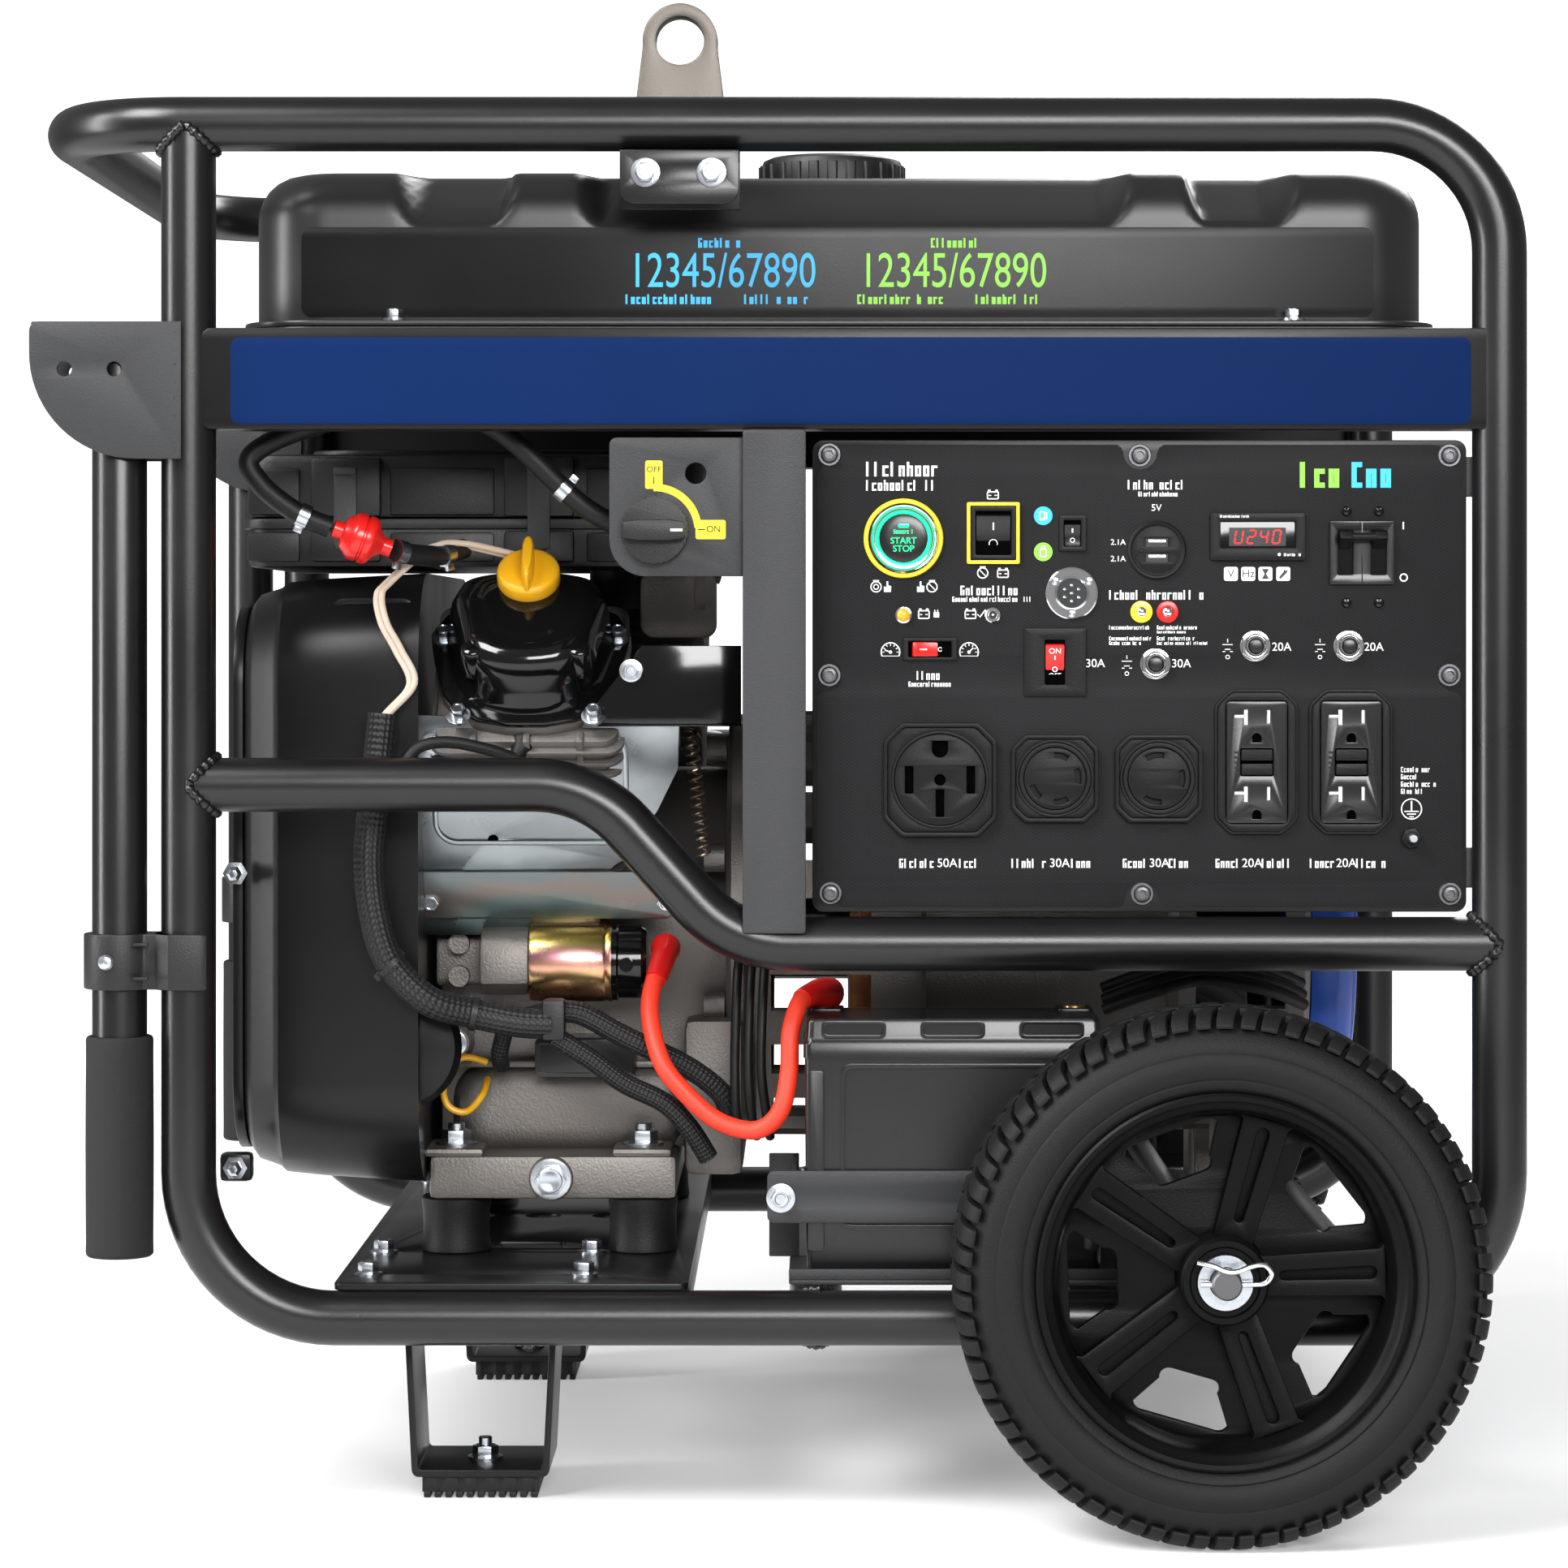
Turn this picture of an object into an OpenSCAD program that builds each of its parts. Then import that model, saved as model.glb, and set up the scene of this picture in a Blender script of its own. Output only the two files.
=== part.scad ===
// Portable V-twin generator on a wheeled tube frame.
// +X runs to the wheel end, -Y is the control panel side, +Z is up.
// The origin is under the middle of the machine, on the ground.

/* [Frame] */
// Outside diameter of the frame tube
tube_d = 30; // [28:0.5:30]
// Distance from the middle plane to the centre of each side frame
side_y = 279.5; // [279:0.5:280.5]
// Height of the centre of the top rail
rail_z = 764.6; // [764:0.1:768]
// Height of the centre of the bottom tube
sill_z = 108.8; // [108.8:0.1:109]

/* [Wheels] */
// Outside diameter of the tyre
tyre_d = 286; // [280:1:286]
// Width of the tyre
tyre_w = 78; // [70:1:78]
// Diameter of the axle
axle_d = 16; // [14:0.5:17]

/* [Handles] */
// Diameter of the handle tube
handle_d = 30; // [26:0.5:30]
// Outside diameter of the handle grip
grip_d = 37; // [35:0.5:38]

/* [Fuel tank] */
// Height of the tank shell above its flange
tank_h = 85.5; // [82:0.5:86]
// Wall thickness of the tank
tank_wall = 2; // [1.5:0.5:3]

/* [Controls] */
// Diameter of the round start button
start_d = 30; // [26:1:30]
// Diameter of the fuel valve knob
knob_d = 38; // [34:1:40]

/* [Hidden] */
$fn = 48;

tube_r = tube_d / 2;
cope_r = tube_r + 0.05;
post_x = -324.6;
right_x = 395.5;
loop_x = -398;
sill_bend = 80;
rail_bend = 70;
tube_top = sill_z + tube_r;
floor_z = 124;
plate_t = 4;
beam_z = [596.5, 652];
beam_y = [-291.5, -263.5];
panel_y = -282;
panel_x = [18, 377];
panel_z = [332, 591];
wheel_x = 235.5;
wheel_z = tyre_d / 2;
wheel_y = 306.5;
hinge_x = -362.5;
hinge_z = 629;
crank_y = -30;
crank_z = 310;
lean = 45;

// Place for the children in the plane of the panel: x across, y up, z out to the front
module front(x, z, y = panel_y) {
  translate([x, y, z]) rotate([90, 0, 0]) children();
}

// The children, and their mirror image on the far side of the machine
module both_sides() {
  children();
  mirror([0, 1, 0]) children();
}

// A round bar between two points
module bar(a, b, d) {
  v = b - a;
  translate(a) rotate([0, acos(v.z / norm(v)), atan2(v.y, v.x)]) cylinder(h = norm(v), d = d);
}

function unit(v) = v / norm(v);

// Length cut off each leg by a bend of radius r at corner b
function leg(a, b, c, r) = r * tan(acos(unit(b - a) * unit(c - b)) / 2);

// The bend itself, a slice of a torus, drawn 0.02 mm thinner all round than the straights
module elbow(a, b, c, r, d) {
  u = unit(b - a);
  w = unit(c - b);
  t = acos(u * w);
  n = (w - u * cos(t)) / sin(t);
  m = b - u * r * tan(t / 2) + n * r;
  k = cross(-n, u);
  multmatrix([[-n.x, u.x, k.x, m.x], [-n.y, u.y, k.y, m.y], [-n.z, u.z, k.z, m.z], [0, 0, 0, 1]])
    rotate_extrude(angle = t) translate([r, 0]) circle(d = d - 0.04);
}

// A tube bent at each inner point of a route, with one bend radius for each of them
module bent_tube(p, r, d) {
  last = len(p) - 1;
  for (i = [0:last - 1]) {
    u = unit(p[i + 1] - p[i]);
    cut_a = i == 0 ? 0 : leg(p[i - 1], p[i], p[i + 1], r[i - 1]);
    cut_b = i == last - 1 ? 0 : leg(p[i], p[i + 1], p[i + 2], r[i]);
    bar(p[i] + u * cut_a, p[i + 1] - u * cut_b, d);
  }
  for (i = [1:last - 1]) elbow(p[i - 1], p[i], p[i + 1], r[i - 1], d);
}

// A rectangle about the origin with true round corners
module rounded(w, h, r) {
  union() {
    square([w - 2 * r, h], center = true);
    square([w, h - 2 * r], center = true);
    for (x = [-1, 1], y = [-1, 1]) translate([x * (w / 2 - r), y * (h / 2 - r)]) circle(r);
  }
}

// A box between two corners
module block(a, b) {
  translate(a) cube(b - a);
}

// A hexagon head with its washer, standing on z = 0
module hex_bolt(across, h, washer_d) {
  cylinder(h = 1.5, d = washer_d);
  translate([0, 0, 1.5]) cylinder(h = h, d = across / cos(30), $fn = 6);
}

// ---- Tube frame ----

// One welded side: post, sill, right upright, top rail, half of the end loop, middle rail
module side_frame() {
  y = -side_y;
  weld_d = tube_d - 0.2;
  bent_tube([[post_x, y, rail_z - 30], [post_x, y, sill_z], [right_x, y, sill_z],
    [right_x, y, rail_z], [loop_x, y, rail_z], [loop_x, -0.05, rail_z]],
    [sill_bend, sill_bend, rail_bend, rail_bend], tube_d);
  bar([post_x, y, rail_z - 30], [post_x, y, rail_z], weld_d);
  bent_tube([[post_x, y, 401.7], [-103.8, y, 401.7], [-25.2, y, 314.3],
    [right_x, y, 314.3]], [rail_bend, rail_bend], weld_d);
}

module side_frame_front() {
  color("#1b1b1d") side_frame();
}

module side_frame_rear() {
  color("#1b1b1d") mirror([0, 1, 0]) side_frame();
}

// Copes that let a part end on the side frames without entering their tubes
module sill_copes() {
  both_sides() bar([-400, -side_y, sill_z], [420, -side_y, sill_z], 2 * cope_r);
}

module post_copes() {
  both_sides() for (x = [post_x, right_x])
    bar([x, -side_y, 150], [x, -side_y, 700], 2 * cope_r);
}

// Floor tubes and the channels that carry the alternator and the tank
module cross_members() {
  color("#1d1d1f") {
    difference() {
      for (x = [20, 330]) bar([x, -side_y, sill_z], [x, side_y, sill_z], tube_d);
      sill_copes();
    }
    for (x = [120, 250]) difference() {
      block([x, -side_y, tube_top - 22], [x + 40, side_y, tube_top]);
      block([x + 3, -side_y, tube_top - 30], [x + 37, side_y, tube_top - 3]);
      sill_copes();
    }
    for (x = [-214, 285]) difference() {
      block([x - 20, beam_y[1] + 0.05, 632], [x + 20, -beam_y[1] - 0.05, 652]);
      block([x - 17, beam_y[1], 630], [x + 17, -beam_y[1], 649]);
    }
    both_sides() difference() {
      block([wheel_x - 16, -276, tube_top - 1], [wheel_x + 16, -258, wheel_z + 14]);
      translate([wheel_x, -300, wheel_z]) rotate([-90, 0, 0]) cylinder(h = 60, d = axle_d + 0.1);
      sill_copes();
    }
  }
}

// Pressed plate under the engine, lying on the two sills
module base_plate() {
  color("#19191b") difference() {
    union() {
      block([-245, -side_y - 2, floor_z], [-50, side_y + 2, floor_z + plate_t]);
      for (x = [-245, -53]) block([x, -262, floor_z - 16], [x + 3, 262, floor_z]);
    }
    for (y = [-1, 1]) translate([-147, y * 128, floor_z - 1]) linear_extrude(8) rounded(42, 26, 5);
    for (x = [-147, -188, -106]) translate([x, 0, floor_z - 1]) cylinder(h = 8, d = 22);
    for (x = [-229, -109], y = [-249.5, -161.5, 161.5, 249.5])
      translate([x, y, floor_z - 1]) cylinder(h = 8, d = 9);
    for (x = [-188, -80], y = [-150, 90])
      translate([x, y, floor_z - 1]) cylinder(h = 8, d = 11);
  }
}

// Deep channels along both long sides under the tank
module band_beams() {
  color("#1c1c1e") both_sides() difference() {
    block([-317, beam_y[0], beam_z[0]], [391, beam_y[1], beam_z[1]]);
    block([-303, beam_y[0] + 3, beam_z[0] + 3], [374, beam_y[1] + 1, beam_z[1] - 3]);
    post_copes();
  }
}

// Upright beside the panel, with the plate that holds the fuel valve
module panel_brackets() {
  color("#303234") {
    block([-20, -296.7, 336], [14.5, -284.7, 596.4]);
    block([-20, -296.7, 321], [14.5, -294.7, 337]);
    difference() {
      union() {
        block([-73, -291, 516], [-20, -288, 592]);
        block([-93, -291, 536], [-73, -288, 592]);
        front(-73, 536, -288) cylinder(h = 3, r = 20);
      }
      front(-68, 541, -280) cylinder(h = 20, d = 12);
      front(-45.7, 572.4, -280) cylinder(h = 20, d = 12);
    }
    both_sides() for (z = [345, 560]) difference() {
      block([374, -278, z], [382, -272, z + 22]);
      post_copes();
    }
  }
}

eye_x = -63;
eye_z = 847.6;

// Lifting bar over the tank, with its eye and the angles bolted under the top rails
module lift_bar() {
  color("#6f6862") difference() {
    union() {
      translate([eye_x, -9, eye_z]) rotate([-90, 0, 0]) cylinder(h = 18, r = 23);
      translate([eye_x, 9, 0]) rotate([90, 0, 0]) linear_extrude(18)
        polygon([[-31, 780], [31, 780], [22.4, eye_z + 5], [-22.4, eye_z + 5]]);
    }
    translate([eye_x, -20, eye_z]) rotate([-90, 0, 0]) cylinder(h = 40, d = 29.4);
  }
  color("#232325") {
    block([eye_x - 31, -264, 762], [eye_x + 31, 264, 781]);
    both_sides() difference() {
      union() {
        block([-87, -299, 719], [-22, -296, 748.6]);
        block([-87, -299, 745], [-22, -259, 748.6]);
        block([-87, -264.2, 719], [-22, -259, 781]);
      }
      for (x = [-73, -37]) front(x, 736, -250) cylinder(h = 60, d = 8);
    }
  }
}

lock_x = -389.6;

// Folded sheet brackets that the carrying handles hinge in, one at each end post
module handle_brackets() {
  color("#333436") both_sides() difference() {
    union() {
      for (y = [-296, -260]) translate([0, y, 0]) rotate([90, 0, 0]) linear_extrude(3)
        bracket_outline();
      block([-409, -299, 652], [post_x, -260, 655]);
    }
    for (x = [lock_x, hinge_x]) front(x, hinge_z, -250) cylinder(h = 60, d = 8);
    post_copes();
  }
}

// Side of a handle bracket: straight top, large round lower corner
module bracket_outline() {
  r = 58;
  union() {
    translate([-409, 580 + r]) square([r, 655 - 580 - r]);
    translate([-409 + r, 580]) square([post_x + 409 - r, 655 - 580]);
    intersection() {
      translate([-409 + r, 580 + r]) circle(r);
      translate([-409, 580]) square([r, r]);
    }
  }
}

// ---- Feet, wheels and handles ----

foot_x = -168;
foot_y = [-231.5, -156.5];

// Pressed straps that hold the feet, bolted under the base plate
module foot_brackets() {
  t = 4;
  color("#161618") both_sides() difference() {
    union() {
      translate([foot_x, foot_y[1], 0]) rotate([90, 0, 0]) linear_extrude(75)
        polygon([[-44, 122], [-38, 12], [38, 12], [44, 122], [40, 122], [34.2, 16],
          [-34.2, 16], [-40, 122]]);
      for (x = [[-241, foot_x - 40], [foot_x + 40, -95]])
        block([x[0], -262, floor_z - t], [x[1], -149, floor_z]);
    }
    for (x = [-229, -109], y = [-249.5, -161.5])
      translate([x, y, 110]) cylinder(h = 20, d = 9);
    translate([foot_x, -194, 5]) cylinder(h = 20, d = 9);
  }
}

// Moulded rubber soles under the foot straps, with a ribbed underside
module foot_pads() {
  color("#1a1a1a") both_sides() difference() {
    union() {
      block([foot_x - 33, foot_y[0] + 2, 3], [foot_x + 33, foot_y[1] - 2, 12]);
      for (i = [-5:5]) translate([foot_x + i * 6 - 2, foot_y[0] + 2, 0]) cube([4, 71, 3.5]);
    }
    translate([foot_x, -194, 8]) cylinder(h = 20, d = 8.1);
  }
}

// Steel axle, drilled across near both ends for its spring clips
module axle() {
  color("#3a3a3c") difference() {
    bar([wheel_x, -392, wheel_z], [wheel_x, 392, wheel_z], axle_d);
    both_sides() translate([wheel_x - 12, -386.5, wheel_z]) rotate([0, 90, 0])
      cylinder(h = 24, d = 4);
  }
}

// Half section of the tyre: distance from the axle, then distance across its width
module tyre_section() {
  half = tyre_w / 2;
  union() {
    translate([100, -half + 8]) square([tyre_d / 2 - 110, tyre_w - 16]);
    translate([108, -half]) square([tyre_d / 2 - 128, tyre_w]);
    translate([tyre_d / 2 - 24, -half + 10]) square([24, tyre_w - 20]);
    for (s = [-1, 1]) {
      translate([108, s * (half - 8)]) circle(8);
      translate([tyre_d / 2 - 14, s * (half - 14)]) circle(14);
    }
  }
}

module tyre() {
  color("#1e1e1e") translate([wheel_x, -wheel_y - tyre_w / 2, wheel_z]) rotate([90, 0, 0])
    rotate_extrude($fn = 96) tyre_section();
}

// Moulded rim with five windows, its hub bored for the axle
module rim() {
  color("#252525") translate([wheel_x, -wheel_y - 3, wheel_z]) rotate([90, 0, 0])
  difference() {
    union() {
      rotate(38) difference() {
        cylinder(h = 72, r = 99.95);
        translate([0, 0, 42]) cylinder(h = 40, r = 88);
        translate([0, 0, -1]) cylinder(h = 37, r = 88);
      }
      rotate(38) cylinder(h = 70.5, r = 23.4);
      for (a = [2:72:290]) rotate(a) translate([20, -10.5, 38]) cube([70, 21, 14]);
    }
    for (a = [38:72:326]) rotate(a) translate([0, 0, 30]) linear_extrude(30)
      polygon([[54, -19], [79, -28], [84, 0], [79, 28], [54, 19]]);
    translate([0, 0, -1]) cylinder(h = 80, d = axle_d + 0.1);
  }
}

module tyre_front() {
  tyre();
}

module rim_front() {
  rim();
}

module tyre_rear() {
  mirror([0, 1, 0]) tyre();
}

module rim_rear() {
  mirror([0, 1, 0]) rim();
}

// Hinged carrying tube with the plastic clip that parks it on the end post
module handle() {
  top = hinge_z + 12;
  color("#1b1b1d") difference() {
    union() {
      bar([hinge_x, -side_y, 147], [hinge_x, -side_y, top], handle_d);
      block([-393, -301, 290], [-311, -258, 321]);
    }
    block([-340.4, -side_y - cope_r - 0.4, 289], [-300, -side_y + cope_r + 0.4, 322]);
    front(hinge_x, hinge_z, -250) cylinder(h = 60, d = 8.1);
    front(hinge_x, hinge_z - 27.1, -250) cylinder(h = 60, d = 8.1);
  }
}

// Foam sleeve over the lower end of a handle
module grip() {
  color("#2a2a2c") difference() {
    bar([hinge_x, -side_y, 143], [hinge_x, -side_y, 264], grip_d);
    bar([hinge_x, -side_y, 146.9], [hinge_x, -side_y, 270], handle_d + 0.1);
  }
}

module handle_front() {
  handle();
}

module grip_front() {
  grip();
}

module handle_rear() {
  mirror([0, 1, 0]) handle();
}

module grip_rear() {
  mirror([0, 1, 0]) grip();
}

// ---- Fuel tank ----

tank_x = 33;
tank_size = [656, 494];
tank_z = 658.5;
cap_x = 30;
neck_d = 68;
tank_top = tank_z + tank_h;

// Pressed steel tank on a wide flange, hollow, with a filler neck
module fuel_tank() {
  color("#141415") difference() {
    union() {
      translate([tank_x, 0, 652.1]) linear_extrude(tank_z - 652.1) rounded(668, 522, 42);
      translate([tank_x, 0, tank_z]) linear_extrude(tank_h)
        rounded(tank_size.x, tank_size.y, 40);
      translate([cap_x, 0, tank_top]) cylinder(h = 20, d = neck_d);
    }
    translate([tank_x, 0, tank_z + tank_wall]) linear_extrude(tank_h - 2 * tank_wall)
      rounded(tank_size.x - 2 * tank_wall, tank_size.y - 2 * tank_wall, 38);
    translate([cap_x, 0, tank_top - 10]) cylinder(h = 40, d = neck_d - 8);
    for (x = [-214, 285], y = [-254.2, 254.2]) translate([x, y, 645]) cylinder(h = 20, d = 6.5);
  }
}

// Filler cap, a deep cup that sits over the neck
module tank_cap() {
  color("#202022") translate([cap_x, 0, tank_top + 6]) difference() {
    union() {
      cylinder(h = 24, d = 86);
      cylinder(h = 27, d = 60);
      for (a = [0:30:330]) rotate(a) translate([43, 0, 2]) cylinder(h = 20, d = 7);
    }
    translate([0, 0, -1]) cylinder(h = 17, d = neck_d + 0.1);
  }
}

// ---- Control panel ----

start_at = [68, 537];
battery_at = [117.3, 539.9];
fuel_at = [160.7, 539.7];
idle_at = [82.5, 476.1];
breaker_at = [151.1, 469];
meter_at = [262.4, 537.9];
main_at = [319.4, 529.2];
usb_at = [207.1, 530.5];
plug_at = [160.3, 506.9];
ground_at = [346.6, 372.7];
lamps = [[68, 494.9, 7], [198.6, 496.7, 9], [212.9, 496.7, 9]];
jack_at = [117, 494.9];
breakers = [[206.2, 468.1], [261, 477.9], [312.3, 477.9]];
big_at = [88, 404.6];
locks = [[151, 405.3], [208, 405.3]];
duplex = [[261.6, 414.3], [313.4, 414.3]];
panel_screws = [[27.4, 583], [197.7, 582.5], [367.6, 582.5], [27.4, 462], [367.6, 462],
  [28, 342.4], [199, 342], [368, 342]];

// The holes in the panel, less a gap all round for the body that goes through each
module panel_holes(gap) {
  translate(start_at) circle(d = 38 - gap);
  translate(battery_at) square([24 - gap, 28 - gap], center = true);
  translate(fuel_at) square([12 - gap, 17 - gap], center = true);
  translate(idle_at) square([26 - gap, 10.5 - gap], center = true);
  translate(breaker_at) square([30 - gap, 33 - gap], center = true);
  translate(meter_at) square([46 - gap, 20 - gap], center = true);
  translate(main_at) square([33 - gap, 31 - gap], center = true);
  translate(usb_at) circle(d = 29 - gap);
  translate(plug_at) circle(d = 20 - gap);
  translate(ground_at) circle(d = 6 - gap);
  translate(jack_at) circle(d = 7 - gap);
  for (p = lamps) translate([p.x, p.y]) circle(d = p.z - gap);
  for (p = breakers) translate(p) circle(d = 11 - gap);
}

// The larger holes, for the outlets
module outlet_holes(gap) {
  translate(big_at) circle(d = 52 - gap);
  for (p = locks) translate(p) circle(d = 42 - gap);
  for (p = duplex) translate(p) square([35 - gap, 69 - gap], center = true);
}

// Sheet steel front of the control box
module control_panel() {
  mid = [(panel_x[0] + panel_x[1]) / 2, (panel_z[0] + panel_z[1]) / 2];
  color("#2b2c2f") front(0, 0, panel_y + 2) linear_extrude(2) difference() {
    translate(mid) rounded(panel_x[1] - panel_x[0], panel_z[1] - panel_z[0], 6);
    panel_holes(0);
    outlet_holes(0);
    for (p = panel_screws) translate(p) circle(d = 5);
  }
}

// Folded sheet box behind the panel, open to the front, louvred at the back
module control_box() {
  t = 1.5;
  x = [22, 373];
  z = [336, 587];
  color("#2a2a2c") difference() {
    block([x[0], panel_y + 2.05, z[0]], [x[1], -172, z[1]]);
    block([x[0] + t, panel_y, z[0] + t], [x[1] - t, -172 - t, z[1] - t]);
    for (i = [0:7]) block([250, -180, 372 + i * 12], [330, -165, 377 + i * 12]);
    translate([60, -200, z[0] - 1]) cylinder(h = 4, d = 26);
  }
}

// A flange in front of the panel and a body through it, with an opening for what moves inside
module fitting(at, outer, body, opening, h = 2) {
  front(at.x, at.y) difference() {
    union() {
      linear_extrude(h) rounded(outer.x, outer.y, 1.5);
      translate([0, 0, -14]) linear_extrude(14)
        square([body.x - 0.1, body.y - 0.1], center = true);
    }
    translate([0, 0, -20]) linear_extrude(40) square(opening, center = true);
  }
}

// Round form of the same: flange, body and bore
module round_fitting(at, flange_d, body_d, bore_d, h) {
  front(at.x, at.y) difference() {
    union() {
      cylinder(h = h, d = flange_d);
      translate([0, 0, -14]) cylinder(h = 14.5, d = body_d - 0.1);
    }
    if (bore_d > 0) translate([0, 0, -20]) cylinder(h = 60, d = bore_d);
  }
}

// Everything small that is fixed in the panel, each its own solid
module panel_fittings() {
  color("#9a9a9c") round_fitting(start_at, 43.6, 38, start_d + 0.1, 3.5);
  color("#d8c02a") fitting(battery_at, [29, 33.9], [24, 28], [19.4, 24]);
  color("#151515") {
    fitting(fuel_at, [15.2, 20.1], [12, 17], [9.4, 14.4]);
    fitting(idle_at, [29.9, 12.5], [26, 10.5], [23.6, 8.6]);
    fitting(breaker_at, [34.3, 37.4], [30, 33], [11, 24.6], 2.5);
    fitting(meter_at, [52.6, 26.3], [46, 20], [30, 11], 3);
    front(meter_at.x, meter_at.y) translate([-15, -5.5, -8]) cube([30, 11, 4]);
    front(main_at.x, main_at.y) difference() {
      union() {
        translate([-17.8, -17.4, 0]) cube([35.6, 34.8, 3]);
        translate([-16.4, -15.4, -24]) cube([32.8, 30.8, 24.5]);
      }
      for (s = [-1, 1]) translate([s * 9.1 - 4.3, -12.5, -19]) cube([8.6, 25, 40]);
    }
    round_fitting(usb_at, 32, 29, 0, 2.5);
  }
  color("#c8c8ca") {
    round_fitting(plug_at, 28.6, 20, 14, 2);
    front(plug_at.x, plug_at.y) translate([0, 0, -10]) cylinder(h = 8, d = 14);
    round_fitting(jack_at, 8.4, 7, 3, 1.5);
    for (p = breakers) front(p.x, p.y) difference() {
      union() {
        cylinder(h = 4, d = 14.7 / cos(30), $fn = 6);
        translate([0, 0, 0]) cylinder(h = 6, d = 10.9);
        translate([0, 0, -14]) cylinder(h = 14.5, d = 10.9);
      }
      translate([0, 0, -10]) cylinder(h = 60, d = 8.1);
    }
    front(ground_at.x, ground_at.y) {
      cylinder(h = 4, d = 9 / cos(30), $fn = 6);
      translate([0, 0, -14]) cylinder(h = 28, d = 5);
    }
  }
  color("#e0a020") for (p = lamps) front(p.x, p.y) {
    translate([0, 0, -14]) cylinder(h = 16, d = p.z - 0.1);
    translate([0, 0, 2]) sphere(d = p.z - 0.1);
  }
}

// Octagon and square heads of the three round outlets, with shallow blade slots
module round_outlets() {
  color("#171717") {
    front(big_at.x, big_at.y) difference() {
      union() {
        linear_extrude(5) intersection() {
          square(62.4, center = true);
          rotate(45) square(78, center = true);
        }
        translate([0, 0, -28]) cylinder(h = 29, d = 51.9);
      }
      translate([0, 0, 3]) cylinder(h = 9, d = 50);
      for (s = [-1, 1]) translate([s * 16.7 - 1.2, -9, -0.6]) cube([2.4, 18, 9]);
      translate([-1.2, -21, -0.6]) cube([2.4, 13, 9]);
      translate([0, 16, -0.6]) cylinder(h = 9, d = 7);
    }
    for (p = locks) front(p.x, p.y) difference() {
      union() {
        linear_extrude(5) rounded(48.2, 48.2, 6);
        translate([0, 0, -26]) cylinder(h = 27, d = 41.9);
      }
      translate([0, 0, 3]) cylinder(h = 9, d = 40);
      translate([0, 0, -0.6]) for (a = p == locks[0] ? [45, 135, 225, 315] : [30, 150, 270])
        rotate(a) translate([12.5, -5, 0]) cube([2.4, 10, 9]);
    }
  }
}

// Duplex outlets with a wide surround, each with pockets for its two buttons
module gfci_outlets() {
  color("#161616") for (p = duplex) front(p.x, p.y) difference() {
    union() {
      linear_extrude(4) rounded(46.2, 79.6, 9);
      translate([-17.4, -34.4, -30]) cube([34.8, 68.8, 31]);
      translate([0, 0, 3]) linear_extrude(3.5) rounded(33.3, 66.7, 2);
    }
    for (y = [-3.9, 3.9]) translate([-8.7, y - 3.2, 1]) cube([17.4, 6.4, 12]);
    for (y = [-20.6, 20.6]) {
      translate([-7.4, y - 1, 3]) cube([2.2, 8.5, 9]);
      translate([5.4, y, 3]) cube([2.2, 7, 9]);
      translate([0, y - 7, 3]) cylinder(h = 9, d = 5);
    }
  }
}

// ---- Buttons, switches and levers ----

module start_button() {
  color("#101010") front(start_at.x, start_at.y) {
    translate([0, 0, -7]) cylinder(h = 12, d = start_d);
  }
}

rocker_tilt = 10;
rocker_deep = 5;

// A rocker hinged across its width a little behind the panel, resting with one end in
module rocker(at, w, h) {
  front(at.x, at.y) translate([0, 0, -rocker_deep]) rotate([rocker_tilt, 0, 0])
    rotate([90, 0, 90]) translate([0, 0, -w / 2]) {
      linear_extrude(w) polygon([[-h / 2, 0], [h / 2, 0], [h / 2, 7], [0, 6], [-h / 2, 7]]);
      cylinder(h = w, d = 5);
    }
}

module battery_switch() {
  color("#1c1c1c") rocker(battery_at, 18.7, 21.6);
}

module fuel_switch() {
  color("#1a1a1a") rocker(fuel_at, 8.8, 12);
}

module idle_switch() {
  color("#d01818") front(idle_at.x, idle_at.y) rotate(90) front_to_flat()
    rocker([0, 0], 7.8, 21);
}

// Lays a shape made in the panel plane down flat about the origin
module front_to_flat() {
  rotate([-90, 0, 0]) translate([0, -panel_y, 0]) children();
}

module breaker_switch() {
  color("#d01818") rocker(breaker_at, 10.3, 21.6);
}

main_pivot = -8;

// Two levers joined by a tie bar, both poles of the main breaker
module main_breaker_lever() {
  color("#141414") front(main_at.x, main_at.y) translate([0, 0, main_pivot])
    rotate([-25, 0, 0]) {
      for (s = [-1, 1]) translate([s * 9.1 - 3.4, -2.2, 0]) cube([6.8, 4.4, 22]);
      translate([-13, -2.2, 18]) cube([26, 4.4, 5]);
      for (s = [-1, 1]) translate([s * 9.1 - 3.4, 0, 0]) rotate([0, 90, 0])
        cylinder(h = 6.8, r = 5);
    }
}

// Push-to-reset breaker number i
module breaker_button(i) {
  color("#e8e8e8") front(breakers[i].x, breakers[i].y) translate([0, 0, -9])
    cylinder(h = 18, d = 8);
}

module breaker_button_1() {
  breaker_button(0);
}

module breaker_button_2() {
  breaker_button(1);
}

module breaker_button_3() {
  breaker_button(2);
}

// Test button above and reset button below, on duplex outlet number i
module duplex_button(i, side) {
  color("#222222") front(duplex[i].x, duplex[i].y + side * 3.9) translate([0, 0, 3])
    linear_extrude(5) rounded(17.2, 6.2, 0.8);
}

module test_button_1() {
  duplex_button(0, 1);
}

module reset_button_1() {
  duplex_button(0, -1);
}

module test_button_2() {
  duplex_button(1, 1);
}

module reset_button_2() {
  duplex_button(1, -1);
}

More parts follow.
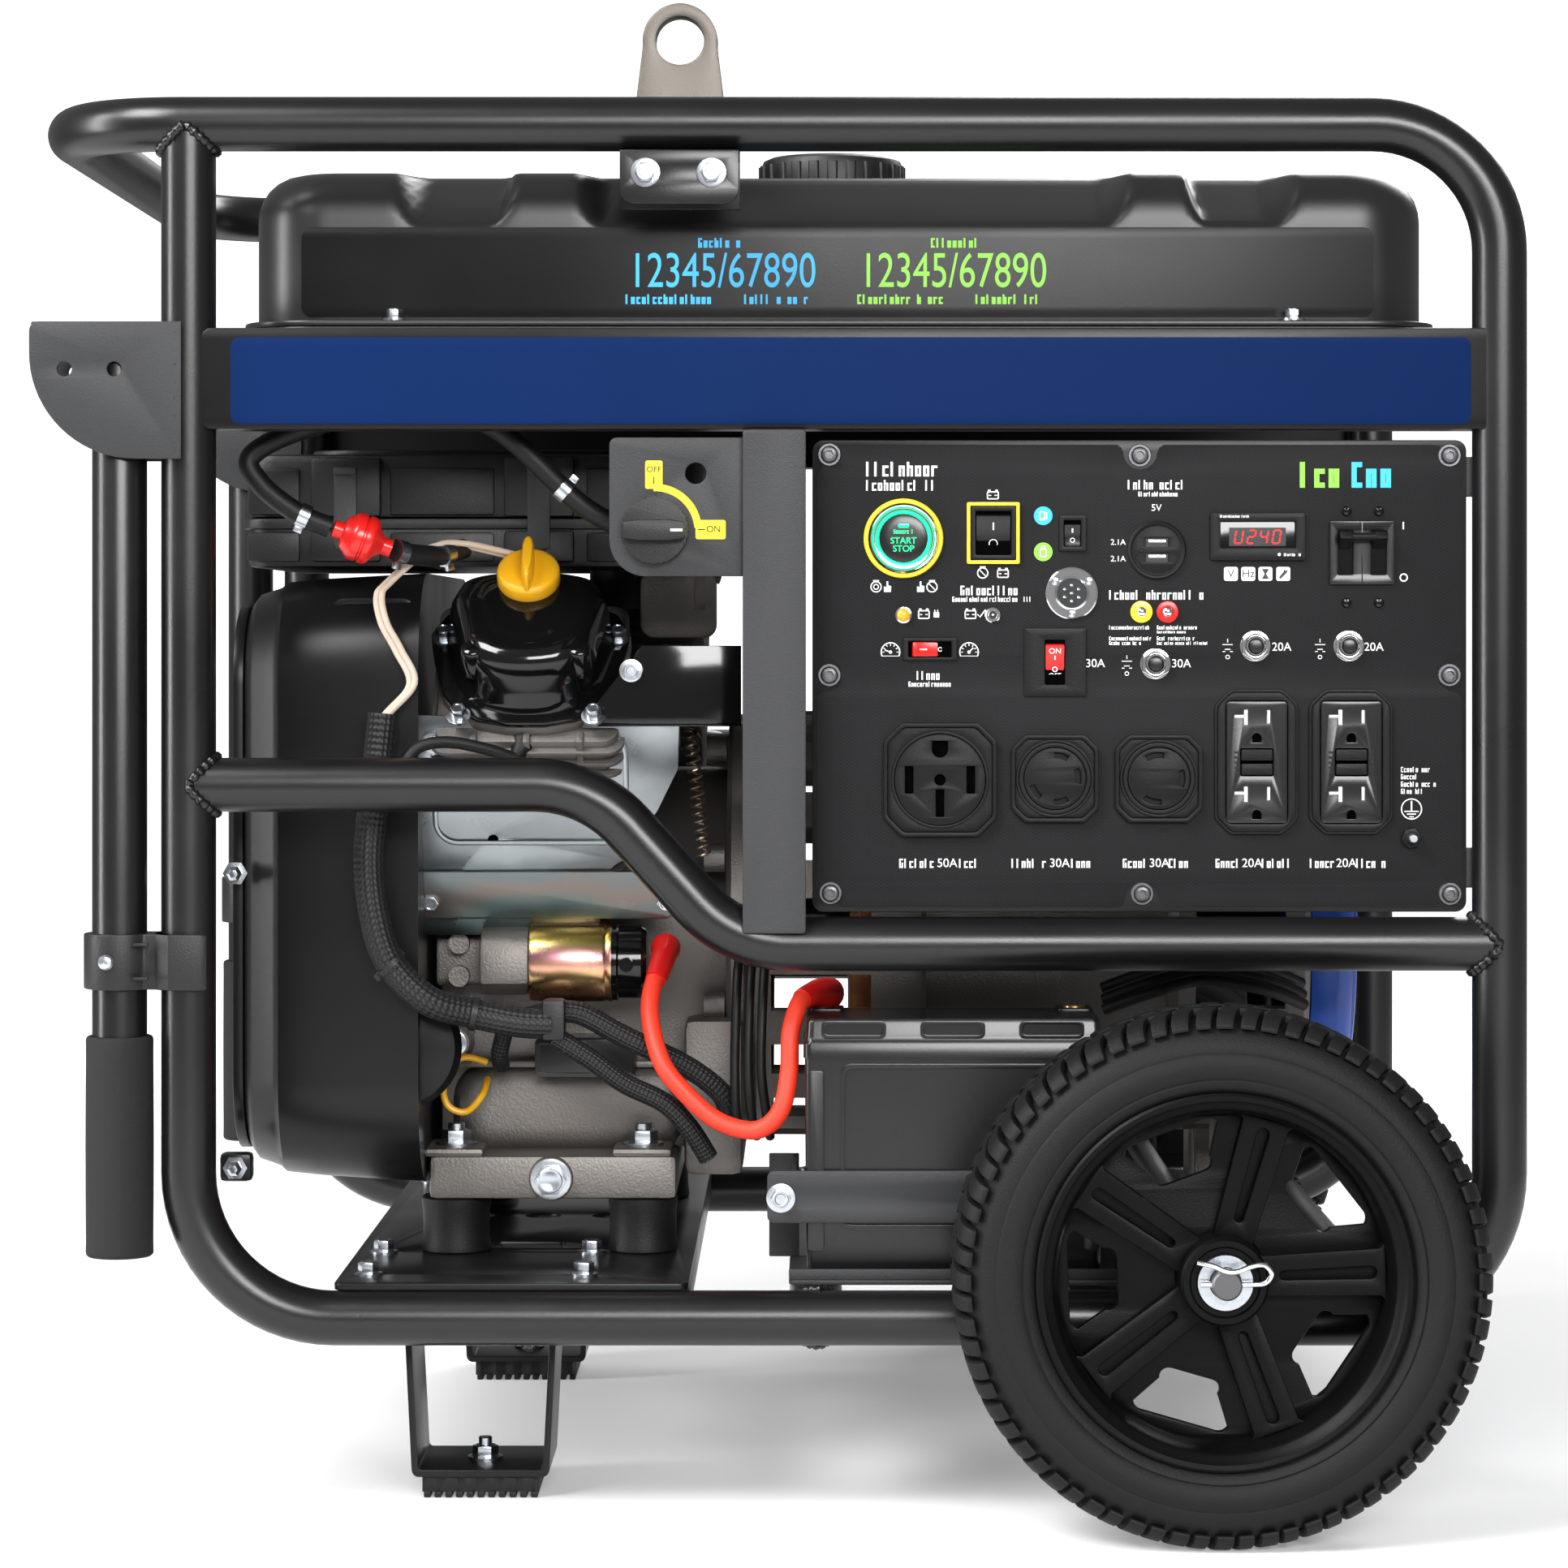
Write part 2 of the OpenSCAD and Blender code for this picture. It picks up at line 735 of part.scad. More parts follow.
// Round knob of the fuel valve, its grip bar pointing to the open mark
module fuel_knob() {
  color("#1a1a1a") front(-68, 541, -291.5) {
    cylinder(h = 8, d = knob_d);
    translate([-knob_d / 2 + 2, -5, 0]) cube([knob_d - 4, 10, 18]);
    translate([0, 0, -20]) cylinder(h = 21, d = 8);
  }
}

// ---- Engine: an air-cooled V-twin with its crankshaft along x ----

bore_r = 40;
barrel = [80, 185];
head_top = 222;
front_x = -143;
rear_x = -105;

// Place for the children on a cylinder's axis: x along the crank, z outward from it
module cylinder_axis(x, side) {
  translate([x, crank_y, crank_z]) rotate([side * lean, 0, 0]) children();
}

// Places on both cylinders
module both_cylinders() {
  cylinder_axis(front_x, 1) children();
  cylinder_axis(rear_x, -1) rotate(180) children();
}

// Cast crankcase with its foot flange, hollow round the crank
module crankcase() {
  color("#8f8b85") difference() {
    union() {
      translate([-200, crank_y, 0]) rotate([90, 0, 90]) linear_extrude(178)
        polygon([[-94, 184], [-94, 329], [-19, 404], [19, 404], [94, 329], [94, 184]]);
      block([-202, crank_y - 142, 160], [-60, crank_y + 142, 185]);
    }
    bar([-260, crank_y, crank_z], [0, crank_y, crank_z], 35.1);
    bar([-185, crank_y, crank_z], [-37, crank_y, crank_z], 124);
    both_cylinders() cylinder(h = 120, r = bore_r);
    for (x = [-188, -80], y = [-150, 90]) translate([x, y, 150]) cylinder(h = 60, d = 11);
  }
}

// Finned barrels and heads, one pair for each bank
module cylinders() {
  color("#8a8781") both_cylinders() difference() {
    union() {
      translate([0, 0, barrel[0] + 0.1]) cylinder(h = barrel[1] - barrel[0], r = 49);
      for (z = [88:9:178]) translate([-55, -59, z]) cube([110, 118, 2.6]);
      translate([-55, -59, barrel[1]]) cube([110, 118, head_top - barrel[1]]);
    }
    cylinder(h = barrel[1] - 6, r = bore_r);
    translate([0, 0, head_top - 25]) linear_extrude(30) square([80, 70], center = true);
  }
}

// Rocker covers, narrower at the bottom; the front one has the oil filler hole
module valve_covers() {
  color("#0c0c0d") {
    cylinder_axis(front_x, 1) difference() {
      valve_cover();
      translate([0, 26, 220]) cylinder(h = 60, d = 20.1);
    }
    cylinder_axis(rear_x, -1) rotate(180) valve_cover();
  }
}

module valve_cover() {
  translate([0, 0, head_top + 0.1]) difference() {
    union() {
      linear_extrude(4) polygon([[-43, -50], [43, -50], [57, 14], [57, 22], [44, 46],
        [-44, 46], [-57, 22], [-57, 14]]);
      linear_extrude(42) polygon([[-33, -41], [33, -41], [47, 14], [47, 20], [38, 41],
        [-38, 41], [-47, 20], [-47, 14]]);
    }
    translate([0, 0, -1]) linear_extrude(40) polygon([[-30, -38], [30, -38], [44, 14],
      [44, 20], [35, 38], [-35, 38], [-44, 20], [-44, 14]]);
  }
}

// Screw-in oil cap with a raised finger bar
module oil_cap() {
  color("#d99a1c") cylinder_axis(front_x, 1) translate([0, 26, head_top + 42.3]) {
    cylinder(h = 9, d = 36);
    translate([-4, -18, 0]) cube([8, 36, 22]);
    translate([0, 0, -12]) cylinder(h = 13, d = 20);
  }
}

// Pistons, at rest half way up their bores
module pistons() {
  color("#a5a5a5") both_cylinders() translate([0, 0, 112]) difference() {
    cylinder(h = 46, r = bore_r - 0.1);
    translate([0, 0, -1]) cylinder(h = 38, r = bore_r - 6);
    for (z = [30, 35, 40]) translate([0, 0, z]) difference() {
      cylinder(h = 1.5, r = bore_r + 1);
      cylinder(h = 1.5, r = bore_r - 3);
    }
  }
}

// Crankshaft with its flywheel fan at the blower end
module crankshaft() {
  color("#77787a") {
    bar([-250, crank_y, crank_z], [-160, crank_y, crank_z], 35);
    bar([-62, crank_y, crank_z], [-22, crank_y, crank_z], 35);
    for (x = [-175, -75]) intersection() {
      bar([x, crank_y, crank_z], [x + 15, crank_y, crank_z], 112);
      block([x, crank_y - 38, crank_z - 60], [x + 15, crank_y + 38, crank_z + 46]);
    }
    bar([-161, crank_y, crank_z + 26], [-74, crank_y, crank_z + 26], 34);
    bar([-236, crank_y, crank_z], [-226, crank_y, crank_z], 250);
    for (a = [0:30:330]) translate([-270, crank_y, crank_z]) rotate([a, 0, 0])
      translate([0, -3, 70]) cube([34.5, 6, 50]);
  }
}

// Plastic blower housing over the flywheel, with a slotted air inlet
module blower_shroud() {
  w = 380;
  h = 350;
  color("#151516") translate([-312, crank_y, 344.5]) rotate([90, 0, 90]) difference() {
    linear_extrude(110) rounded(w, h, 60);
    translate([0, 0, 3]) linear_extrude(120) rounded(w - 6, h - 6, 57);
    for (i = [-7:7]) translate([i * 11 - 3.5, crank_z - 344.5 - sqrt(85 * 85 - i * i * 121), -1])
      cube([7, 2 * sqrt(85 * 85 - i * i * 121), 8]);
  }
}

// Galvanised sheets that guide the air, and the black heat shield beside the front head
module cooling_shrouds() {
  color("#b4bcc0") {
    translate([-202, 0, 0]) rotate([90, 0, 90]) linear_extrude(150)
      polygon([[-216, 406], [-214.9, 407.1], [-163.4, 355.6], [-163.4, 319], [-165, 319],
        [-165, 355]]);
    translate([-198, 0, 0]) rotate([90, 0, 90]) linear_extrude(150)
      polygon([[152, 403], [103.4, 354.4], [103.4, 319], [105, 319], [105, 353.8], [153.1, 401.9]]);
  }
  color("#101011") translate([0, -220, 0]) rotate([90, 0, 0]) linear_extrude(2)
    polygon([[-93, 437], [-21, 437], [-21, 478], [-75, 478]]);
}

// Air cleaner under the tank, a flat box with a lid
module air_filter_box() {
  color("#232425") difference() {
    union() {
      block([-308, -165, 523], [-45, 102, 592]);
      block([-311, -168, 545], [-42, 105, 551]);
    }
    block([-305, -162, 526], [-48, 99, 589]);
    translate([-90, -30, 515]) cylinder(h = 20, d = 46);
  }
}

// Starter: cast nose, plated can and moulded end
module starter_motor() {
  y = -165;
  z = 296;
  color("#a7a39c") {
    block([-172, -188, 277], [-143.7, -124.1, 317]);
    block([-200, -150, 280], [-172, -124.1, 312]);
  }
  color("#c9a24a") bar([-143.7, y, z], [-97, y, z], 46);
  color("#121212") bar([-97, y, z], [-76, y, z], 42);
}

// Rubber blocks between the base plate and the engine foot
module engine_mounts() {
  color("#1a1a1a") for (x = [-188, -80], y = [-150, 90]) difference() {
    translate([x, y, floor_z + plate_t]) cylinder(h = 32, d = 40);
    translate([x, y, floor_z]) cylinder(h = 50, d = 11);
  }
}

// Silencer over the alternator with the pipe from the rear head and a tail pipe
module muffler() {
  y = 184;
  z = 378;
  color("#2a2928") {
    difference() {
      bar([45, y, z], [330, y, z], 120);
      bar([48, y, z], [327, y, z], 115);
    }
    bar([327, y, z], [366, y, z], 36);
    bar([-48, y - 22, z + 30], [46.5, y - 22, z + 30], 34);
    for (x = [130, 260]) block([x, 140, tube_top + 0.1], [x + 20, 146, 336]);
  }
}

// ---- Alternator ----

module rotor() {
  color("#8c5a3c") {
    bar([-22, crank_y, crank_z], [304, crank_y, crank_z], 25);
    bar([90, crank_y, crank_z], [215, crank_y, crank_z], 150);
    bar([40, crank_y, crank_z], [60, crank_y, crank_z], 190);
  }
}

// Cast adaptor with air slots, black stator shell and cast end bracket
module alternator_housing() {
  y = crank_y;
  z = crank_z;
  color("#85827c") difference() {
    union() {
      bar([-19, y, z], [83, y, z], 256);
      bar([83, y, z], [226, y, z], 236);
      bar([226, y, z], [307, y, z], 250);
      for (s = [-110, 70]) block([250, y + s, tube_top + 12], [290, y + s + 40, 240]);
    }
    bar([-30, y, z], [230, y, z], 210);
    bar([229, y, z], [296, y, z], 190);
    bar([290, y, z], [320, y, z], 25.1);
    for (a = [0:20:340]) translate([0, y, z]) rotate([a, 0, 0]) {
      block([0, -6, 95], [60, 6, 140]);
      block([245, -6, 90], [285, 6, 140]);
    }
  }
  color("#9c6a44") difference() {
    bar([95, y, z], [210, y, z], 209.8);
    bar([90, y, z], [220, y, z], 154);
  }
  color("#1c1c1c") for (s = [-105, 75])
    block([255, y + s, tube_top + 0.1], [285, y + s + 30, tube_top + 11.9]);
}

// Pressed cover over the alternator's end
module alternator_end_cover() {
  color("#1c4fa8") difference() {
    union() {
      bar([307.1, crank_y, crank_z], [332, crank_y, crank_z], 244);
      bar([331, crank_y, crank_z], [337, crank_y, crank_z], 200);
    }
    bar([300, crank_y, crank_z], [330, crank_y, crank_z], 238);
    for (a = [0:30:330]) translate([0, crank_y, crank_z]) rotate([a, 0, 0])
      block([325, -5, 60], [340, 5, 90]);
  }
}

// ---- Battery ----

battery_low = [13, -255, tube_top + 3.4];
battery_high = [180, -178, 271];

module battery() {
  color("#0d0d0e") difference() {
    union() {
      block(battery_low, [battery_high.x, battery_high.y, 256]);
      block([battery_low.x + 1.5, battery_low.y + 1.5, 255],
        [battery_high.x - 1.5, battery_high.y - 1.5, 271]);
    }
    for (i = [0:2]) translate([36 + i * 50, battery_low.y, 262]) cube([34, 18, 12]);
    for (x = [26, 167]) translate([x - 9, -200, 264]) cube([18, 30, 10]);
  }
  color("#b9a04c") for (x = [26, 167]) translate([x, -189, 264]) cylinder(h = 9, d = 10);
}

// Steel tray and strap that hold the battery
module battery_strap() {
  color("#3b3c3e") {
    difference() {
      union() {
        block([-7, -258.6, 158], [195, -255.6, 187]);
        for (x = [8, 182.5]) block([x, -258.6, 158], [x + 2.5, -170, 187]);
        for (x = [-7, 182.5]) block([x, -173, tube_top + 3.2], [x + 17.5, -170, 187]);
      }
      front(0.5, 172, -250) cylinder(h = 20, d = 8);
    }
    block([5, -262, tube_top + 0.2], [195, -165, tube_top + 3.2]);
  }
}

// ---- Hoses, wiring and fasteners ----

// A smooth curve through the points of a hand-laid route, n steps to each stretch
function between(a, b, c, d, t) = 0.5 * (2 * b + (c - a) * t
  + (2 * a - 5 * b + 4 * c - d) * t * t + (3 * b - a - 3 * c + d) * t * t * t);

function smooth(p, n) = [
  for (i = [0:len(p) - 2], k = [0:n - 1])
    between(p[max(i - 1, 0)], p[i], p[i + 1], p[min(i + 2, len(p) - 1)], k / n),
  p[len(p) - 1]
];

// A side direction carried along the tangents t without twisting
function carried(t, side, i = 0) = i == len(t) ? [] :
  let (m = unit(side - (side * t[i]) * t[i])) concat([m], carried(t, m, i + 1));

// A round hose swept along a route
module hose(p, d, sides = 8) {
  c = smooth(p, 2);
  end = len(c) - 1;
  t = [for (i = [0:end]) unit(c[min(i + 1, end)] - c[max(i - 1, 0)])];
  n = carried(t, [0.1, 0.9, 0.2]);
  points = [for (i = [0:end], k = [0:sides - 1]) let (a = 360 * k / sides)
    c[i] + d / 2 * (n[i] * cos(a) + cross(t[i], n[i]) * sin(a))];
  walls = [for (i = [0:end - 1], k = [0:sides - 1]) let (j = (k + 1) % sides)
    [i * sides + k, (i + 1) * sides + k, (i + 1) * sides + j, i * sides + j]];
  caps = [[for (k = [0:sides - 1]) k], [for (k = [sides - 1:-1:0]) end * sides + k]];
  polyhedron(points, concat(walls, caps));
}

fuel_hose = [[-80.5, -243, 541], [-110, -246, 556], [-160, -250, 600], [-210, -248, 610],
  [-262, -246, 600], [-296, -248, 585], [-290, -248, 568], [-269, -246, 552], [-251, -243, 544]];
filter_hose = [[-215, -236, 531], [-205, -226, 529], [-192, -212, 529], [-180, -197, 533]];
main_harness = [[-222, -236, 440], [-226, -238, 400], [-230, -238, 361], [-227, -237, 327],
  [-218, -234, 300], [-197, -231, 279], [-172, -222, 271], [-147, -221, 266], [-129, -220, 265]];
branch_a = [[-127.5, -216, 272], [-112, -214, 270], [-88, -212, 257], [-54, -205, 240],
  [-34, -198, 224], [-29, -188, 210]];
branch_b = [[-127.5, -219, 258], [-107, -217, 245], [-88, -214, 231], [-66, -212, 220],
  [-52, -210, 206], [-41, -204, 188]];
battery_cable = [[-66, -176, 304], [-70, -192, 294], [-74, -210, 272], [-67, -226, 245],
  [-54, -230, 228], [-37, -232, 213], [-20, -234, 207], [-8, -236, 209], [1, -238, 220],
  [5, -236, 240], [6, -233, 262], [12, -222, 279], [22, -205, 281]];
plug_lead = [[-148, -222, 414], [-165, -228, 420], [-187, -232, 424], [-204, -234, 420],
  [-214, -238, 405]];

// Hose from the valve to the filter and on to the engine, with the filter and the valve
module fuel_line() {
  color("#202020") {
    hose(fuel_hose, 12);
    hose(filter_hose, 12);
    difference() {
      block([-80, -287.8, 529], [-56, -236, 553]);
      front(-68, 541, -270) cylinder(h = 30, d = 10);
    }
  }
  color("#b01828") {
    bar([-249, -243, 543.5], [-217, -237, 532], 22);
    bar([-240, -241, 540], [-226, -239, 535.5], 28);
  }
}

// Sleeved harness, plug lead and the heavy cable to the battery
module wiring_harness() {
  color("#161616") {
    hose(main_harness, 18);
    hose(branch_a, 13);
    hose(branch_b, 12);
    hose(plug_lead, 7);
  }
  color("#e8402c") hose(battery_cable, 11);
}

// Bolts, nuts, washers, studs and clips
module fasteners() {
  color("#b8bcc0") {
    both_sides() {
      front(hinge_x, hinge_z, -299.1) hex_bolt(13, 6, 18);
      bar([hinge_x, -299.1, hinge_z], [hinge_x, -258, hinge_z], 8 - 0.1);
      for (x = [-73, -37]) front(x, 736, -299.1) hex_bolt(10, 5, 16);
      for (x = [-229, -109], y = [-249.5, -161.5]) translate([x, y, 0]) {
        translate([0, 0, floor_z + plate_t + 0.1]) hex_bolt(10, 6, 15);
        translate([0, 0, floor_z - 6]) cylinder(h = 12, d = 8);
      }
      translate([foot_x, -194, 8.2]) cylinder(h = 20, d = 8);
      translate([foot_x, -194, 16.1]) hex_bolt(13, 6, 20);
      for (x = [-214, 285]) translate([x, -254.2, 0]) {
        translate([0, 0, tank_z + 0.1]) hex_bolt(8, 5, 13);
      }
      difference() {
        translate([wheel_x, -380.1, wheel_z]) rotate([90, 0, 0]) cylinder(h = 2.5, d = 29);
        translate([wheel_x, -370, wheel_z]) rotate([90, 0, 0]) cylinder(h = 22, d = axle_d + 0.1);
      }
      translate([wheel_x - 13, -386.5, wheel_z]) rotate([0, 90, 0]) cylinder(h = 26, d = 3.6);
    }
    for (x = [-188, -80], y = [-150, 90]) translate([x, y, 0]) {
      translate([0, 0, floor_z + 0.1]) cylinder(h = 78, d = 10);
      translate([0, 0, 185.1]) hex_bolt(15, 8, 22);
    }
    for (p = panel_screws) front(p.x, p.y, panel_y - 0.05) {
      cylinder(h = 3, d = 9);
      translate([0, 0, -1.9]) cylinder(h = 2, d = 4.9);
    }
    front(0.5, 172, -258.7) hex_bolt(10, 5, 16);
    front(-132, 172, crank_y - 142.1) hex_bolt(16, 8, 22);
  }
}

// ---- Which sub-parts are drawn ----

side_frame_front();
side_frame_rear();
cross_members();
base_plate();
band_beams();
panel_brackets();
lift_bar();
handle_brackets();
foot_brackets();
foot_pads();
axle();
fasteners();
fuel_tank();
control_panel();
control_box();
panel_fittings();
round_outlets();
gfci_outlets();
battery();
battery_strap();
crankcase();
cylinders();
valve_covers();
blower_shroud();
cooling_shrouds();
air_filter_box();
starter_motor();
engine_mounts();
muffler();
alternator_housing();
alternator_end_cover();
fuel_line();
wiring_harness();
pistons();
crankshaft();
rotor();
tyre_front();
rim_front();
tyre_rear();
rim_rear();
handle_front();
grip_front();
handle_rear();
grip_rear();
start_button();
battery_switch();
fuel_switch();
idle_switch();
breaker_switch();
main_breaker_lever();
fuel_knob();
tank_cap();
oil_cap();
breaker_button_1();
breaker_button_2();
breaker_button_3();
test_button_1();
reset_button_1();
test_button_2();
reset_button_2();
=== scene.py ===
# %% [markdown]
# # A wheeled generator, piece by piece
# The working model comes first: it holds every part's place, size and movement. This lesson
# dresses it. Lengths are written in millimetres, as on a drawing, and turned into metres in
# the one place where a mesh is made.

# %% Load the working model
import math
import random

import bmesh
import bpy
from mathutils import Matrix, Vector


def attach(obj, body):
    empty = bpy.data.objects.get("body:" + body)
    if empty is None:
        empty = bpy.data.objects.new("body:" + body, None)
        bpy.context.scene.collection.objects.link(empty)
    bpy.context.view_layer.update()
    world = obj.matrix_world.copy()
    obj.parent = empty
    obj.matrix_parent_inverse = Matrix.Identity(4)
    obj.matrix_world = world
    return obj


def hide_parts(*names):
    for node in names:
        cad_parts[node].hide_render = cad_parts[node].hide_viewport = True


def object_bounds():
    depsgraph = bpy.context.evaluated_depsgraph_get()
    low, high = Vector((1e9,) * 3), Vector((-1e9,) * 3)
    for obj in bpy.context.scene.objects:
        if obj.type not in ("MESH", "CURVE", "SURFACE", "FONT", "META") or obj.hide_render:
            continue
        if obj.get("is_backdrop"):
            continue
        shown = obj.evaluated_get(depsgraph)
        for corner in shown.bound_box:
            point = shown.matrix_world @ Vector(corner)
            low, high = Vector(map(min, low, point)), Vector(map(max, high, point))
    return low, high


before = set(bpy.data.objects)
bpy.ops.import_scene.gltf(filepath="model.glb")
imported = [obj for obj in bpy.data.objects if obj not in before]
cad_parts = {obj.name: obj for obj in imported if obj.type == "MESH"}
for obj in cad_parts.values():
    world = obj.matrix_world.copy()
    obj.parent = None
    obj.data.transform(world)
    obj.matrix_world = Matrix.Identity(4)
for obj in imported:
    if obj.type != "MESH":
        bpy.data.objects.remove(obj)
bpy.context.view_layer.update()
MM = 0.001

# %% [markdown]
# ## Camera
# A product view is taken from far away with a long lens, level with the middle of the machine,
# so that upright tubes stay upright. Shifting the lens, not tilting it, frames the machine.

# %% Camera
lens = bpy.data.cameras.new("camera")
lens.lens = 100.3
lens.sensor_width = 36
lens.shift_x = -0.0192
lens.shift_y = -0.0947
lens.clip_end = 60
camera = bpy.data.objects.new("camera", lens)
camera.location = (0.019, -2.6795, 0.4837)
camera.rotation_euler = (math.radians(90), 0, 0)
bpy.context.collection.objects.link(camera)
bpy.context.scene.camera = camera
print("camera at", tuple(camera.location))

# %% [markdown]
# ## Shader expressions
# A finish is a small sum: noise times a height plus a level. Wrapping a socket in a class that
# knows + - * / lets us write the sum as it is said, and each sign becomes one Math node.

# %% A wire: one socket, with arithmetic
class Wire:
    def __init__(self, tree, socket):
        self.tree, self.socket = tree, socket

    def node(self, kind, settings=None, values=None, out=0):
        made = self.tree.nodes.new(kind)
        for name, value in (settings or {}).items():
            if name == "stops":
                while len(made.color_ramp.elements) < len(value):
                    made.color_ramp.elements.new(0.5)
                for stop, (place, colour) in zip(made.color_ramp.elements, value):
                    stop.position, stop.color = place, (*colour, 1)
            else:
                setattr(made, name, value)
        for key, value in (values or {}).items():
            if isinstance(value, Wire):
                self.tree.links.new(value.socket, made.inputs[key])
            else:
                made.inputs[key].default_value = value
        return Wire(self.tree, made.outputs[out])

    def sum(self, operation, a, b=0.0):
        return self.node("ShaderNodeMath", {"operation": operation}, {0: a, 1: b})

    def __add__(self, other): return self.sum("ADD", self, other)
    def __radd__(self, other): return self.sum("ADD", other, self)
    def __sub__(self, other): return self.sum("SUBTRACT", self, other)
    def __rsub__(self, other): return self.sum("SUBTRACT", other, self)
    def __mul__(self, other): return self.sum("MULTIPLY", self, other)
    def __rmul__(self, other): return self.sum("MULTIPLY", other, self)
    def __abs__(self): return self.sum("ABSOLUTE", self)

    def sine(self): return self.sum("SINE", self)
    def above(self, level): return self.sum("GREATER_THAN", self, level)

    def parts(self):
        split = self.node("ShaderNodeSeparateXYZ", values={0: self})
        outs = split.socket.node.outputs
        return [Wire(self.tree, outs[i]) for i in range(3)]

    def noise(self, scale, detail=3.0, stretch=None):
        at = self
        if stretch:
            at = self.node("ShaderNodeVectorMath", {"operation": "MULTIPLY"}, {0: self, 1: stretch})
        return self.node("ShaderNodeTexNoise",
                         values={"Vector": at, "Scale": scale, "Detail": detail})

    def tint(self, low, high):
        return self.node("ShaderNodeMix", {"data_type": "RGBA"},
                         {0: self, 6: (*low, 1), 7: (*high, 1)}, out=2)

    def bump(self, strength, distance=0.001):
        return self.node("ShaderNodeBump", values={"Strength": strength, "Distance": distance,
                                                   "Height": self})


def material(name, recipe, **constants):
    made = bpy.data.materials.new(name)
    made.use_nodes = True
    tree = made.node_tree
    shader = tree.nodes["Principled BSDF"]
    for key, value in constants.items():
        shader.inputs[key.replace("_", " ")].default_value = value
    coords = tree.nodes.new("ShaderNodeTexCoord")
    at, uv = Wire(tree, coords.outputs["Object"]), Wire(tree, coords.outputs["UV"])
    for key, value in recipe(at, uv).items():
        if isinstance(value, Wire):
            tree.links.new(value.socket, shader.inputs[key])
        else:
            shader.inputs[key].default_value = value
    return made


print("shader expressions ready")

# %% [markdown]
# ## Paint, plastic and rubber
# Powder coat is never flat: the powder melts into a fine orange peel. One recipe, with the grain
# size and depth as its controls, gives the satin tubes, the rough charcoal sheet, moulded
# plastic and rubber. A slow noise moves the gloss a little, as dust and handling do.

# %% A coat with grain, and the finishes made from it
def coat(base, rough, grain, depth, spread=1.5, drift=0.1):
    def recipe(at, uv):
        cloud = at.noise(9, 4)
        return {
            "Base Color": cloud.tint(base, tuple(min(1, c * spread) for c in base)),
            "Roughness": cloud * (2 * drift) + (rough - drift),
            "Normal": at.noise(grain, 2).bump(depth),
        }
    return recipe


TUBE = material("tube_black", coat((0.004, 0.004, 0.0045), 0.3, 900, 0.05))
SHEET = material("sheet_charcoal", coat((0.022, 0.0225, 0.024), 0.5, 1300, 0.28, 1.25),
                 Specular_IOR_Level=0.4)
BLACK_SHEET = material("sheet_black", coat((0.0035, 0.0035, 0.0038), 0.33, 700, 0.03),
                       Specular_IOR_Level=0.28)
TANK = material("tank_enamel", coat((0.014, 0.014, 0.0145), 0.36, 420, 0.025, 1.3, 0.04))
ENAMEL = material("gloss_enamel", coat((0.003, 0.003, 0.003), 0.1, 300, 0.01, 1.3, 0.03),
                  Coat_Roughness=0.05)
MOULDED = material("moulded_black", coat((0.007, 0.007, 0.0075), 0.42, 1500, 0.2, 1.4),
                   Specular_IOR_Level=0.4)
FITTING = material("fitting_black", coat((0.0048, 0.0048, 0.005), 0.4, 1500, 0.12, 1.4),
                   Specular_IOR_Level=0.16)
# Painted shade: a near-black, barely reflecting coat for sheets laid where only shade would be, in
# switch openings and behind outlet slots.
PAINTED_SHADE = material("painted_shade_black", coat((0.0007, 0.0007, 0.0007), 0.9, 900, 0.05),
               Specular_IOR_Level=0.02)
SMOOTH = material("smooth_black", coat((0.007, 0.007, 0.0075), 0.26, 500, 0.02, 1.3, 0.05))
CASE = material("battery_case", coat((0.005, 0.005, 0.0055), 0.2, 260, 0.02, 1.3, 0.05))
RIM = material("rim_plastic", coat((0.0022, 0.0022, 0.0024), 0.38, 1200, 0.12, 1.3),
               Specular_IOR_Level=0.1)
TYRE = material("tyre_rubber", coat((0.005, 0.005, 0.0053), 0.6, 800, 0.3, 1.5),
                Specular_IOR_Level=0.2)
RUBBER = material("rubber_black", coat((0.0035, 0.0035, 0.0035), 0.5, 900, 0.15, 1.6),
                  Specular_IOR_Level=0.3)
FOAM = material("grip_foam", coat((0.012, 0.012, 0.0125), 0.82, 2200, 0.5, 1.3),
                Specular_IOR_Level=0.3)
OIL = material("oil_yellow", coat((0.72, 0.36, 0.008), 0.34, 700, 0.03, 1.12, 0.04))
RED = material("red_plastic", coat((0.62, 0.012, 0.01), 0.25, 500, 0.01, 1.1, 0.03))
YELLOW = material("yellow_plastic", coat((0.78, 0.6, 0.01), 0.4, 500, 0.01, 1.05, 0.03))
STRIPE = material("stripe_blue", coat((0.0035, 0.015, 0.068), 0.5, 500, 0.01, 1.06, 0.03),
                  Specular_IOR_Level=0.03)
WHITE = material("white_print", coat((0.8, 0.8, 0.8), 0.5, 500, 0.01, 1.05, 0.03))
CYAN = material("cyan_print", coat((0.02, 0.4, 0.8), 0.5, 500, 0.01, 1.05, 0.03))
LIME = material("green_print", coat((0.2, 0.55, 0.04), 0.5, 500, 0.01, 1.05, 0.03))
CREAM = material("heat_sleeve", coat((0.52, 0.42, 0.34), 0.8, 1800, 0.4, 1.15))
CABLE = material("red_sleeve", coat((0.78, 0.035, 0.012), 0.5, 1600, 0.25, 1.12))
BLUE = material("cover_blue", coat((0.008, 0.07, 0.42), 0.3, 300, 0.02, 1.2, 0.05))
COPPER = material("windings", coat((0.32, 0.12, 0.05), 0.4, 700, 0.3, 1.5), Metallic=0.8)
print("coats", len(bpy.data.materials))
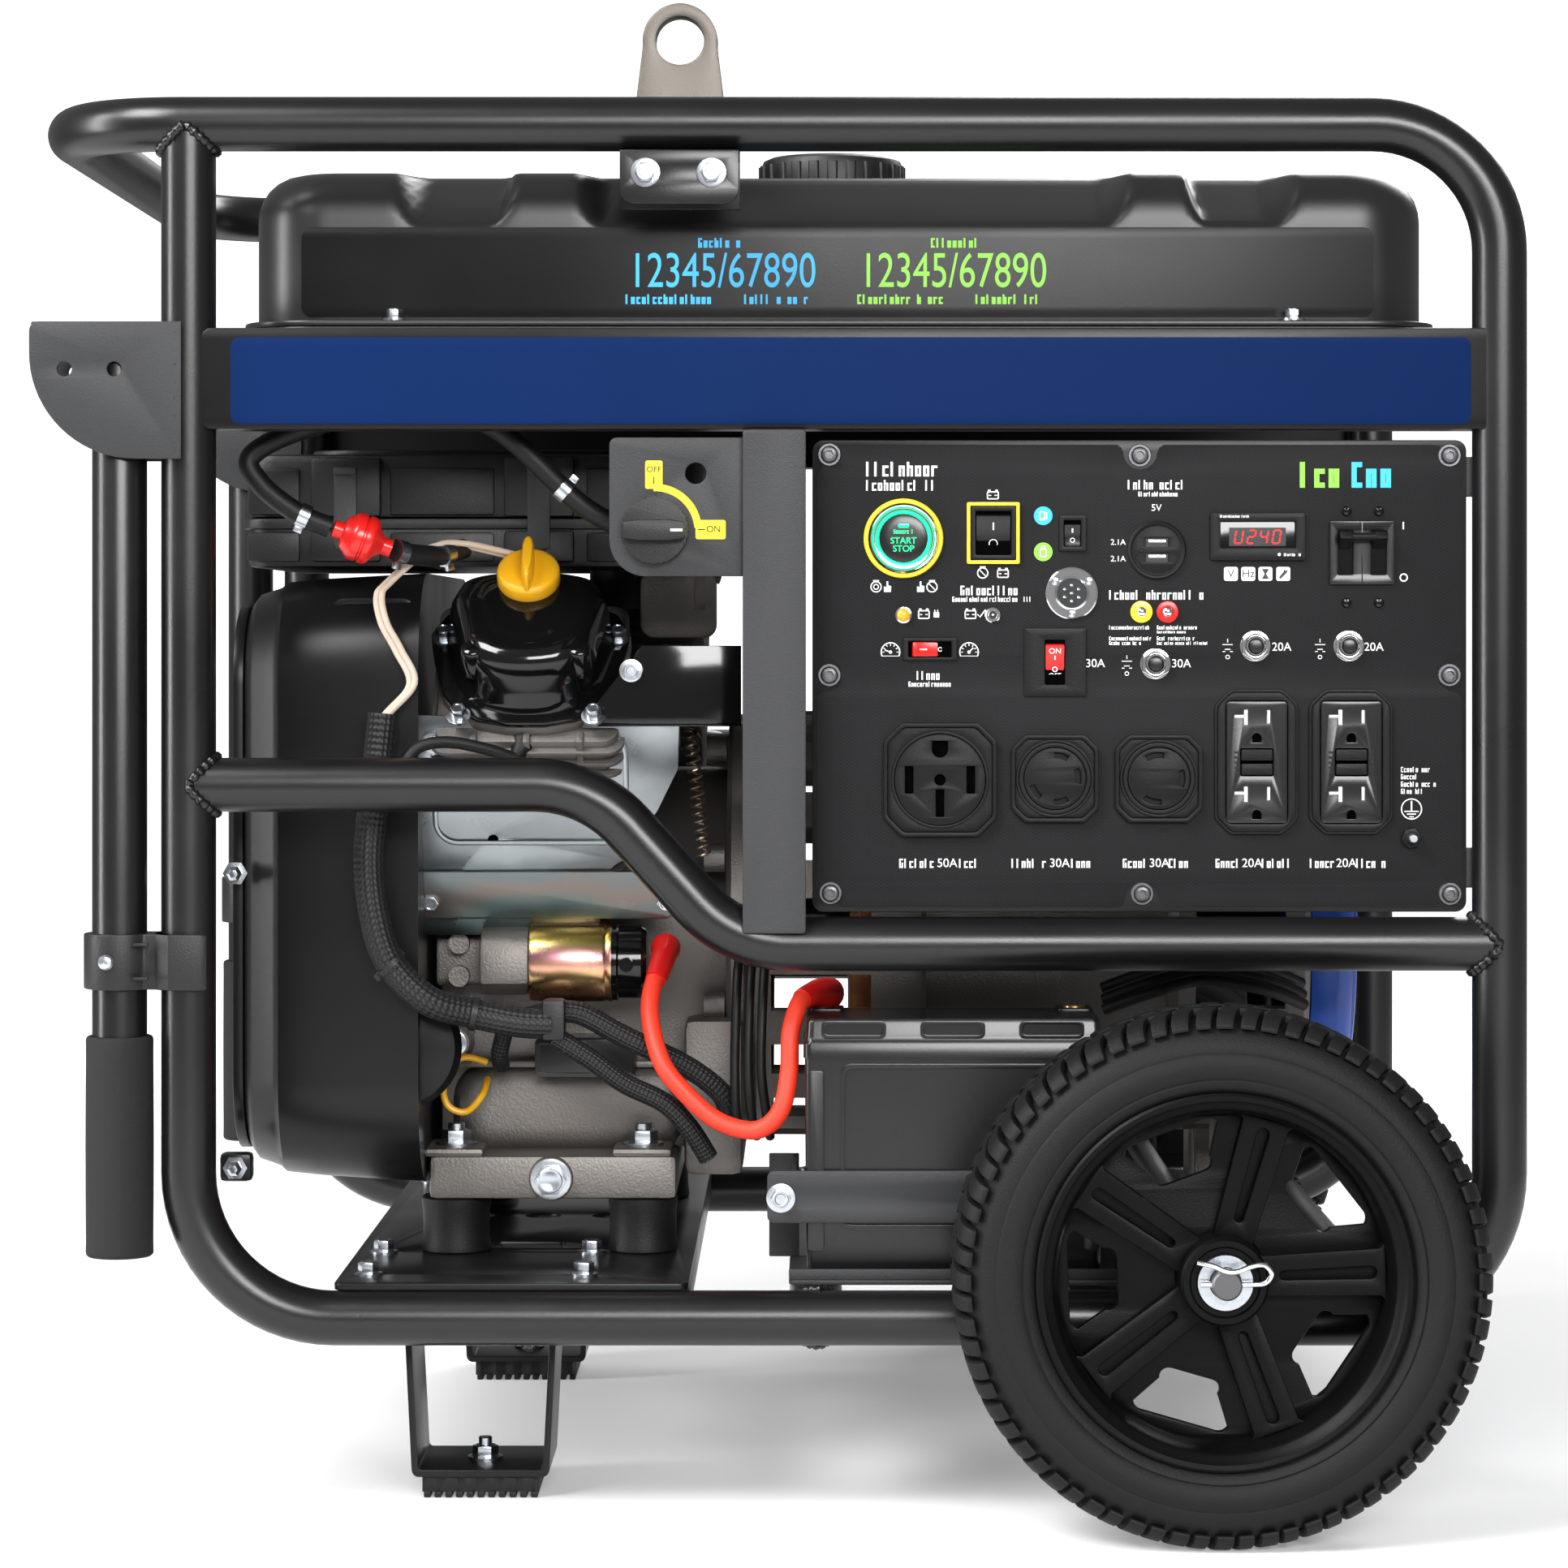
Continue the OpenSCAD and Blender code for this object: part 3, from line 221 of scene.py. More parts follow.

# %% [markdown]
# ## Metals
# Cast alloy is rough and warm, zinc plate bright and cool. Yellow zinc on the starter shows
# rainbow bands because its film is thin; a colour ramp read up the height and along a stretched
# noise gives them. The same ramp also paints light and shade by height: on the starter a dark
# underside (painted shade) and a bright middle band (painted highlight), on the galvanised
# sheet dark at the bottom and bright at the top (painted shade and painted light).

# %% Metals
def metal(base, rough, grain, depth, spread=1.25, drift=0.08, stretch=None):
    def recipe(at, uv):
        cloud = at.noise(26, 5)
        return {
            "Base Color": cloud.tint(base, tuple(min(1, c * spread) for c in base)),
            "Roughness": cloud * (2 * drift) + (rough - drift),
            "Normal": at.noise(grain, 3, stretch).bump(depth),
        }
    return recipe


def tints_and_painted_light_by_height(stops, rough, low, reach):
    def recipe(at, uv):
        x, y, z = at.parts()
        # The colour follows height: the stops hold the zinc's own tints, and their run from dark low
        # down to bright higher up is painted shade and painted light.
        band = (z - low) * (1 / reach) + at.noise(14, 3, (1, 1, 3)) * 0.45 - 0.22
        return {
            "Base Color": band.node("ShaderNodeValToRGB", {"stops": stops}, {0: band}),
            "Roughness": at.noise(60, 3) * 0.16 + rough,
            "Normal": at.noise(300, 2, (1, 1, 8)).bump(0.03),
        }
    return recipe


ALLOY = material("cast_alloy", metal((0.15, 0.138, 0.128), 0.48, 700, 0.35, 1.5), Metallic=0.75)
FINS = material("cast_fins", metal((0.13, 0.12, 0.112), 0.52, 500, 0.3, 1.4), Metallic=0.7)
ZINC = material("zinc_plate", metal((0.5, 0.53, 0.57), 0.27, 400, 0.05), Metallic=1.0)
CHROME = material("chrome", metal((0.75, 0.75, 0.76), 0.12, 200, 0.01, 1.05, 0.03), Metallic=1.0)
STEEL = material("dark_steel", metal((0.11, 0.11, 0.115), 0.38, 500, 0.1), Metallic=0.9)
BRASS = material("brass", metal((0.7, 0.5, 0.2), 0.3, 500, 0.05), Metallic=1.0)
EYE = material("lift_steel", metal((0.12, 0.105, 0.092), 0.42, 1100, 0.2, 1.3), Metallic=0.6)
SPRING = material("spring_wire", metal((0.2, 0.15, 0.11), 0.35, 500, 0.05), Metallic=0.9)
# Galvanised sheet: dark at the bottom of the cooling sheets, bright at the top: painted shade and
# painted light, with the zinc's own tints between.
GALVANISED = material("galvanised", tints_and_painted_light_by_height([
    (0.0, (0.07, 0.06, 0.055)), (0.18, (0.12, 0.17, 0.165)), (0.3, (0.2, 0.16, 0.14)),
    (0.42, (0.15, 0.175, 0.18)), (0.55, (0.29, 0.315, 0.325)), (1.0, (0.4, 0.43, 0.45))],
    0.22, 0.3, 0.12), Metallic=0.95)
# Yellow zinc: the film's own rainbow tints, with a dark band at the underside of the starter can
# (painted shade) and the brightest band round its middle (painted highlight).
PLATED = material("yellow_zinc", tints_and_painted_light_by_height([
    (0.0, (0.1, 0.055, 0.02)), (0.2, (0.5, 0.24, 0.13)), (0.36, (0.75, 0.5, 0.22)),
    (0.52, (0.8, 0.42, 0.3)), (0.66, (0.45, 0.2, 0.24)), (0.8, (0.62, 0.5, 0.12)),
    (1.0, (0.55, 0.26, 0.1))], 0.2, 0.272, 0.048), Metallic=1.0)
print("metals ready")

# %% [markdown]
# ## Patterned finishes
# The panel film is printed with faint scales: two crossed sine waves make the diamonds. Braided
# sleeve is the same trick on the tube's own coordinates, one turned left and one turned right,
# but here it also lifts the surface, and the raised crests are coloured lighter: a painted
# highlight.

# %% Panel film, braid and lit parts
def scales(at, uv):
    x, y, z = at.parts()
    turn = 2 * math.pi / 0.0064
    weave = ((x + z * 1.7) * turn).sine() * ((x - z * 1.7) * turn).sine()
    line = abs(weave).above(0.16)
    return {
        "Base Color": (line * 0.55 + at.noise(40, 2) * 0.3).tint((0.0085, 0.0082, 0.0088),
            (0.019, 0.0185, 0.0195)),
        "Roughness": line * 0.08 + 0.44,
        "Normal": (weave * 0.3 + at.noise(1500, 2)).bump(0.06),
    }


def braid(at, uv):
    along, around, rest = uv.parts()
    left = ((along * 2.4 + around * 9) * (2 * math.pi)).sine()
    right = ((along * 2.4 - around * 9) * (2 * math.pi)).sine()
    knot = left * right
    return {
        # Painted highlight: the weave's crests are coloured lighter than the black strands.
        "Base Color": (abs(knot) * 0.7 + at.noise(900, 2) * 0.2).tint((0.002, 0.002, 0.0022),
            (0.022, 0.022, 0.024)),
        "Roughness": abs(knot) * -0.2 + 0.58,
        "Normal": (knot * 0.5).bump(0.6),
    }


def lit(colour):
    def recipe(at, uv):
        glow = at.noise(200, 2)
        return {
            "Base Color": glow.tint(colour, tuple(min(1, c * 1.3 + 0.02) for c in colour)),
            "Roughness": glow * 0.1 + 0.15,
            "Emission Color": glow.tint(colour, tuple(min(1, c * 1.2) for c in colour)),
        }
    return recipe


FILM = material("panel_film", scales, Specular_IOR_Level=0.06)
BRAID = material("braided_sleeve", braid, Specular_IOR_Level=0.35)
GREEN_LIGHT = material("green_light", lit((0.0, 0.75, 0.2)), Emission_Strength=1.6)
RED_LIGHT = material("red_light", lit((0.85, 0.01, 0.008)), Emission_Strength=0.9)
AMBER = material("amber_lamp", lit((0.9, 0.28, 0.01)), Emission_Strength=0.25)
YELLOW_LAMP = material("yellow_lamp", lit((0.9, 0.62, 0.02)), Emission_Strength=0.25)
print("materials", len(bpy.data.materials))

# %% [markdown]
# ## Floor and light
# A product stands on pale paper. The sky is an even white, one large lamp high on the left puts
# long highlights on the upright tubes, and a wide weak one in front opens the dark panel.

# %% Floor and lights
def lamp(name, place, target, size, power):
    light = bpy.data.lights.new(name, "AREA")
    light.shape, light.size, light.size_y, light.energy = "RECTANGLE", size[0], size[1], power
    holder = bpy.data.objects.new(name, light)
    holder.location = place
    holder.rotation_euler = (Vector(target) - Vector(place)).to_track_quat("-Z", "Y").to_euler()
    bpy.context.collection.objects.link(holder)


ground = bpy.data.meshes.new("floor")
ground.from_pydata([(-14, -14, 0), (14, -14, 0), (14, 14, 0), (-14, 14, 0)], [], [(0, 1, 2, 3)])
floor = bpy.data.objects.new("floor", ground)
bpy.context.collection.objects.link(floor)


def paper(at, uv):
    """Sheet that thins out to nothing away from the machine, so the floor has no far edge."""
    x, y, z = at.parts()
    reach = x * x + y * y
    return {"Base Color": at.noise(3, 2).tint((0.74, 0.74, 0.74), (0.76, 0.76, 0.76)),
            "Roughness": at.noise(60, 2) * 0.1 + 0.7,
            "Alpha": reach * -0.28 + 1.5}


ground.materials.append(material("paper", paper, Emission_Color=(1, 1, 1, 1),
                                 Emission_Strength=0.22))
floor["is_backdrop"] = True

sky = bpy.data.worlds.new("sky")
bpy.context.scene.world = sky
sky.use_nodes = True
sky.node_tree.nodes["Background"].inputs["Color"].default_value = (1, 1, 1, 1)
sky.node_tree.nodes["Background"].inputs["Strength"].default_value = 0.24

# A drum of white paper stands far round the machine. Only the camera sees it, so the black
# finishes mirror the dim room and the lamps, not a white wall.
wall = bmesh.new()
bmesh.ops.create_cone(wall, cap_ends=True, segments=96, radius1=12, radius2=12, depth=18,
                      matrix=Matrix.Translation((0, 0, 8.99)))
drum_mesh = bpy.data.meshes.new("drum")
wall.to_mesh(drum_mesh)
wall.free()
drum = bpy.data.objects.new("drum", drum_mesh)
bpy.context.collection.objects.link(drum)
drum_mesh.materials.append(material("white_paper", lit((0.98, 0.98, 0.98)), Emission_Strength=1.0))
drum.visible_diffuse = drum.visible_glossy = drum.visible_shadow = drum.visible_transmission = False
drum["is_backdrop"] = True

middle = (0, 0, 0.42)
lamp("key", (-2.2, -2.4, 3.2), middle, (1.8, 1.8), 215)
lamp("front", (0.7, -3.6, 1.5), middle, (2.0, 0.9), 115)
lamp("strip", (-3.0, -0.9, 1.2), middle, (0.5, 2.6), 75)
lamp("back", (1.4, 3.0, 2.6), middle, (2.4, 1.4), 90)
bpy.context.scene.view_settings.view_transform = "Standard"

# %% [markdown]
# ## A workbench for shapes
# Most parts are sheet, turned work, tube or bolts. Instead of a function for each part we keep
# one bench that can add any of these to a growing mesh, and hand the whole over as one piece.
# Sharp edges are bevelled as they are made, because a knife edge never catches the light.

# %% Outlines in the flat
def arc(x, y, r, start, stop, steps=8):
    return [(x + r * math.cos(math.radians(start + (stop - start) * i / steps)),
             y + r * math.sin(math.radians(start + (stop - start) * i / steps)))
            for i in range(steps + 1)]


def rounded(w, h, r, x=0, y=0, steps=6):
    w, h = w / 2 - r, h / 2 - r
    return (arc(x + w, y + h, r, 0, 90, steps) + arc(x - w, y + h, r, 90, 180, steps)
            + arc(x - w, y - h, r, 180, 270, steps) + arc(x + w, y - h, r, 270, 360, steps))


def soften(loop, times=2):
    """Chaikin corner cutting: each corner is replaced by two points, again and again."""
    for _ in range(times):
        loop = [(a[0] * (1 - t) + b[0] * t, a[1] * (1 - t) + b[1] * t)
                for a, b in zip(loop, loop[1:] + loop[:1]) for t in (0.25, 0.75)]
    return loop


def scaled(loop, factor, dx=0, dy=0):
    return [(x * factor + dx, y * factor + dy) for x, y in loop]


def circle(r, x=0, y=0, steps=40):
    return arc(x, y, r, 0, 360 * (steps - 1) / steps, steps - 1)


def smooth(route, steps=6):
    """Catmull-Rom points through a given route."""
    p = [Vector(v) for v in route]
    made = []
    for i in range(len(p) - 1):
        a, b, c, d = p[max(i - 1, 0)], p[i], p[i + 1], p[min(i + 2, len(p) - 1)]
        for k in range(steps):
            t = k / steps
            made.append(0.5 * (2 * b + (c - a) * t + (2 * a - 5 * b + 4 * c - d) * t * t
                               + (3 * b - a - 3 * c + d) * t ** 3))
    return made + [p[-1]]


def bends(corners, radii, steps=10):
    """A route of straights joined by round bends, as a tube bender makes it."""
    p = [Vector(v) for v in corners]
    made = [p[0]]
    for i, r in zip(range(1, len(p) - 1), radii):
        u, w = (p[i] - p[i - 1]).normalized(), (p[i + 1] - p[i]).normalized()
        turn = u.angle(w)
        side = (w - u * math.cos(turn)).normalized()
        centre = p[i] - u * r * math.tan(turn / 2) + side * r
        made += [centre - side * r * math.cos(turn * k / steps) + u * r * math.sin(turn * k / steps)
                 for k in range(steps + 1)]
    return made + [p[-1]]


def move(x, y, z):
    return Matrix.Translation((x, y, z))


def roll(degrees, axis):
    return Matrix.Rotation(math.radians(degrees), 4, axis)


def spot(x, y, z, towards=(0, 0, 1), spin=0):
    """A matrix whose z axis looks towards a direction, with x kept level."""
    z_axis = Vector(towards).normalized()
    x_axis = Vector((0, 1, 0)).cross(z_axis) if abs(z_axis.y) < 0.9 else Vector((1, 0, 0))
    x_axis.normalize()
    turn = Matrix((x_axis, z_axis.cross(x_axis), z_axis)).transposed().to_4x4()
    return move(x, y, z) @ turn @ roll(spin, "Z")


def front(x, z, y=-282.0, spin=0):
    """A place on the panel side: x across, y up, z out towards the user."""
    return spot(x, y, z, (0, -1, 0), spin)


def rear(x, z, y=282.0):
    """The same place on the far side, seen from behind: x runs the other way."""
    return Matrix.Rotation(math.pi, 4, "Z") @ front(-x, z, -y)


# ACROSS lays a lathe's axis along the machine. SIDEWAYS takes an outline drawn in (y, z) and
# extrudes it along x.
ACROSS = roll(90, "Y")
SIDEWAYS = Matrix(((0, 0, 1, 0), (1, 0, 0, 0), (0, 1, 0, 0), (0, 0, 0, 1)))


def meshed(line):
    """The mesh of a curve or lettering, with its temporary objects cleared away."""
    holder = bpy.data.objects.new("line", line)
    bpy.context.collection.objects.link(holder)
    made = bpy.data.meshes.new_from_object(holder.evaluated_get(bpy.context.evaluated_depsgraph_get()))
    part = bmesh.new()
    part.from_mesh(made)
    bmesh.ops.remove_doubles(part, verts=part.verts, dist=1e-4)
    bpy.data.objects.remove(holder)
    bpy.data.curves.remove(line)
    bpy.data.meshes.remove(made)
    return part


print("outlines ready")

# %% The bench
class Bench:
    def __init__(self):
        self.mesh = bmesh.new()
        self.uv = self.mesh.loops.layers.uv.new("UVMap")

    def take(self, part, place=Matrix(), bevel=0.0, sharp=28):
        part.normal_update()
        if bevel:
            edges = [e for e in part.edges if len(e.link_faces) == 2
                     and e.calc_face_angle(0) > math.radians(sharp)]
            bmesh.ops.bevel(part, geom=edges, offset=bevel, segments=2, profile=0.6,
                            affect="EDGES", clamp_overlap=True)
        part.transform(place)
        if place.determinant() < 0:
            bmesh.ops.reverse_faces(part, faces=part.faces)
        held = bpy.data.meshes.new("held")
        part.to_mesh(held)
        part.free()
        self.mesh.from_mesh(held)
        bpy.data.meshes.remove(held)
        return self

    def slab(self, outline, low, high, place=Matrix(), bevel=0.0):
        part = bmesh.new()
        face = part.faces.new([part.verts.new((x, y, low)) for x, y in outline])
        face.normal_update()
        if face.normal.z > 0:
            face.normal_flip()
        raised = bmesh.ops.extrude_face_region(part, geom=[face], use_keep_orig=True)["geom"]
        bmesh.ops.translate(part, verts=[v for v in raised if isinstance(v, bmesh.types.BMVert)],
                            vec=(0, 0, high - low))
        bmesh.ops.recalc_face_normals(part, faces=part.faces)
        return self.take(part, place, bevel)

    def box(self, low, high, place=Matrix(), bevel=0.0):
        outline = [(low[0], low[1]), (high[0], low[1]), (high[0], high[1]), (low[0], high[1])]
        return self.slab(outline, low[2], high[2], place, bevel)

    def frame(self, outer, inner, low, high, place=Matrix(), bevel=0.0):
        """A flat ring between two outlines that have the same number of points."""
        part = bmesh.new()
        n = len(outer)
        rings = [[part.verts.new((x, y, z)) for x, y in loop]
                 for loop, z in ((outer, low), (outer, high), (inner, high), (inner, low))]
        for a, b in zip(rings, rings[1:] + rings[:1]):
            for i in range(n):
                part.faces.new((a[i], a[(i + 1) % n], b[(i + 1) % n], b[i]))
        bmesh.ops.recalc_face_normals(part, faces=part.faces)
        return self.take(part, place, bevel)

    def plate(self, loops, low, high, place=Matrix(), bevel=0.5):
        """Cut sheet: the first loop is its edge, any others are holes through it."""
        line = bpy.data.curves.new("plate", "CURVE")
        line.dimensions, line.fill_mode = "2D", "BOTH"
        for i, loop in enumerate(loops):
            points = loop[::-1] if i else loop
            spline = line.splines.new("POLY")
            spline.points.add(len(points) - 1)
            spline.points.foreach_set("co", [c for x, y in points for c in (x, y, 0, 1)])
            spline.use_cyclic_u = True
        line.extrude, line.bevel_depth, line.offset = (high - low) / 2 - bevel, bevel, -bevel
        line.bevel_resolution = 1
        part = meshed(line)
        bmesh.ops.translate(part, verts=part.verts, vec=(0, 0, (low + high) / 2))
        return self.take(part, place)

    def text(self, words, size, place=Matrix(), tall=0.2):
        line = bpy.data.curves.new("text", "FONT")
        line.body, line.size, line.extrude = words, size, tall / 2
        line.align_x = line.align_y = "CENTER"
        return self.take(meshed(line), place)

    def turned(self, profile, place=Matrix(), steps=48):
        """Lathe work: (radius, height) points turned about z. Ends on the axis are closed."""
        part = bmesh.new()
        rings = []
        for r, h in profile:
            count = steps if r > 1e-6 else 1
            rings.append([part.verts.new((r * math.cos(2 * math.pi * i / steps),
                                          r * math.sin(2 * math.pi * i / steps), h))
                          for i in range(count)])
        for a, b in zip(rings, rings[1:]):
            for i in range(steps):
                j = (i + 1) % steps
                corners = [a[i % len(a)], a[j % len(a)], b[j % len(b)], b[i % len(b)]]
                corners = [v for k, v in enumerate(corners) if v not in corners[:k]]
                if len(corners) > 2:
                    part.faces.new(corners)
        if profile[0] != profile[-1]:
            for ring in (rings[0], rings[-1]):
                if len(ring) > 2:
                    part.faces.new(ring)
        else:
            bmesh.ops.remove_doubles(part, verts=part.verts, dist=1e-5)
        bmesh.ops.recalc_face_normals(part, faces=part.faces)
        return self.take(part, place)

    def tube(self, route, radius, sides=16, weave=1.0, place=Matrix()):
        """A swept tube. UV runs in diameters along it and once round it."""
        p = [Vector(v) for v in route]
        ends = len(p) - 1
        radii = radius if isinstance(radius, list) else [radius] * len(p)
        part = bmesh.new()
        uv = part.loops.layers.uv.new("UVMap")
        side, rings, along = Vector((0.13, 0.9, 0.31)), [], [0.0]
        for i, point in enumerate(p):
            ahead = (p[min(i + 1, ends)] - p[max(i - 1, 0)]).normalized()
            side = (side - ahead * side.dot(ahead)).normalized()
            up = ahead.cross(side)
            rings.append([part.verts.new(point + radii[i] * (side * math.cos(a) + up * math.sin(a)))
                          for a in (2 * math.pi * k / sides for k in range(sides))])
            if i:
                along.append(along[-1] + (point - p[i - 1]).length / (2 * radii[i]) * weave)
        for i in range(ends):
            for k in range(sides):
                j = (k + 1) % sides
                face = part.faces.new((rings[i][k], rings[i][j], rings[i + 1][j], rings[i + 1][k]))
                for loop, (a, b) in zip(face.loops,
                        ((i, k), (i, k + 1), (i + 1, k + 1), (i + 1, k))):
                    loop[uv].uv = (along[a], b / sides)
        part.faces.new(rings[0][::-1])
        part.faces.new(rings[-1])
        return self.take(part, place)

    def loft(self, rings, place=Matrix(), bevel=0.0):
        """Skin over loops of equal count, each given with its height; both ends are closed."""
        part = bmesh.new()
        made = [[part.verts.new((x, y, z)) for x, y in loop] for loop, z in rings]
        for a, b in zip(made, made[1:]):
            for i in range(len(a)):
                j = (i + 1) % len(a)
                part.faces.new((a[i], a[j], b[j], b[i]))
        part.faces.new(made[0][::-1])
        part.faces.new(made[-1])
        bmesh.ops.recalc_face_normals(part, faces=part.faces)
        return self.take(part, place, bevel)

    def bolt(self, place, across=10.0, tall=6.0, washer=16.0, dish=1.2):
        self.turned([(0, 0), (washer / 2, 0), (washer / 2, dish), (washer * 0.42, dish + 0.3),
                     (0, dish + 0.3)], place, 28)
        r = across / 2 / math.cos(math.radians(30))
        hexagon = circle(r, steps=6)
        self.slab(hexagon, dish, dish + tall, place, bevel=0.5)
        top = dish + tall
        return self.turned([(0, top - 1), (across * 0.45, top - 1), (across * 0.45, top + 0.2),
                            (across * 0.42, top + 0.5),
                            (across * 0.33, top + 0.5), (across * 0.28, top + 0.15),
                            (0, top + 0.15)], place, 24)

    def done(self, name, look, body="chassis", slot=None, stands_for=(), mirror=None, smooth_at=32):
        mesh = bpy.data.meshes.new(name)
        self.mesh.transform(Matrix.Scale(MM, 4))
        self.mesh.to_mesh(mesh)
        mesh.materials.append(look)
        mesh.polygons.foreach_set("use_smooth", [True] * len(mesh.polygons))
        mesh.set_sharp_from_angle(angle=math.radians(smooth_at))
        piece = bpy.data.objects.new(name, mesh)
        bpy.context.collection.objects.link(piece)
        dress(piece, body, stands_for)
        if mirror:
            twin_name, twin_body, twin_nodes = mirror
            self.mesh.transform(Matrix.Scale(-1, 4, (0, 1, 0)))
            bmesh.ops.reverse_faces(self.mesh, faces=self.mesh.faces)
            self.mesh.transform(Matrix.Scale(1 / MM, 4))
            self.done(twin_name, look, twin_body, slot, twin_nodes, smooth_at=smooth_at)
        elif self.mesh.is_valid:
            self.mesh.free()
        return piece


def dress(piece, body, stands_for=()):
    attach(piece, body)
    if stands_for:
        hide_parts(*stands_for)


def cut(piece, cutter_bench):
    """Takes the bench's shape out of a piece, as a milling cutter would."""
    mesh = bpy.data.meshes.new("cutter")
    cutter_bench.mesh.transform(Matrix.Scale(MM, 4))
    cutter_bench.mesh.to_mesh(mesh)
    cutter_bench.mesh.free()
    tool = bpy.data.objects.new("cutter", mesh)
    bpy.context.collection.objects.link(tool)
    change = piece.modifiers.new("cut", "BOOLEAN")
    change.object, change.operation, change.solver = tool, "DIFFERENCE", "EXACT"
    made = bpy.data.meshes.new_from_object(piece.evaluated_get(bpy.context.evaluated_depsgraph_get()))
    piece.modifiers.clear()
    piece.data = made
    made.set_sharp_from_angle(angle=math.radians(32))
    bpy.data.objects.remove(tool)


print("bench ready")

# %% [markdown]
# ## The tube frame
# Each side is one 30 mm tube, bent at the corners and welded to its neighbours. We sweep a
# circle along straights and true round bends, then lay a bead of weld where tubes meet: a thin
# tube that follows the saddle curve of the joint, with ripples from the welder's hand.

# %% Side frames
SIDE_Y, POST_X, RIGHT_X, SILL_Z, RAIL_Z = -279.5, -324.6, 395.5, 108.8, 764.6


def bead(bench, place, r=15.2, size=2.6, seed=1):
    rnd = random.Random(seed)
    route, radii = [], []
    for k in range(97):
        a = 2 * math.pi * k / 96
        route.append(place @ Vector((r * math.cos(a), r * math.sin(a),
                                     math.sqrt(max(0, 15.2 ** 2 - (r * math.sin(a)) ** 2 * 0.98)))))
        radii.append(size * (1 + 0.22 * math.sin(k * 1.9) + rnd.uniform(-0.08, 0.08)))
    bench.tube(route, radii, 8)


side = Bench().tube(bends([(POST_X, SIDE_Y, RAIL_Z), (POST_X, SIDE_Y, SILL_Z),
                           (RIGHT_X, SIDE_Y, SILL_Z),
                 (RIGHT_X, SIDE_Y, RAIL_Z), (-398, SIDE_Y, RAIL_Z), (-398, 0, RAIL_Z)],
                [80, 80, 70, 70], 16), 15, 40)
side.tube(bends([(POST_X, SIDE_Y, 401.7), (-103.8, SIDE_Y, 401.7), (-25.2, SIDE_Y, 314.3),
                 (RIGHT_X, SIDE_Y, 314.3)], [70, 70], 12), 14.9, 40)
bead(side, spot(POST_X, SIDE_Y, RAIL_Z, (0, 0, -1)))
bead(side, spot(POST_X, SIDE_Y, 401.7, (1, 0, 0)), seed=2)
bead(side, spot(RIGHT_X, SIDE_Y, 314.3, (-1, 0, 0)), seed=3)
side.done("side_tubes_front", TUBE, slot="black_tube", stands_for=["side_frame_front"],
          mirror=("side_tubes_rear", "chassis", ["side_frame_rear"]), smooth_at=50)
print("side frames")

# %% [markdown]
# ## Channels and brackets
# The rest of the frame is folded sheet. A cut sheet is its edge plus its holes, so one call
# makes each plate with a softened rim, and a folded part is a few plates that share edges.

# %% Long channels with their blue stripe, and the cross members
beam, stripe = Bench(), Bench()
web = front(0, 0, -291.5)
beam.plate([rounded(708, 55.5, 7, 37, 624.25)], -3, 0, web, 0.9)
for flange_z in (596.5, 649.2):
    beam.box((-317, flange_z, -28), (391, flange_z + 2.8, -2), web, 0.8)
stripe.plate([rounded(678, 47.5, 5, 39, 623)], -0.1, 0.35, web, 0.12)
beam.done("long_channel_front", BLACK_SHEET, slot="charcoal_sheet", stands_for=["band_beams"],
          mirror=("long_channel_rear", "chassis", ()))
stripe.done("stripe_front", STRIPE, slot="charcoal_sheet", mirror=("stripe_rear", "chassis", ()))

cross = Bench()
for x in (20, 330):
    cross.tube([(x, -264, SILL_Z), (x, 264, SILL_Z)], 15, 32)
    for s in (-1, 1):
        bead(cross, spot(x, s * 279.5, SILL_Z, (0, -s, 0)), seed=x)
for x, y, low, high, round_top in ((140, 265, 101.8, 123.8, 1), (270, 265, 101.8, 123.8, 1),
                                   (-214, 263, 632, 652, 0.8), (285, 263, 632, 652, 0.8)):
    for left in (x - 20, x + 17):
        cross.box((left, -y, low), (left + 3, y, high), bevel=0.8)
    cross.box((x - 20, -y, high - 3), (x + 20, y, high), bevel=round_top)
for s in (-1, 1):
    lug = [(-16, 123), (16, 123)] + arc(0, 143, 14, 0, 180, 16)
    cross.plate([[(x, z) for x, z in lug], circle(8.2, 0, 143)], -9, 9,
                spot(235.5, s * 267, 0, (0, -1, 0)), 0.8)
cross.done("cross_tubes", TUBE, slot="black_tube", stands_for=["cross_members"], smooth_at=45)
print("channels and cross members")

# %% Upright beside the panel with the fuel valve plate
upright = Bench()
face = front(0, 0, -288)
upright.plate([rounded(34.5, 275, 2, -2.75, 458.5)], 5.7, 8.7, face, 0.7)
upright.box((-20, 336, -3.3), (-17.4, 596, 7), face, 0.7)
upright.box((11.9, 336, -3.3), (14.5, 596, 7), face, 0.7)
edge = [(-20, 592)] + arc(-89, 588, 4, 90, 180, 4) + arc(-73, 536, 20, 180, 270, 10) + [(-20, 516)]
upright.plate([edge[::-1], circle(5.8, -45.7, 572.4, 24), circle(6, -68, 541, 24)], 0, 3, face, 0.6)
TABS = {z: [rounded(14, 22, 2, 377, z + 11)] for z in (345, 560)}
for outline in TABS.values():
    upright.plate(outline, -13, -7, front(0, 0, -285), 0.6)
upright.done("panel_upright", SHEET, slot="charcoal_sheet", stands_for=["panel_brackets"])
for z, outline in TABS.items():
    tab = Bench().plate(outline, 7, 13, front(0, 0, 285), 0.6)
    tab.done("panel_tab_%d" % z, BLACK_SHEET, slot="charcoal_sheet")
print("channels")

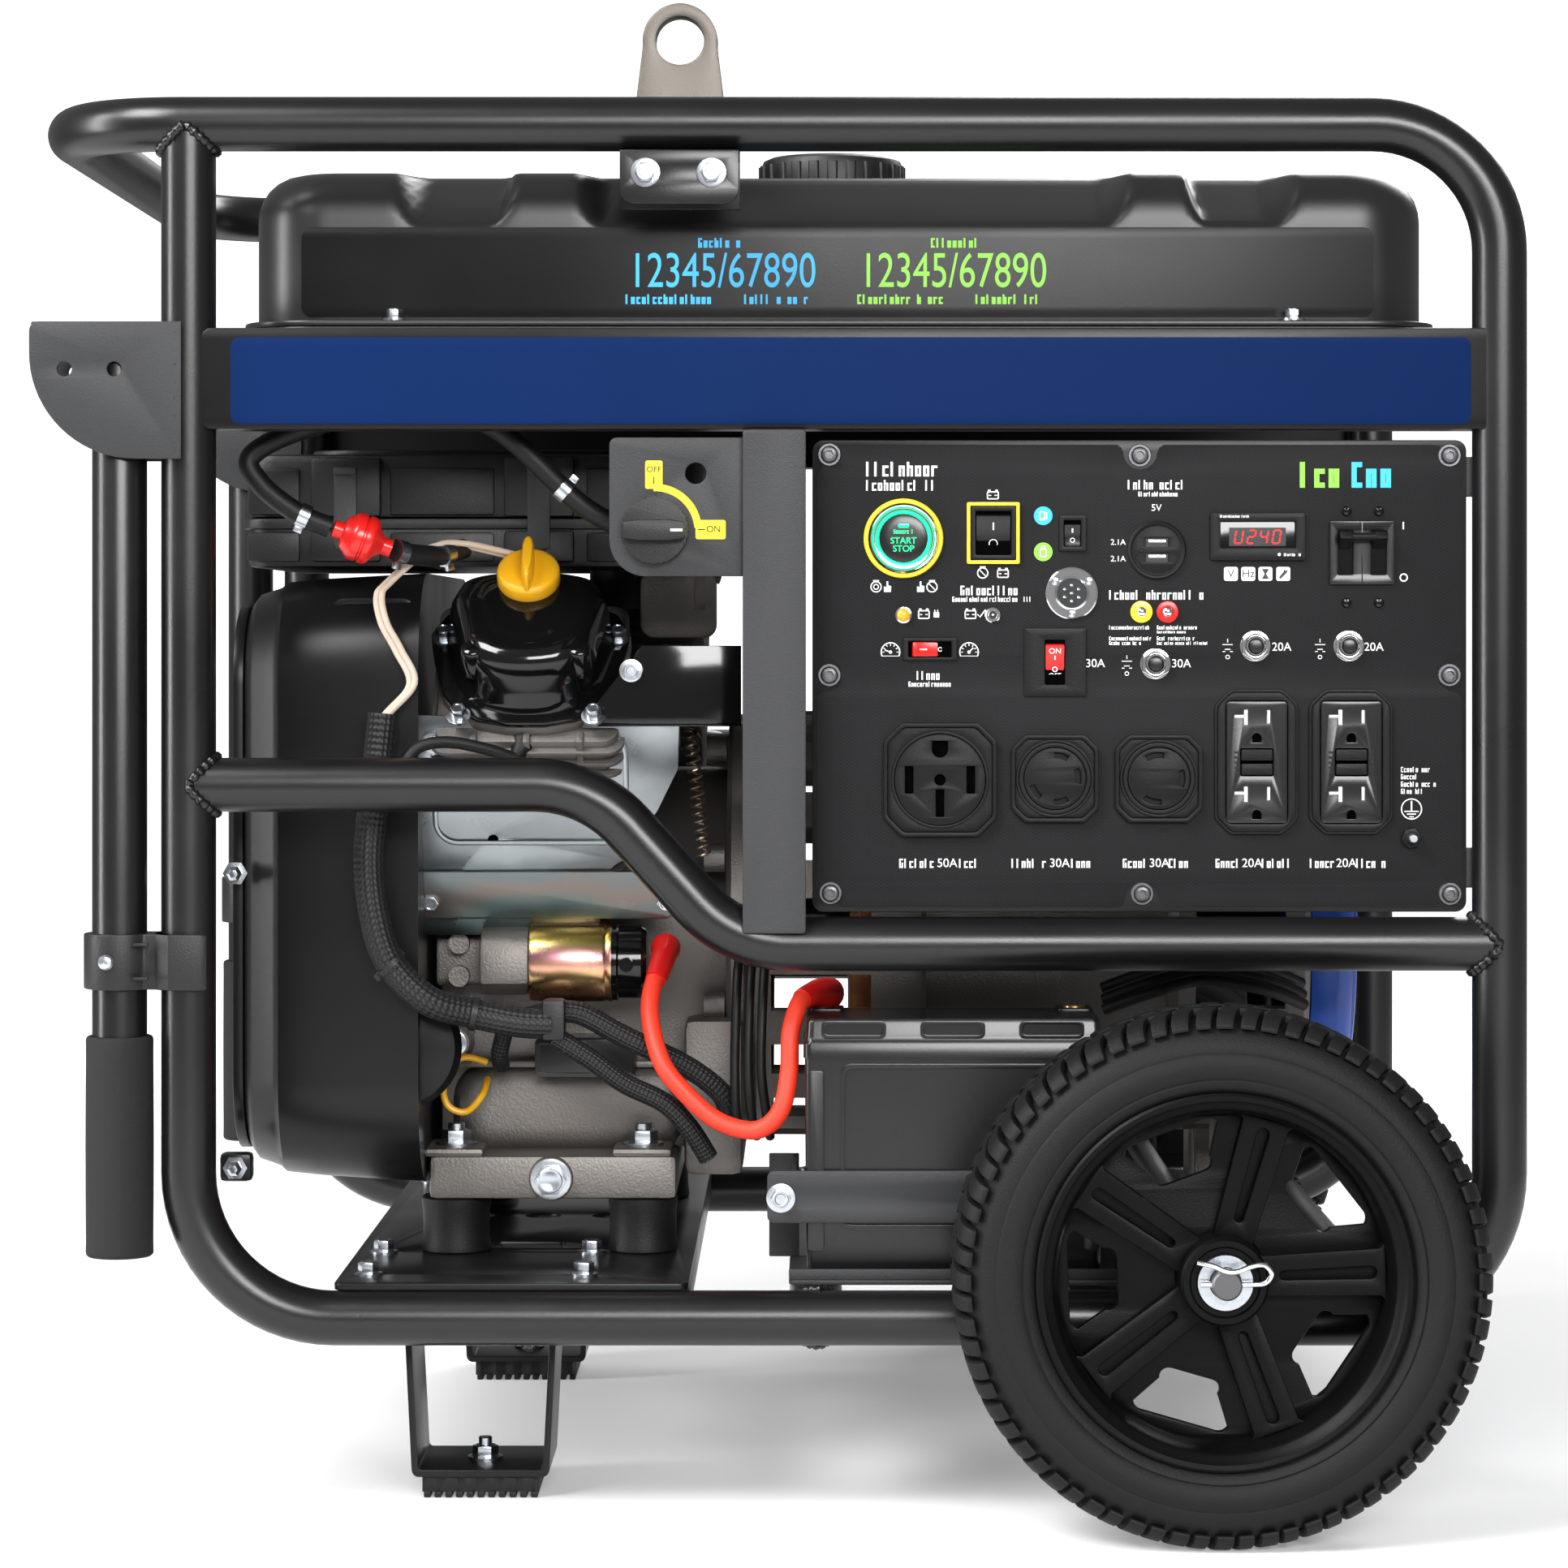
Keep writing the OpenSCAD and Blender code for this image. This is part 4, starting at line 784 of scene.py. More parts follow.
# %% [markdown]
# ## Lifting bar and eye
# One thick eye in the middle of a box bar takes the weight of the whole machine. The bar hangs
# from angles bolted under the top rails. The eye is flame-cut plate, so its edge is rounded and
# its colour is a plain warm grey steel.

# %% Lifting bar
EYE_X, EYE_Z = -63, 847.6


def rays(outline, x, y, count=64):
    """Where evenly turned rays from a point leave an outline: gives two loops equal counts."""
    made = []
    for k in range(count):
        a = 2 * math.pi * k / count
        u = Vector((math.cos(a), math.sin(a)))
        best = 0
        for p, q in zip(outline, outline[1:] + outline[:1]):
            p, q = Vector(p) - Vector((x, y)), Vector(q) - Vector((x, y))
            side = q - p
            lean = u.x * side.y - u.y * side.x
            if abs(lean) > 1e-9:
                t = (p.x * side.y - p.y * side.x) / lean
                s = (p.x * u.y - p.y * u.x) / lean
                if -1e-6 <= s <= 1 + 1e-6 and t > best:
                    best = t
        made.append((x + best * u.x, y + best * u.y))
    return made


eye = Bench()
flank = [(EYE_X + 31, 780.5), (EYE_X + 30, 786)] + arc(EYE_X, EYE_Z, 23, -8, 188, 28)
flank += [(EYE_X - 30, 786), (EYE_X - 31, 780.5)]
eye.frame(rays(flank, EYE_X, EYE_Z), rays(circle(14.7, EYE_X, EYE_Z), EYE_X, EYE_Z), -9, 9,
          front(0, 0, 0), 1.8)
eye.done("lifting_eye", EYE, slot="lift_steel", stands_for=["lift_bar"])

lift = Bench().slab(rounded(62, 19, 3.5, EYE_X, 771.5), -264, 264, front(0, 0, 0), 0.5)
ear = [(-87, 748), (-87, 727)] + arc(-79, 727, 8, 180, 270, 5)
ear += arc(-30, 727, 8, 270, 360, 5) + [(-22, 748)]
for s in (-1, 1):
    near = Matrix.Scale(-s, 4, (0, 1, 0))
    holes = [circle(4, x, 736, 20) for x in (-73, -37)]
    lift.plate([ear] + holes, 0, 3, near @ front(0, 0, -296), 0.5)
    lift.box((-87, -298.5, 745), (-22, -259, 748.6), near, 0.8)
    lift.box((-87, -264, 719), (-22, -259, 775), near, 0.8)
    weld = [(EYE_X - 31 + 62 * k / 30, s * (9.5 + 0.5 * math.sin(k * 2.1)), 781) for k in range(31)]
    lift.tube([(EYE_X - 32, s * 20, 781)] + weld, 1.6, 8)
lift.done("lifting_bar", TUBE, slot="black_tube")
print("lifting bar", len(flank))

# %% [markdown]
# ## Handles
# Four carrying tubes fold down beside the end posts. Each hinges on a flange bolt between two
# folded cheeks, and a foam sleeve takes the hand. Foam is softer than paint at its rim, so its
# ends are rounded over and the mouth shows the tube inside.

# %% Handle brackets, tubes, grips and clips
HINGE_X, HINGE_Z = -362.5, 629


def cheek():
    loop = arc(-404, 650, 5, 90, 180, 4) + arc(-351, 638, 58, 180, 270, 18) + [(-326, 580),
            (-326, 655)]
    holes = [circle(4, -389.6, HINGE_Z, 20), circle(4, HINGE_X, HINGE_Z, 20)]
    return [loop] + holes


fold = Bench().plate(cheek(), 0, 3, front(0, 0, -296), 0.6)
fold.plate(cheek(), 0, 3, front(0, 0, -260), 0.6)
fold.box((-408, -298.5, 652), (-326, -260.5, 655), bevel=0.9)
fold.tube([(POST_X - 5, -296.5 - 0.6 * abs(math.sin(k * 1.7)), 584 + k * 1.4) for k in range(48)],
          [1.9 + 0.5 * math.sin(k * 1.9) for k in range(48)], 8)
fold.done("handle_cheeks_front", SHEET, slot="charcoal_sheet", stands_for=["handle_brackets"],
          mirror=("handle_cheeks_rear", "chassis", ()))

rod = Bench().tube([(HINGE_X, SIDE_Y, 147), (HINGE_X, SIDE_Y, 634), (HINGE_X, SIDE_Y, 639.5),
                    (HINGE_X, SIDE_Y, 641)],
         [15, 15, 13.8, 11], 40)
rod.done("carry_tube_front", TUBE, "carry_handle_front", "black_tube", ["handle_front"],
         ("carry_tube_rear", "carry_handle_rear", ["handle_rear"]), smooth_at=40)

sleeve = Bench()
r = 18.5
sleeve.turned([(15.1, 12), (15.1, 0.9), (16, 0), (17.2, 0.1), (18.2, 1.0), (r, 2.4), (r - 0.15, 8),
               (r, 30),
               (r + 0.1, 60), (r, 95), (r - 0.1, 112), (r, 118.4), (18.1, 120.2), (17.0, 121),
               (15.9, 121),
               (15.1, 120.4), (15.1, 110)], spot(HINGE_X, SIDE_Y, 143), 56)
sleeve.done("foam_grip_front", FOAM, "carry_handle_front", "grip_foam", ["grip_front"],
            ("foam_grip_rear", "carry_handle_rear", ["grip_rear"]), smooth_at=60)
plug = Bench().turned([(0, 4), (12, 4), (15.05, 3.2), (15.05, 6)], spot(HINGE_X, SIDE_Y, 143), 40)
plug.done("tube_plug_front", SMOOTH, "carry_handle_front", "black_tube", (),
          ("tube_plug_rear", "carry_handle_rear", ()))

clip = Bench()
jaw = [(-341, 13), (-333, 19.5), (-316, 19.5), (-312, 17.4), (-334, 17.2), (-340.2, 11),
       (-341.3, 6)]
outline = arc(HINGE_X, SIDE_Y, 19.5, 40, 320, 26) + [(x, SIDE_Y - y) for x, y in jaw]
outline += [(x, SIDE_Y + y) for x, y in jaw[::-1]]
clip.slab(outline, 290, 320.5, bevel=1.2)
for z in (296, 314.5):
    clip.box((-352, -301, z), (-344, -296, z + 1.6), bevel=0.4)
clip.done("parking_clip_front", MOULDED, "carry_handle_front", "rubber_black", (),
          ("parking_clip_rear", "carry_handle_rear", ()))
screw = Bench().turned([(0, 0), (4.2, 0), (4.2, 0.8), (3.2, 2.0), (1.2, 2.4), (1.2, 1.4), (0, 1.4)],
                       front(-367, 305.5, -298.6), 24)
screw.done("clip_screw_front", ZINC, "carry_handle_front", "zinc", (),
           ("clip_screw_rear", "carry_handle_rear", ()))
print("handles")

# %% [markdown]
# ## Feet and floor plate
# The engine end stands on two rubber feet. Each is a strap folded into a narrow U, with a stud
# through the sole and a nut inside. The sole has ribs underneath and wavy sides.

# %% Feet, floor plate and axle
FOOT_X, FOOT_Y, FOOT_DEEP = -168, 194, 75
SOLE_X, SOLE_Y = 33, 35.5
strap, sole = Bench(), Bench()
strap_edge = [(-44, 122), (-38.6, 16)] + arc(-34.6, 16, 4, 180, 270, 5) + arc(34.6, 16, 4, 270, 360,
        5)
strap_edge += [(38.6, 16), (44, 122), (40.3, 122), (35.0, 17.5), (33.5, 16)]
strap_edge += [(-33.5, 16), (-35, 17.5), (-40.3, 122)]


def wavy_sole():
    """A rectangle walked anticlockwise, each side drawn in by six shallow waves."""
    loop = []
    for x, y, n, dx, dy in ((SOLE_X, -SOLE_Y, 22, 0, 1), (SOLE_X, SOLE_Y, 20, -1, 0),
                            (-SOLE_X, SOLE_Y, 22, 0, -1), (-SOLE_X, -SOLE_Y, 20, 1, 0)):
        length = 2 * (SOLE_Y if dy else SOLE_X)
        for k in range(n):
            dip = 0.9 * math.sin(12 * math.pi * k / n) - 1
            loop.append((x + dx * length * k / n + abs(dy) * math.copysign(dip, -x),
                         y + dy * length * k / n + abs(dx) * math.copysign(dip, -y)))
    return loop


for y0, lug_y in ((-FOOT_Y, -199.5), (FOOT_Y, 193.5)):
    strap.slab([(FOOT_X + x, z) for x, z in strap_edge], -FOOT_DEEP / 2, FOOT_DEEP / 2,
               spot(0, y0, 0, (0, -1, 0)), 0.7)
    for x, w in ((-224.5, 33), (-111, 34)):
        strap.plate([rounded(w, 113, 5, x, lug_y)], 120, 123.9, bevel=0.7)
    sole.slab([(FOOT_X + x, y0 + y) for x, y in wavy_sole()], 3.2, 12, bevel=0.5)
    for k in range(-5, 6):
        sole.box((FOOT_X + k * 6 - 2, y0 - 35, 0), (FOOT_X + k * 6 + 2, y0 + 35, 3.6), bevel=0.9)
strap.done("foot_straps", BLACK_SHEET, slot="black_tube", stands_for=["foot_brackets"])
sole.done("rubber_soles", RUBBER, slot="rubber_black", stands_for=["foot_pads"])

pan = Bench()
holes = [rounded(42, 26, 5, -147, y) for y in (-128, 128)] + [circle(11, x, 0, 28)
        for x in (-147, -188, -106)]
holes += [circle(4.5, x, y, 16) for x in (-229, -109) for y in (-249.5, -161.5, 161.5, 249.5)]
holes += [circle(5.5, x, y, 16) for x in (-188, -80) for y in (-150, 90)]
pan.plate([rounded(195, 563, 6, -147.5, 0)] + holes, 124, 128, bevel=0.7)
for x in (-245, -53):
    pan.box((x, -262, 108), (x + 3, 262, 125), bevel=0.6)
pan.done("floor_plate", BLACK_SHEET, slot="black_tube", stands_for=["base_plate"])

shaft = Bench().turned([(0, -392), (7, -392), (8, -391), (8, 391), (7, 392), (0, 392)],
                       spot(235.5, 0, 143, (0, -1, 0)), 40)
shaft.done("axle_rod", STEEL, slot="axle_steel", stands_for=["axle"])
print("feet and floor plate")

# %% [markdown]
# ## Wheels
# The tyres are solid rubber on moulded rims. The carcass is turned; the tread is separate lugs,
# because their gaps are what the eye reads. The rim web is one sheet with five windows, and each
# spoke is a raised rib with a groove down its middle.

# %% Wheels
def lug(bench, start, stop, section, place, slant=0.0):
    part = bmesh.new()
    rings = []
    for k in range(4):
        a = math.radians(start + (stop - start) * k / 3)
        rings.append([part.verts.new((r * math.cos(a + slant * z), r * math.sin(a + slant * z), z))
                      for r, z in section])
    for a, b in zip(rings, rings[1:]):
        for i in range(len(section)):
            j = (i + 1) % len(section)
            part.faces.new((a[i], a[j], b[j], b[i]))
    part.faces.new(rings[0][::-1])
    part.faces.new(rings[-1])
    bmesh.ops.recalc_face_normals(part, faces=part.faces)
    bench.take(part, place, 0.9, 40)


hub = front(235.5, 143, -345.5)
tyre = Bench()
wall = [(100, 33), (103, 36.2), (106, 37), (107, 36.4), (109, 37.9), (114, 38.6), (120, 38.3),
        (121, 37.4), (123, 37.6),
        (128, 35.8), (133, 32), (136.8, 26), (138.4, 16), (138.8, 6)]
tyre.turned([(r, -z) for r, z in wall] + wall[::-1] + [(100, -33)], hub, 108)
shoulder = [(143, 9), (143, 22), (142, 28), (139.4, 32.6), (135.6, 35.6), (133.6, 35.4),
            (133.6, 30), (137, 24), (137.6, 9)]
for k in range(72):
    for s in (-1, 1):
        a = k * 5 + (0 if s > 0 else 2.5)
        lug(tyre, a, a + (3.9 if k % 2 else 3.4), [(r, s * z) for r, z in shoulder], hub,
            0.0016 * s)
for k in range(36):
    lug(tyre, k * 10 + 1, k * 10 + 8.6, [(142.8, -7), (142.8, 7), (137, 7), (137, -7)], hub, 0.005)
tyre.done("solid_tyre_front", TYRE, "wheel_front", "tyre_black", ["tyre_front"],
          ("solid_tyre_rear", "wheel_rear", ["tyre_rear"]), smooth_at=40)

rim = Bench().turned([(99.9, -36), (99.9, 36), (98.5, 37), (96, 36.6), (93.5, 34), (91.6, 33),
                      (90.2, 31), (88, 22), (87.4, 6),
            (86.8, 5), (86.8, 1), (87.4, 0), (88, -20), (90, -33), (93, -36), (99.9, -36)], hub, 96)
windows = []
for k in range(5):
    a = math.radians(38 + 72 * k)
    shape = [(55, -16.5, 5), (81, -26.5, 6), (81, 26.5, 6), (55, 16.5, 5)]
    loop = []
    for (x, y, r), (s0, s1) in zip(shape, ((180, 290), (290, 370), (-10, 70), (70, 180))):
        loop += arc(x + (r if x < 60 else -r), y + (r if y < 0 else -r), r, s0, s1, 5)
    windows.append([(x * math.cos(a) - y * math.sin(a), x * math.sin(a) + y * math.cos(a)) for x,
                    y in loop])
rim.plate([circle(87.6, steps=96)] + windows, 0, 6, hub, 0.8)
for k in range(5):
    turn = hub @ roll(2 + 72 * k, "Z")
    loop = [(20, -10.8), (84, -12.6), (87.4, -15.8), (87.4, 15.8), (84, 12.6), (20, 10.8)]
    slot_loop = arc(79, 0, 3.3, -90, 90, 6) + arc(33, 0, 2.4, 90, 270, 6)
    rim.plate([loop, slot_loop], 5.5, 16, turn, 1.1)
    rim.plate([[(x, y * 0.9) for x, y in loop]], 5.5, 9, turn, 0.4)
rim.turned([(8.2, -36), (21, -36), (23.4, -34), (23.4, 4), (24.6, 7), (23.4, 12), (23.4, 32.6),
            (22, 34.4), (19, 34.4),
            (18, 33.2), (15.4, 33.2), (15, 34.2), (8.2, 34.2), (8.2, -36)], hub, 56)
rim.done("moulded_rim_front", RIM, "wheel_front", "rim_black", ["rim_front"],
         ("moulded_rim_rear", "wheel_rear", ["rim_rear"]))

washer = Bench().turned([(8.3, 34.4), (14.6, 34.4), (14.9, 35), (14.6, 36), (8.6, 36), (8.3, 35.6),
                         (8.3, 34.4)], hub, 40)
washer.done("axle_washer_front", ZINC, "chassis", "zinc", (), ("axle_washer_rear", "chassis", ()))
pin = Bench().tube(smooth([(222, -386.5, 143), (235, -386.5, 143), (249, -386.5, 143),
                           (256, -387, 144), (259, -388, 149), (255, -389, 153.6),
                 (248, -390.5, 153), (241, -391.6, 150.6), (235, -392, 150.6), (228, -391.4, 153.4),
                           (220, -390, 155)], 8), 1.5, 12)
pin.done("spring_clip_front", CHROME, "chassis", "zinc", (), ("spring_clip_rear", "chassis", ()))
print("wheels")

# %% [markdown]
# ## Fuel tank
# A pressed tank has no sharp edge anywhere. Its skin is a stack of rings that follow a rounded
# rectangle, from the seam up the side, over the shoulder and in across the top. Where the press
# leaves a relief on the top edge, the shoulder there changes to a long slope, and a smooth step
# between the two makes the scoop's soft ends.

# %% Fuel tank
TANK_X, TANK_LOW, TANK_TOP = 33, 658.5, 744


def perimeter(w, h, r, long_steps=150, short_steps=60, corner=14):
    """A rounded rectangle walked anticlockwise from its front left corner, with even counts."""
    loop = []
    for (cx, cy, start), (dx, dy, n, length) in zip(
            ((w / 2 - r, -h / 2 + r, -90), (w / 2 - r, h / 2 - r, 0), (-w / 2 + r, h / 2 - r, 90),
             (-w / 2 + r, -h / 2 + r, 180)),
            ((1, 0, long_steps, w - 2 * r), (0, 1, short_steps, h - 2 * r),
             (-1, 0, long_steps, w - 2 * r), (0, -1, short_steps, h - 2 * r))):
        a = math.radians(start)
        x, y = cx + r * math.cos(a), cy + r * math.sin(a)
        loop += [(x - dx * length * (1 - k / n), y - dy * length * (1 - k / n)) for k in range(n)]
        loop += arc(cx, cy, r, start, start + 90, corner)[:-1]
    return loop


def ease(value, low, high):
    t = max(0.0, min(1.0, (value - low) / (high - low)))
    return t * t * (3 - 2 * t)


SCOOPS = ((-211, -152), (-109.5, 191.5), (229.4, 285))
round_edge = [(0.6, 0), (0, 2), (0, 20), (0, 40), (0, 50), (0, 58), (0.6, 64), (2.4, 70),
              (5.6, 75.5), (10.2, 80), (15.6, 83.2), (22, 84.9), (30, 85.4), (44, 85.5), (58, 85.5)]
slope_edge = [(0.6, 0), (0, 2), (0, 20), (0, 38), (0, 46), (0, 51.5), (1.2, 54.2), (5, 57),
              (13, 62), (22, 68), (31, 74), (39, 79.4), (45, 83), (51, 85), (58, 85.5)]
tank = Bench()
skin = bmesh.new()
rings = []
for (in_a, up_a), (in_b, up_b) in zip(round_edge, slope_edge):
    ring = []
    plain = perimeter(656 - 2 * in_a, 494 - 2 * in_a, 40 - in_a * 0.6)
    deep = perimeter(656 - 2 * in_b, 494 - 2 * in_b, 40 - in_b * 0.6)
    for (xa, ya), (xb, yb) in zip(plain, deep):
        x = xa + TANK_X
        w = 0.0
        if abs(ya) > 175:
            w = max(ease(x, a - 5, a + 9) * (1 - ease(x, b - 9, b + 5)) for a, b in SCOOPS)
        ring.append(skin.verts.new((TANK_X + xa + (xb - xa) * w, ya + (yb - ya) * w,
                                    TANK_LOW + up_a + (up_b - up_a) * w)))
    rings.append(ring)
for inset, up in ((80, 85.9), (130, 86.4), (190, 86.9), (238, 87.1)):
    rings.append([skin.verts.new((TANK_X + x, y, TANK_LOW + up)) for x,
                  y in perimeter(656 - 2 * inset, 494 - 2 * inset, 7)])
for a, b in zip(rings, rings[1:]):
    for i in range(len(a)):
        j = (i + 1) % len(a)
        skin.faces.new((a[i], a[j], b[j], b[i]))
skin.faces.new(rings[-1])
skin.faces.new(rings[0][::-1])
tank.take(skin)
tank.plate([perimeter(668, 522, 42, 60, 40)], 0, 3.1, move(TANK_X, 0, 655.3), 0.9)
tank.plate([perimeter(666, 520, 41, 60, 40)], 0, 3.1, move(TANK_X, 0, 652.1), 0.9)
tank.turned([(30, 744), (30, 763), (31, 764), (34, 764), (34, 749), (36, 746.4), (44, 745.6),
             (44, 743), (30, 743)], move(30, 0, 0), 56)
tank.done("fuel_tank_shell", TANK, slot="tank_black", stands_for=["fuel_tank"], smooth_at=40)

label = Bench().plate([rounded(597, 50, 6, 32, 686)], -0.05, 0.35, front(0, 0, -247), 0.1)
label.done("tank_film", BLACK_SHEET, slot="tank_black")

cap = Bench()
top = move(30, 0, 750)
cap.turned([(34.2, 0), (43, 0), (43.6, 1.6), (43.4, 20), (42, 23.6), (38, 25.4), (31, 25.8),
            (29.6, 26.4), (24, 26.9), (0, 27), (0, 16), (34.2, 16), (34.2, 0)], top, 72)
for k in range(24):
    a = 15 * k
    cap.slab(rounded(3.6, 6.4, 1.5), 1.6, 20.5, top @ roll(a, "Z") @ move(43.2, 0, 0), 0.5)
cap.slab(rounded(50, 11, 5), 26, 27, top, 0.4)
cap.done("filler_cap", MOULDED, "filler_cap", "cap_black", ["tank_cap"])
print("tank", len(rings), "rings")

# %% [markdown]
# ## Lettering
# Prints are thin raised shapes, so they stay sharp at any distance. Numbers, ON and OFF, and
# ratings are set in the built-in font. Longer wording is shown as plain strokes of the same
# height and weight, so the layout reads correctly without saying anything.

# %% Strokes that stand for words, and the numbers on the tank

def strokes(bench, left, right, low, high, place, weight=0.16, seed=0):
    rnd = random.Random(seed + int(left * 7 + low))
    tall = high - low
    step, w = tall * 0.56, tall * weight
    x = left
    while x + step * 0.8 < right:
        kind = rnd.choice("lonocnrth ") if x > left + step * 2 else rnd.choice("lonc")
        h = tall if kind in "lth" or x == left else tall * 0.74
        if kind != " ":
            bench.box((x, low, 0), (x + w, low + h, 0.18), place)
        if kind in "oncr" or kind == "h":
            bench.box((x + w, low + (h if kind != "h" else tall * 0.74) - w, 0),
                      (x + step * 0.74, low + (h if kind != "h" else tall * 0.74), 0.18), place)
        if kind in "oc":
            bench.box((x + w, low, 0), (x + step * 0.74, low + w, 0.18), place)
        if kind in "onh":
            bench.box((x + step * 0.74 - w, low + w * (kind == "o"), 0),
                      (x + step * 0.74, low + tall * 0.74 - w, 0.18), place)
        x += step


for name, look, words, x, rows in (
        ("tank_numbers_left", CYAN, "12345/67890", -32, ((-45.6, -18, 699.6), (-86, -38, 668.2),
        (-20, 17, 668.2))),
        ("tank_numbers_right", LIME, "12345/67890", 96.5, ((84, 111, 699.6), (43, 91, 668.2),
        (108.8, 146, 668.2)))):
    digits = Bench()
    digits.text(words, 27.5, front(x, 686, -247.45) @ Matrix.Diagonal((0.72, 1, 1, 1)))
    for left, right, low in rows:
        strokes(digits, left, right, low, low + 5.4, front(0, 0, -247.35), 0.2)
    digits.done(name, look, slot="tank_black")
print("lettering")

# %% [markdown]
# ## Control panel
# The panel is a steel sheet with a printed film, cut back round each screw. The fittings stand
# on it, so each is built out from the film: a flange, a body and what moves inside. Those that
# move ride on their own bodies.

# %% Panel sheet, film and screws
SCREWS = [(27.4, 583), (197.7, 582.5), (367.6, 582.5), (27.4, 462), (367.6, 462), (28, 342.4),
          (199, 342), (368, 342)]
panel = front(0, 0, -282)
sheet = Bench().plate([rounded(359, 259, 6, 197.5, 461.5)], -2, 0, panel, 0.5)
sheet.done("panel_sheet", BLACK_SHEET, slot="charcoal_sheet", stands_for=["control_panel"])


def bite(corner_x, corner_z, dx, dz, r=9.5, f=3.0):
    """Round bite out of a corner, walked so that the film stays on the left hand."""
    made = [(corner_x + dx * (r + 2 * f), corner_z), (corner_x + dx * (r + f), corner_z + dz * 0.8),
            (corner_x + dx * (r + 0.2), corner_z + dz * f)]
    made += [(corner_x + dx * r * math.cos(math.radians(t)) + dx * 0.2,
              corner_z + dz * (r * math.sin(math.radians(t)) + f * 0.7))
             for t in range(15, 90, 15)]
    made += [(corner_x + dx * f, corner_z + dz * (r + f * 0.9)),
             (corner_x + dx * 0.8, corner_z + dz * (r + 2 * f)),
             (corner_x, corner_z + dz * (r + 3 * f))]
    return made


def scallop(x, z, sx, sz, r=9.5):
    """Half-round bite out of an edge: s is the way along the edge."""
    made = []
    for t in range(-4, 5):
        a = t / 4 * 90
        along, deep = r * math.sin(math.radians(a)), r * math.cos(math.radians(a)) + 4
        made.append((x + sx * along - sz * deep, z + sz * along + sx * deep))
    flare = [(x - sx * 13, z - sz * 13), (x - sx * 10.5 - sz * 1.6, z - sz * 10.5 + sx * 1.6)]
    other = [(x + sx * 10.5 - sz * 1.6, z + sz * 10.5 + sx * 1.6), (x + sx * 13, z + sz * 13)]
    return flare + made + other


L, R, B, T = 20.5, 374.6, 334.6, 588.4
film_edge = bite(L, B, 1, 1)[::-1] + scallop(199, B, 1, 0) + bite(R, B, -1, 1)
film_edge += scallop(R, 462, 0, 1) + bite(R, T, -1, -1)[::-1] + scallop(198, T, -1, 0) + bite(L, T,
        1, -1)
film_edge += scallop(L, 462, 0, -1)
film = Bench().plate([film_edge], 0, 0.35, panel, 0.1)
film.done("panel_film", FILM, slot="charcoal_sheet")

heads, washers = Bench(), Bench()
for x, z in SCREWS:
    washers.turned([(0, 0), (6.2, 0), (6.4, 0.5), (6.0, 1.2), (0, 1.2)], front(x, z), 32)
    heads.turned([(0, 1.2), (4.8, 1.2), (4.7, 2.4), (3.9, 3.8), (2.6, 4.3), (0, 4.3)], front(x, z),
                 32)
washers.done("panel_washers", STEEL, slot="zinc")
ring = heads.done("panel_screw_heads", STEEL, slot="zinc")
sockets = Bench()
for i, (x, z) in enumerate(SCREWS):
    sockets.slab(circle(2.5, steps=6), 2.2, 6, front(x, z, -282, i * 17))
cut(ring, sockets)
print("panel sheet and screws")

# %% Box behind the panel
case = Bench()
inwards = panel @ Matrix.Scale(-1, 4, (0, 0, 1))
for x in (22, 371.5):
    case.box((x, 336, 1.9), (x + 1.5, 587, 110), inwards, 0.5)
for z in (336, 585.5):
    case.box((22, -279.9, z), (373, -172, z + 1.5), bevel=0.5)
louvres = [rounded(80, 5, 2.2, -290, 374.5 + i * 12) for i in range(8)]
case.plate([rounded(351, 251, 3, -197.5, 461.5)] + louvres, 0, 1.5, rear(0, 0, -173.5), 0.4)
for i in range(8):
    case.slab([(0, 0), (5, 3), (5, 2), (0.8, -0.6)], -40, 40, move(290, -173, 376 + i * 12)
              @ SIDEWAYS, 0.2)
case.done("control_box_shell", SHEET, slot="charcoal_sheet", stands_for=["control_box"])
print("panel")

# %% Printed marks on the film
FILM_Y = -282.35
ink = Bench()
printed = front(0, 0, FILM_Y)


def say(words, x, z, tall, bench=None):
    (bench or ink).text(words, tall * 1.38, front(x, z, FILM_Y))


for left, right, low, high in (
        (47.5, 87.7, 571, 579), (47.5, 87.7, 563.2, 569), (99.3, 134.8, 505.8, 511),
            (94.8, 139.3, 502.2, 505),
        (75.3, 89.5, 459.4, 464.1), (70.8, 94.4, 455.6, 458.4), (191.1, 225.3, 563.8, 569),
            (196.9, 219.1, 560, 562.6),
        (180.9, 233.7, 503.4, 508.6), (180.9, 203.7, 487, 489.2), (207.1, 230, 487, 489.2),
            (207.1, 223, 484.9, 486.4),
        (180.9, 204.6, 481, 483.2), (180.9, 199, 478.5, 480.6), (207.1, 229.6, 481, 483.2),
            (207.1, 235.6, 478.6, 480.4),
        (341, 358.4, 408.7, 411.6), (341, 350.8, 404.8, 407.6), (341, 361.3, 400.7, 403.6),
            (341, 353.4, 396.8, 399.6),
        (65.7, 85.6, 356.2, 361.2), (98.5, 109.4, 356.2, 361.2), (127.3, 147.5, 356.2, 361.2),
            (160, 173, 356.2, 361.2),
        (188.4, 203.2, 356.2, 361.2), (213.6, 224.4, 356.2, 361.2), (239.3, 254, 356.2, 361.2),
            (264.6, 282.2, 356.2, 361.2),
        (291, 305.6, 356.2, 361.2), (316.4, 333.9, 356.2, 361.2)):
    strokes(ink, left, right, low, high, printed)
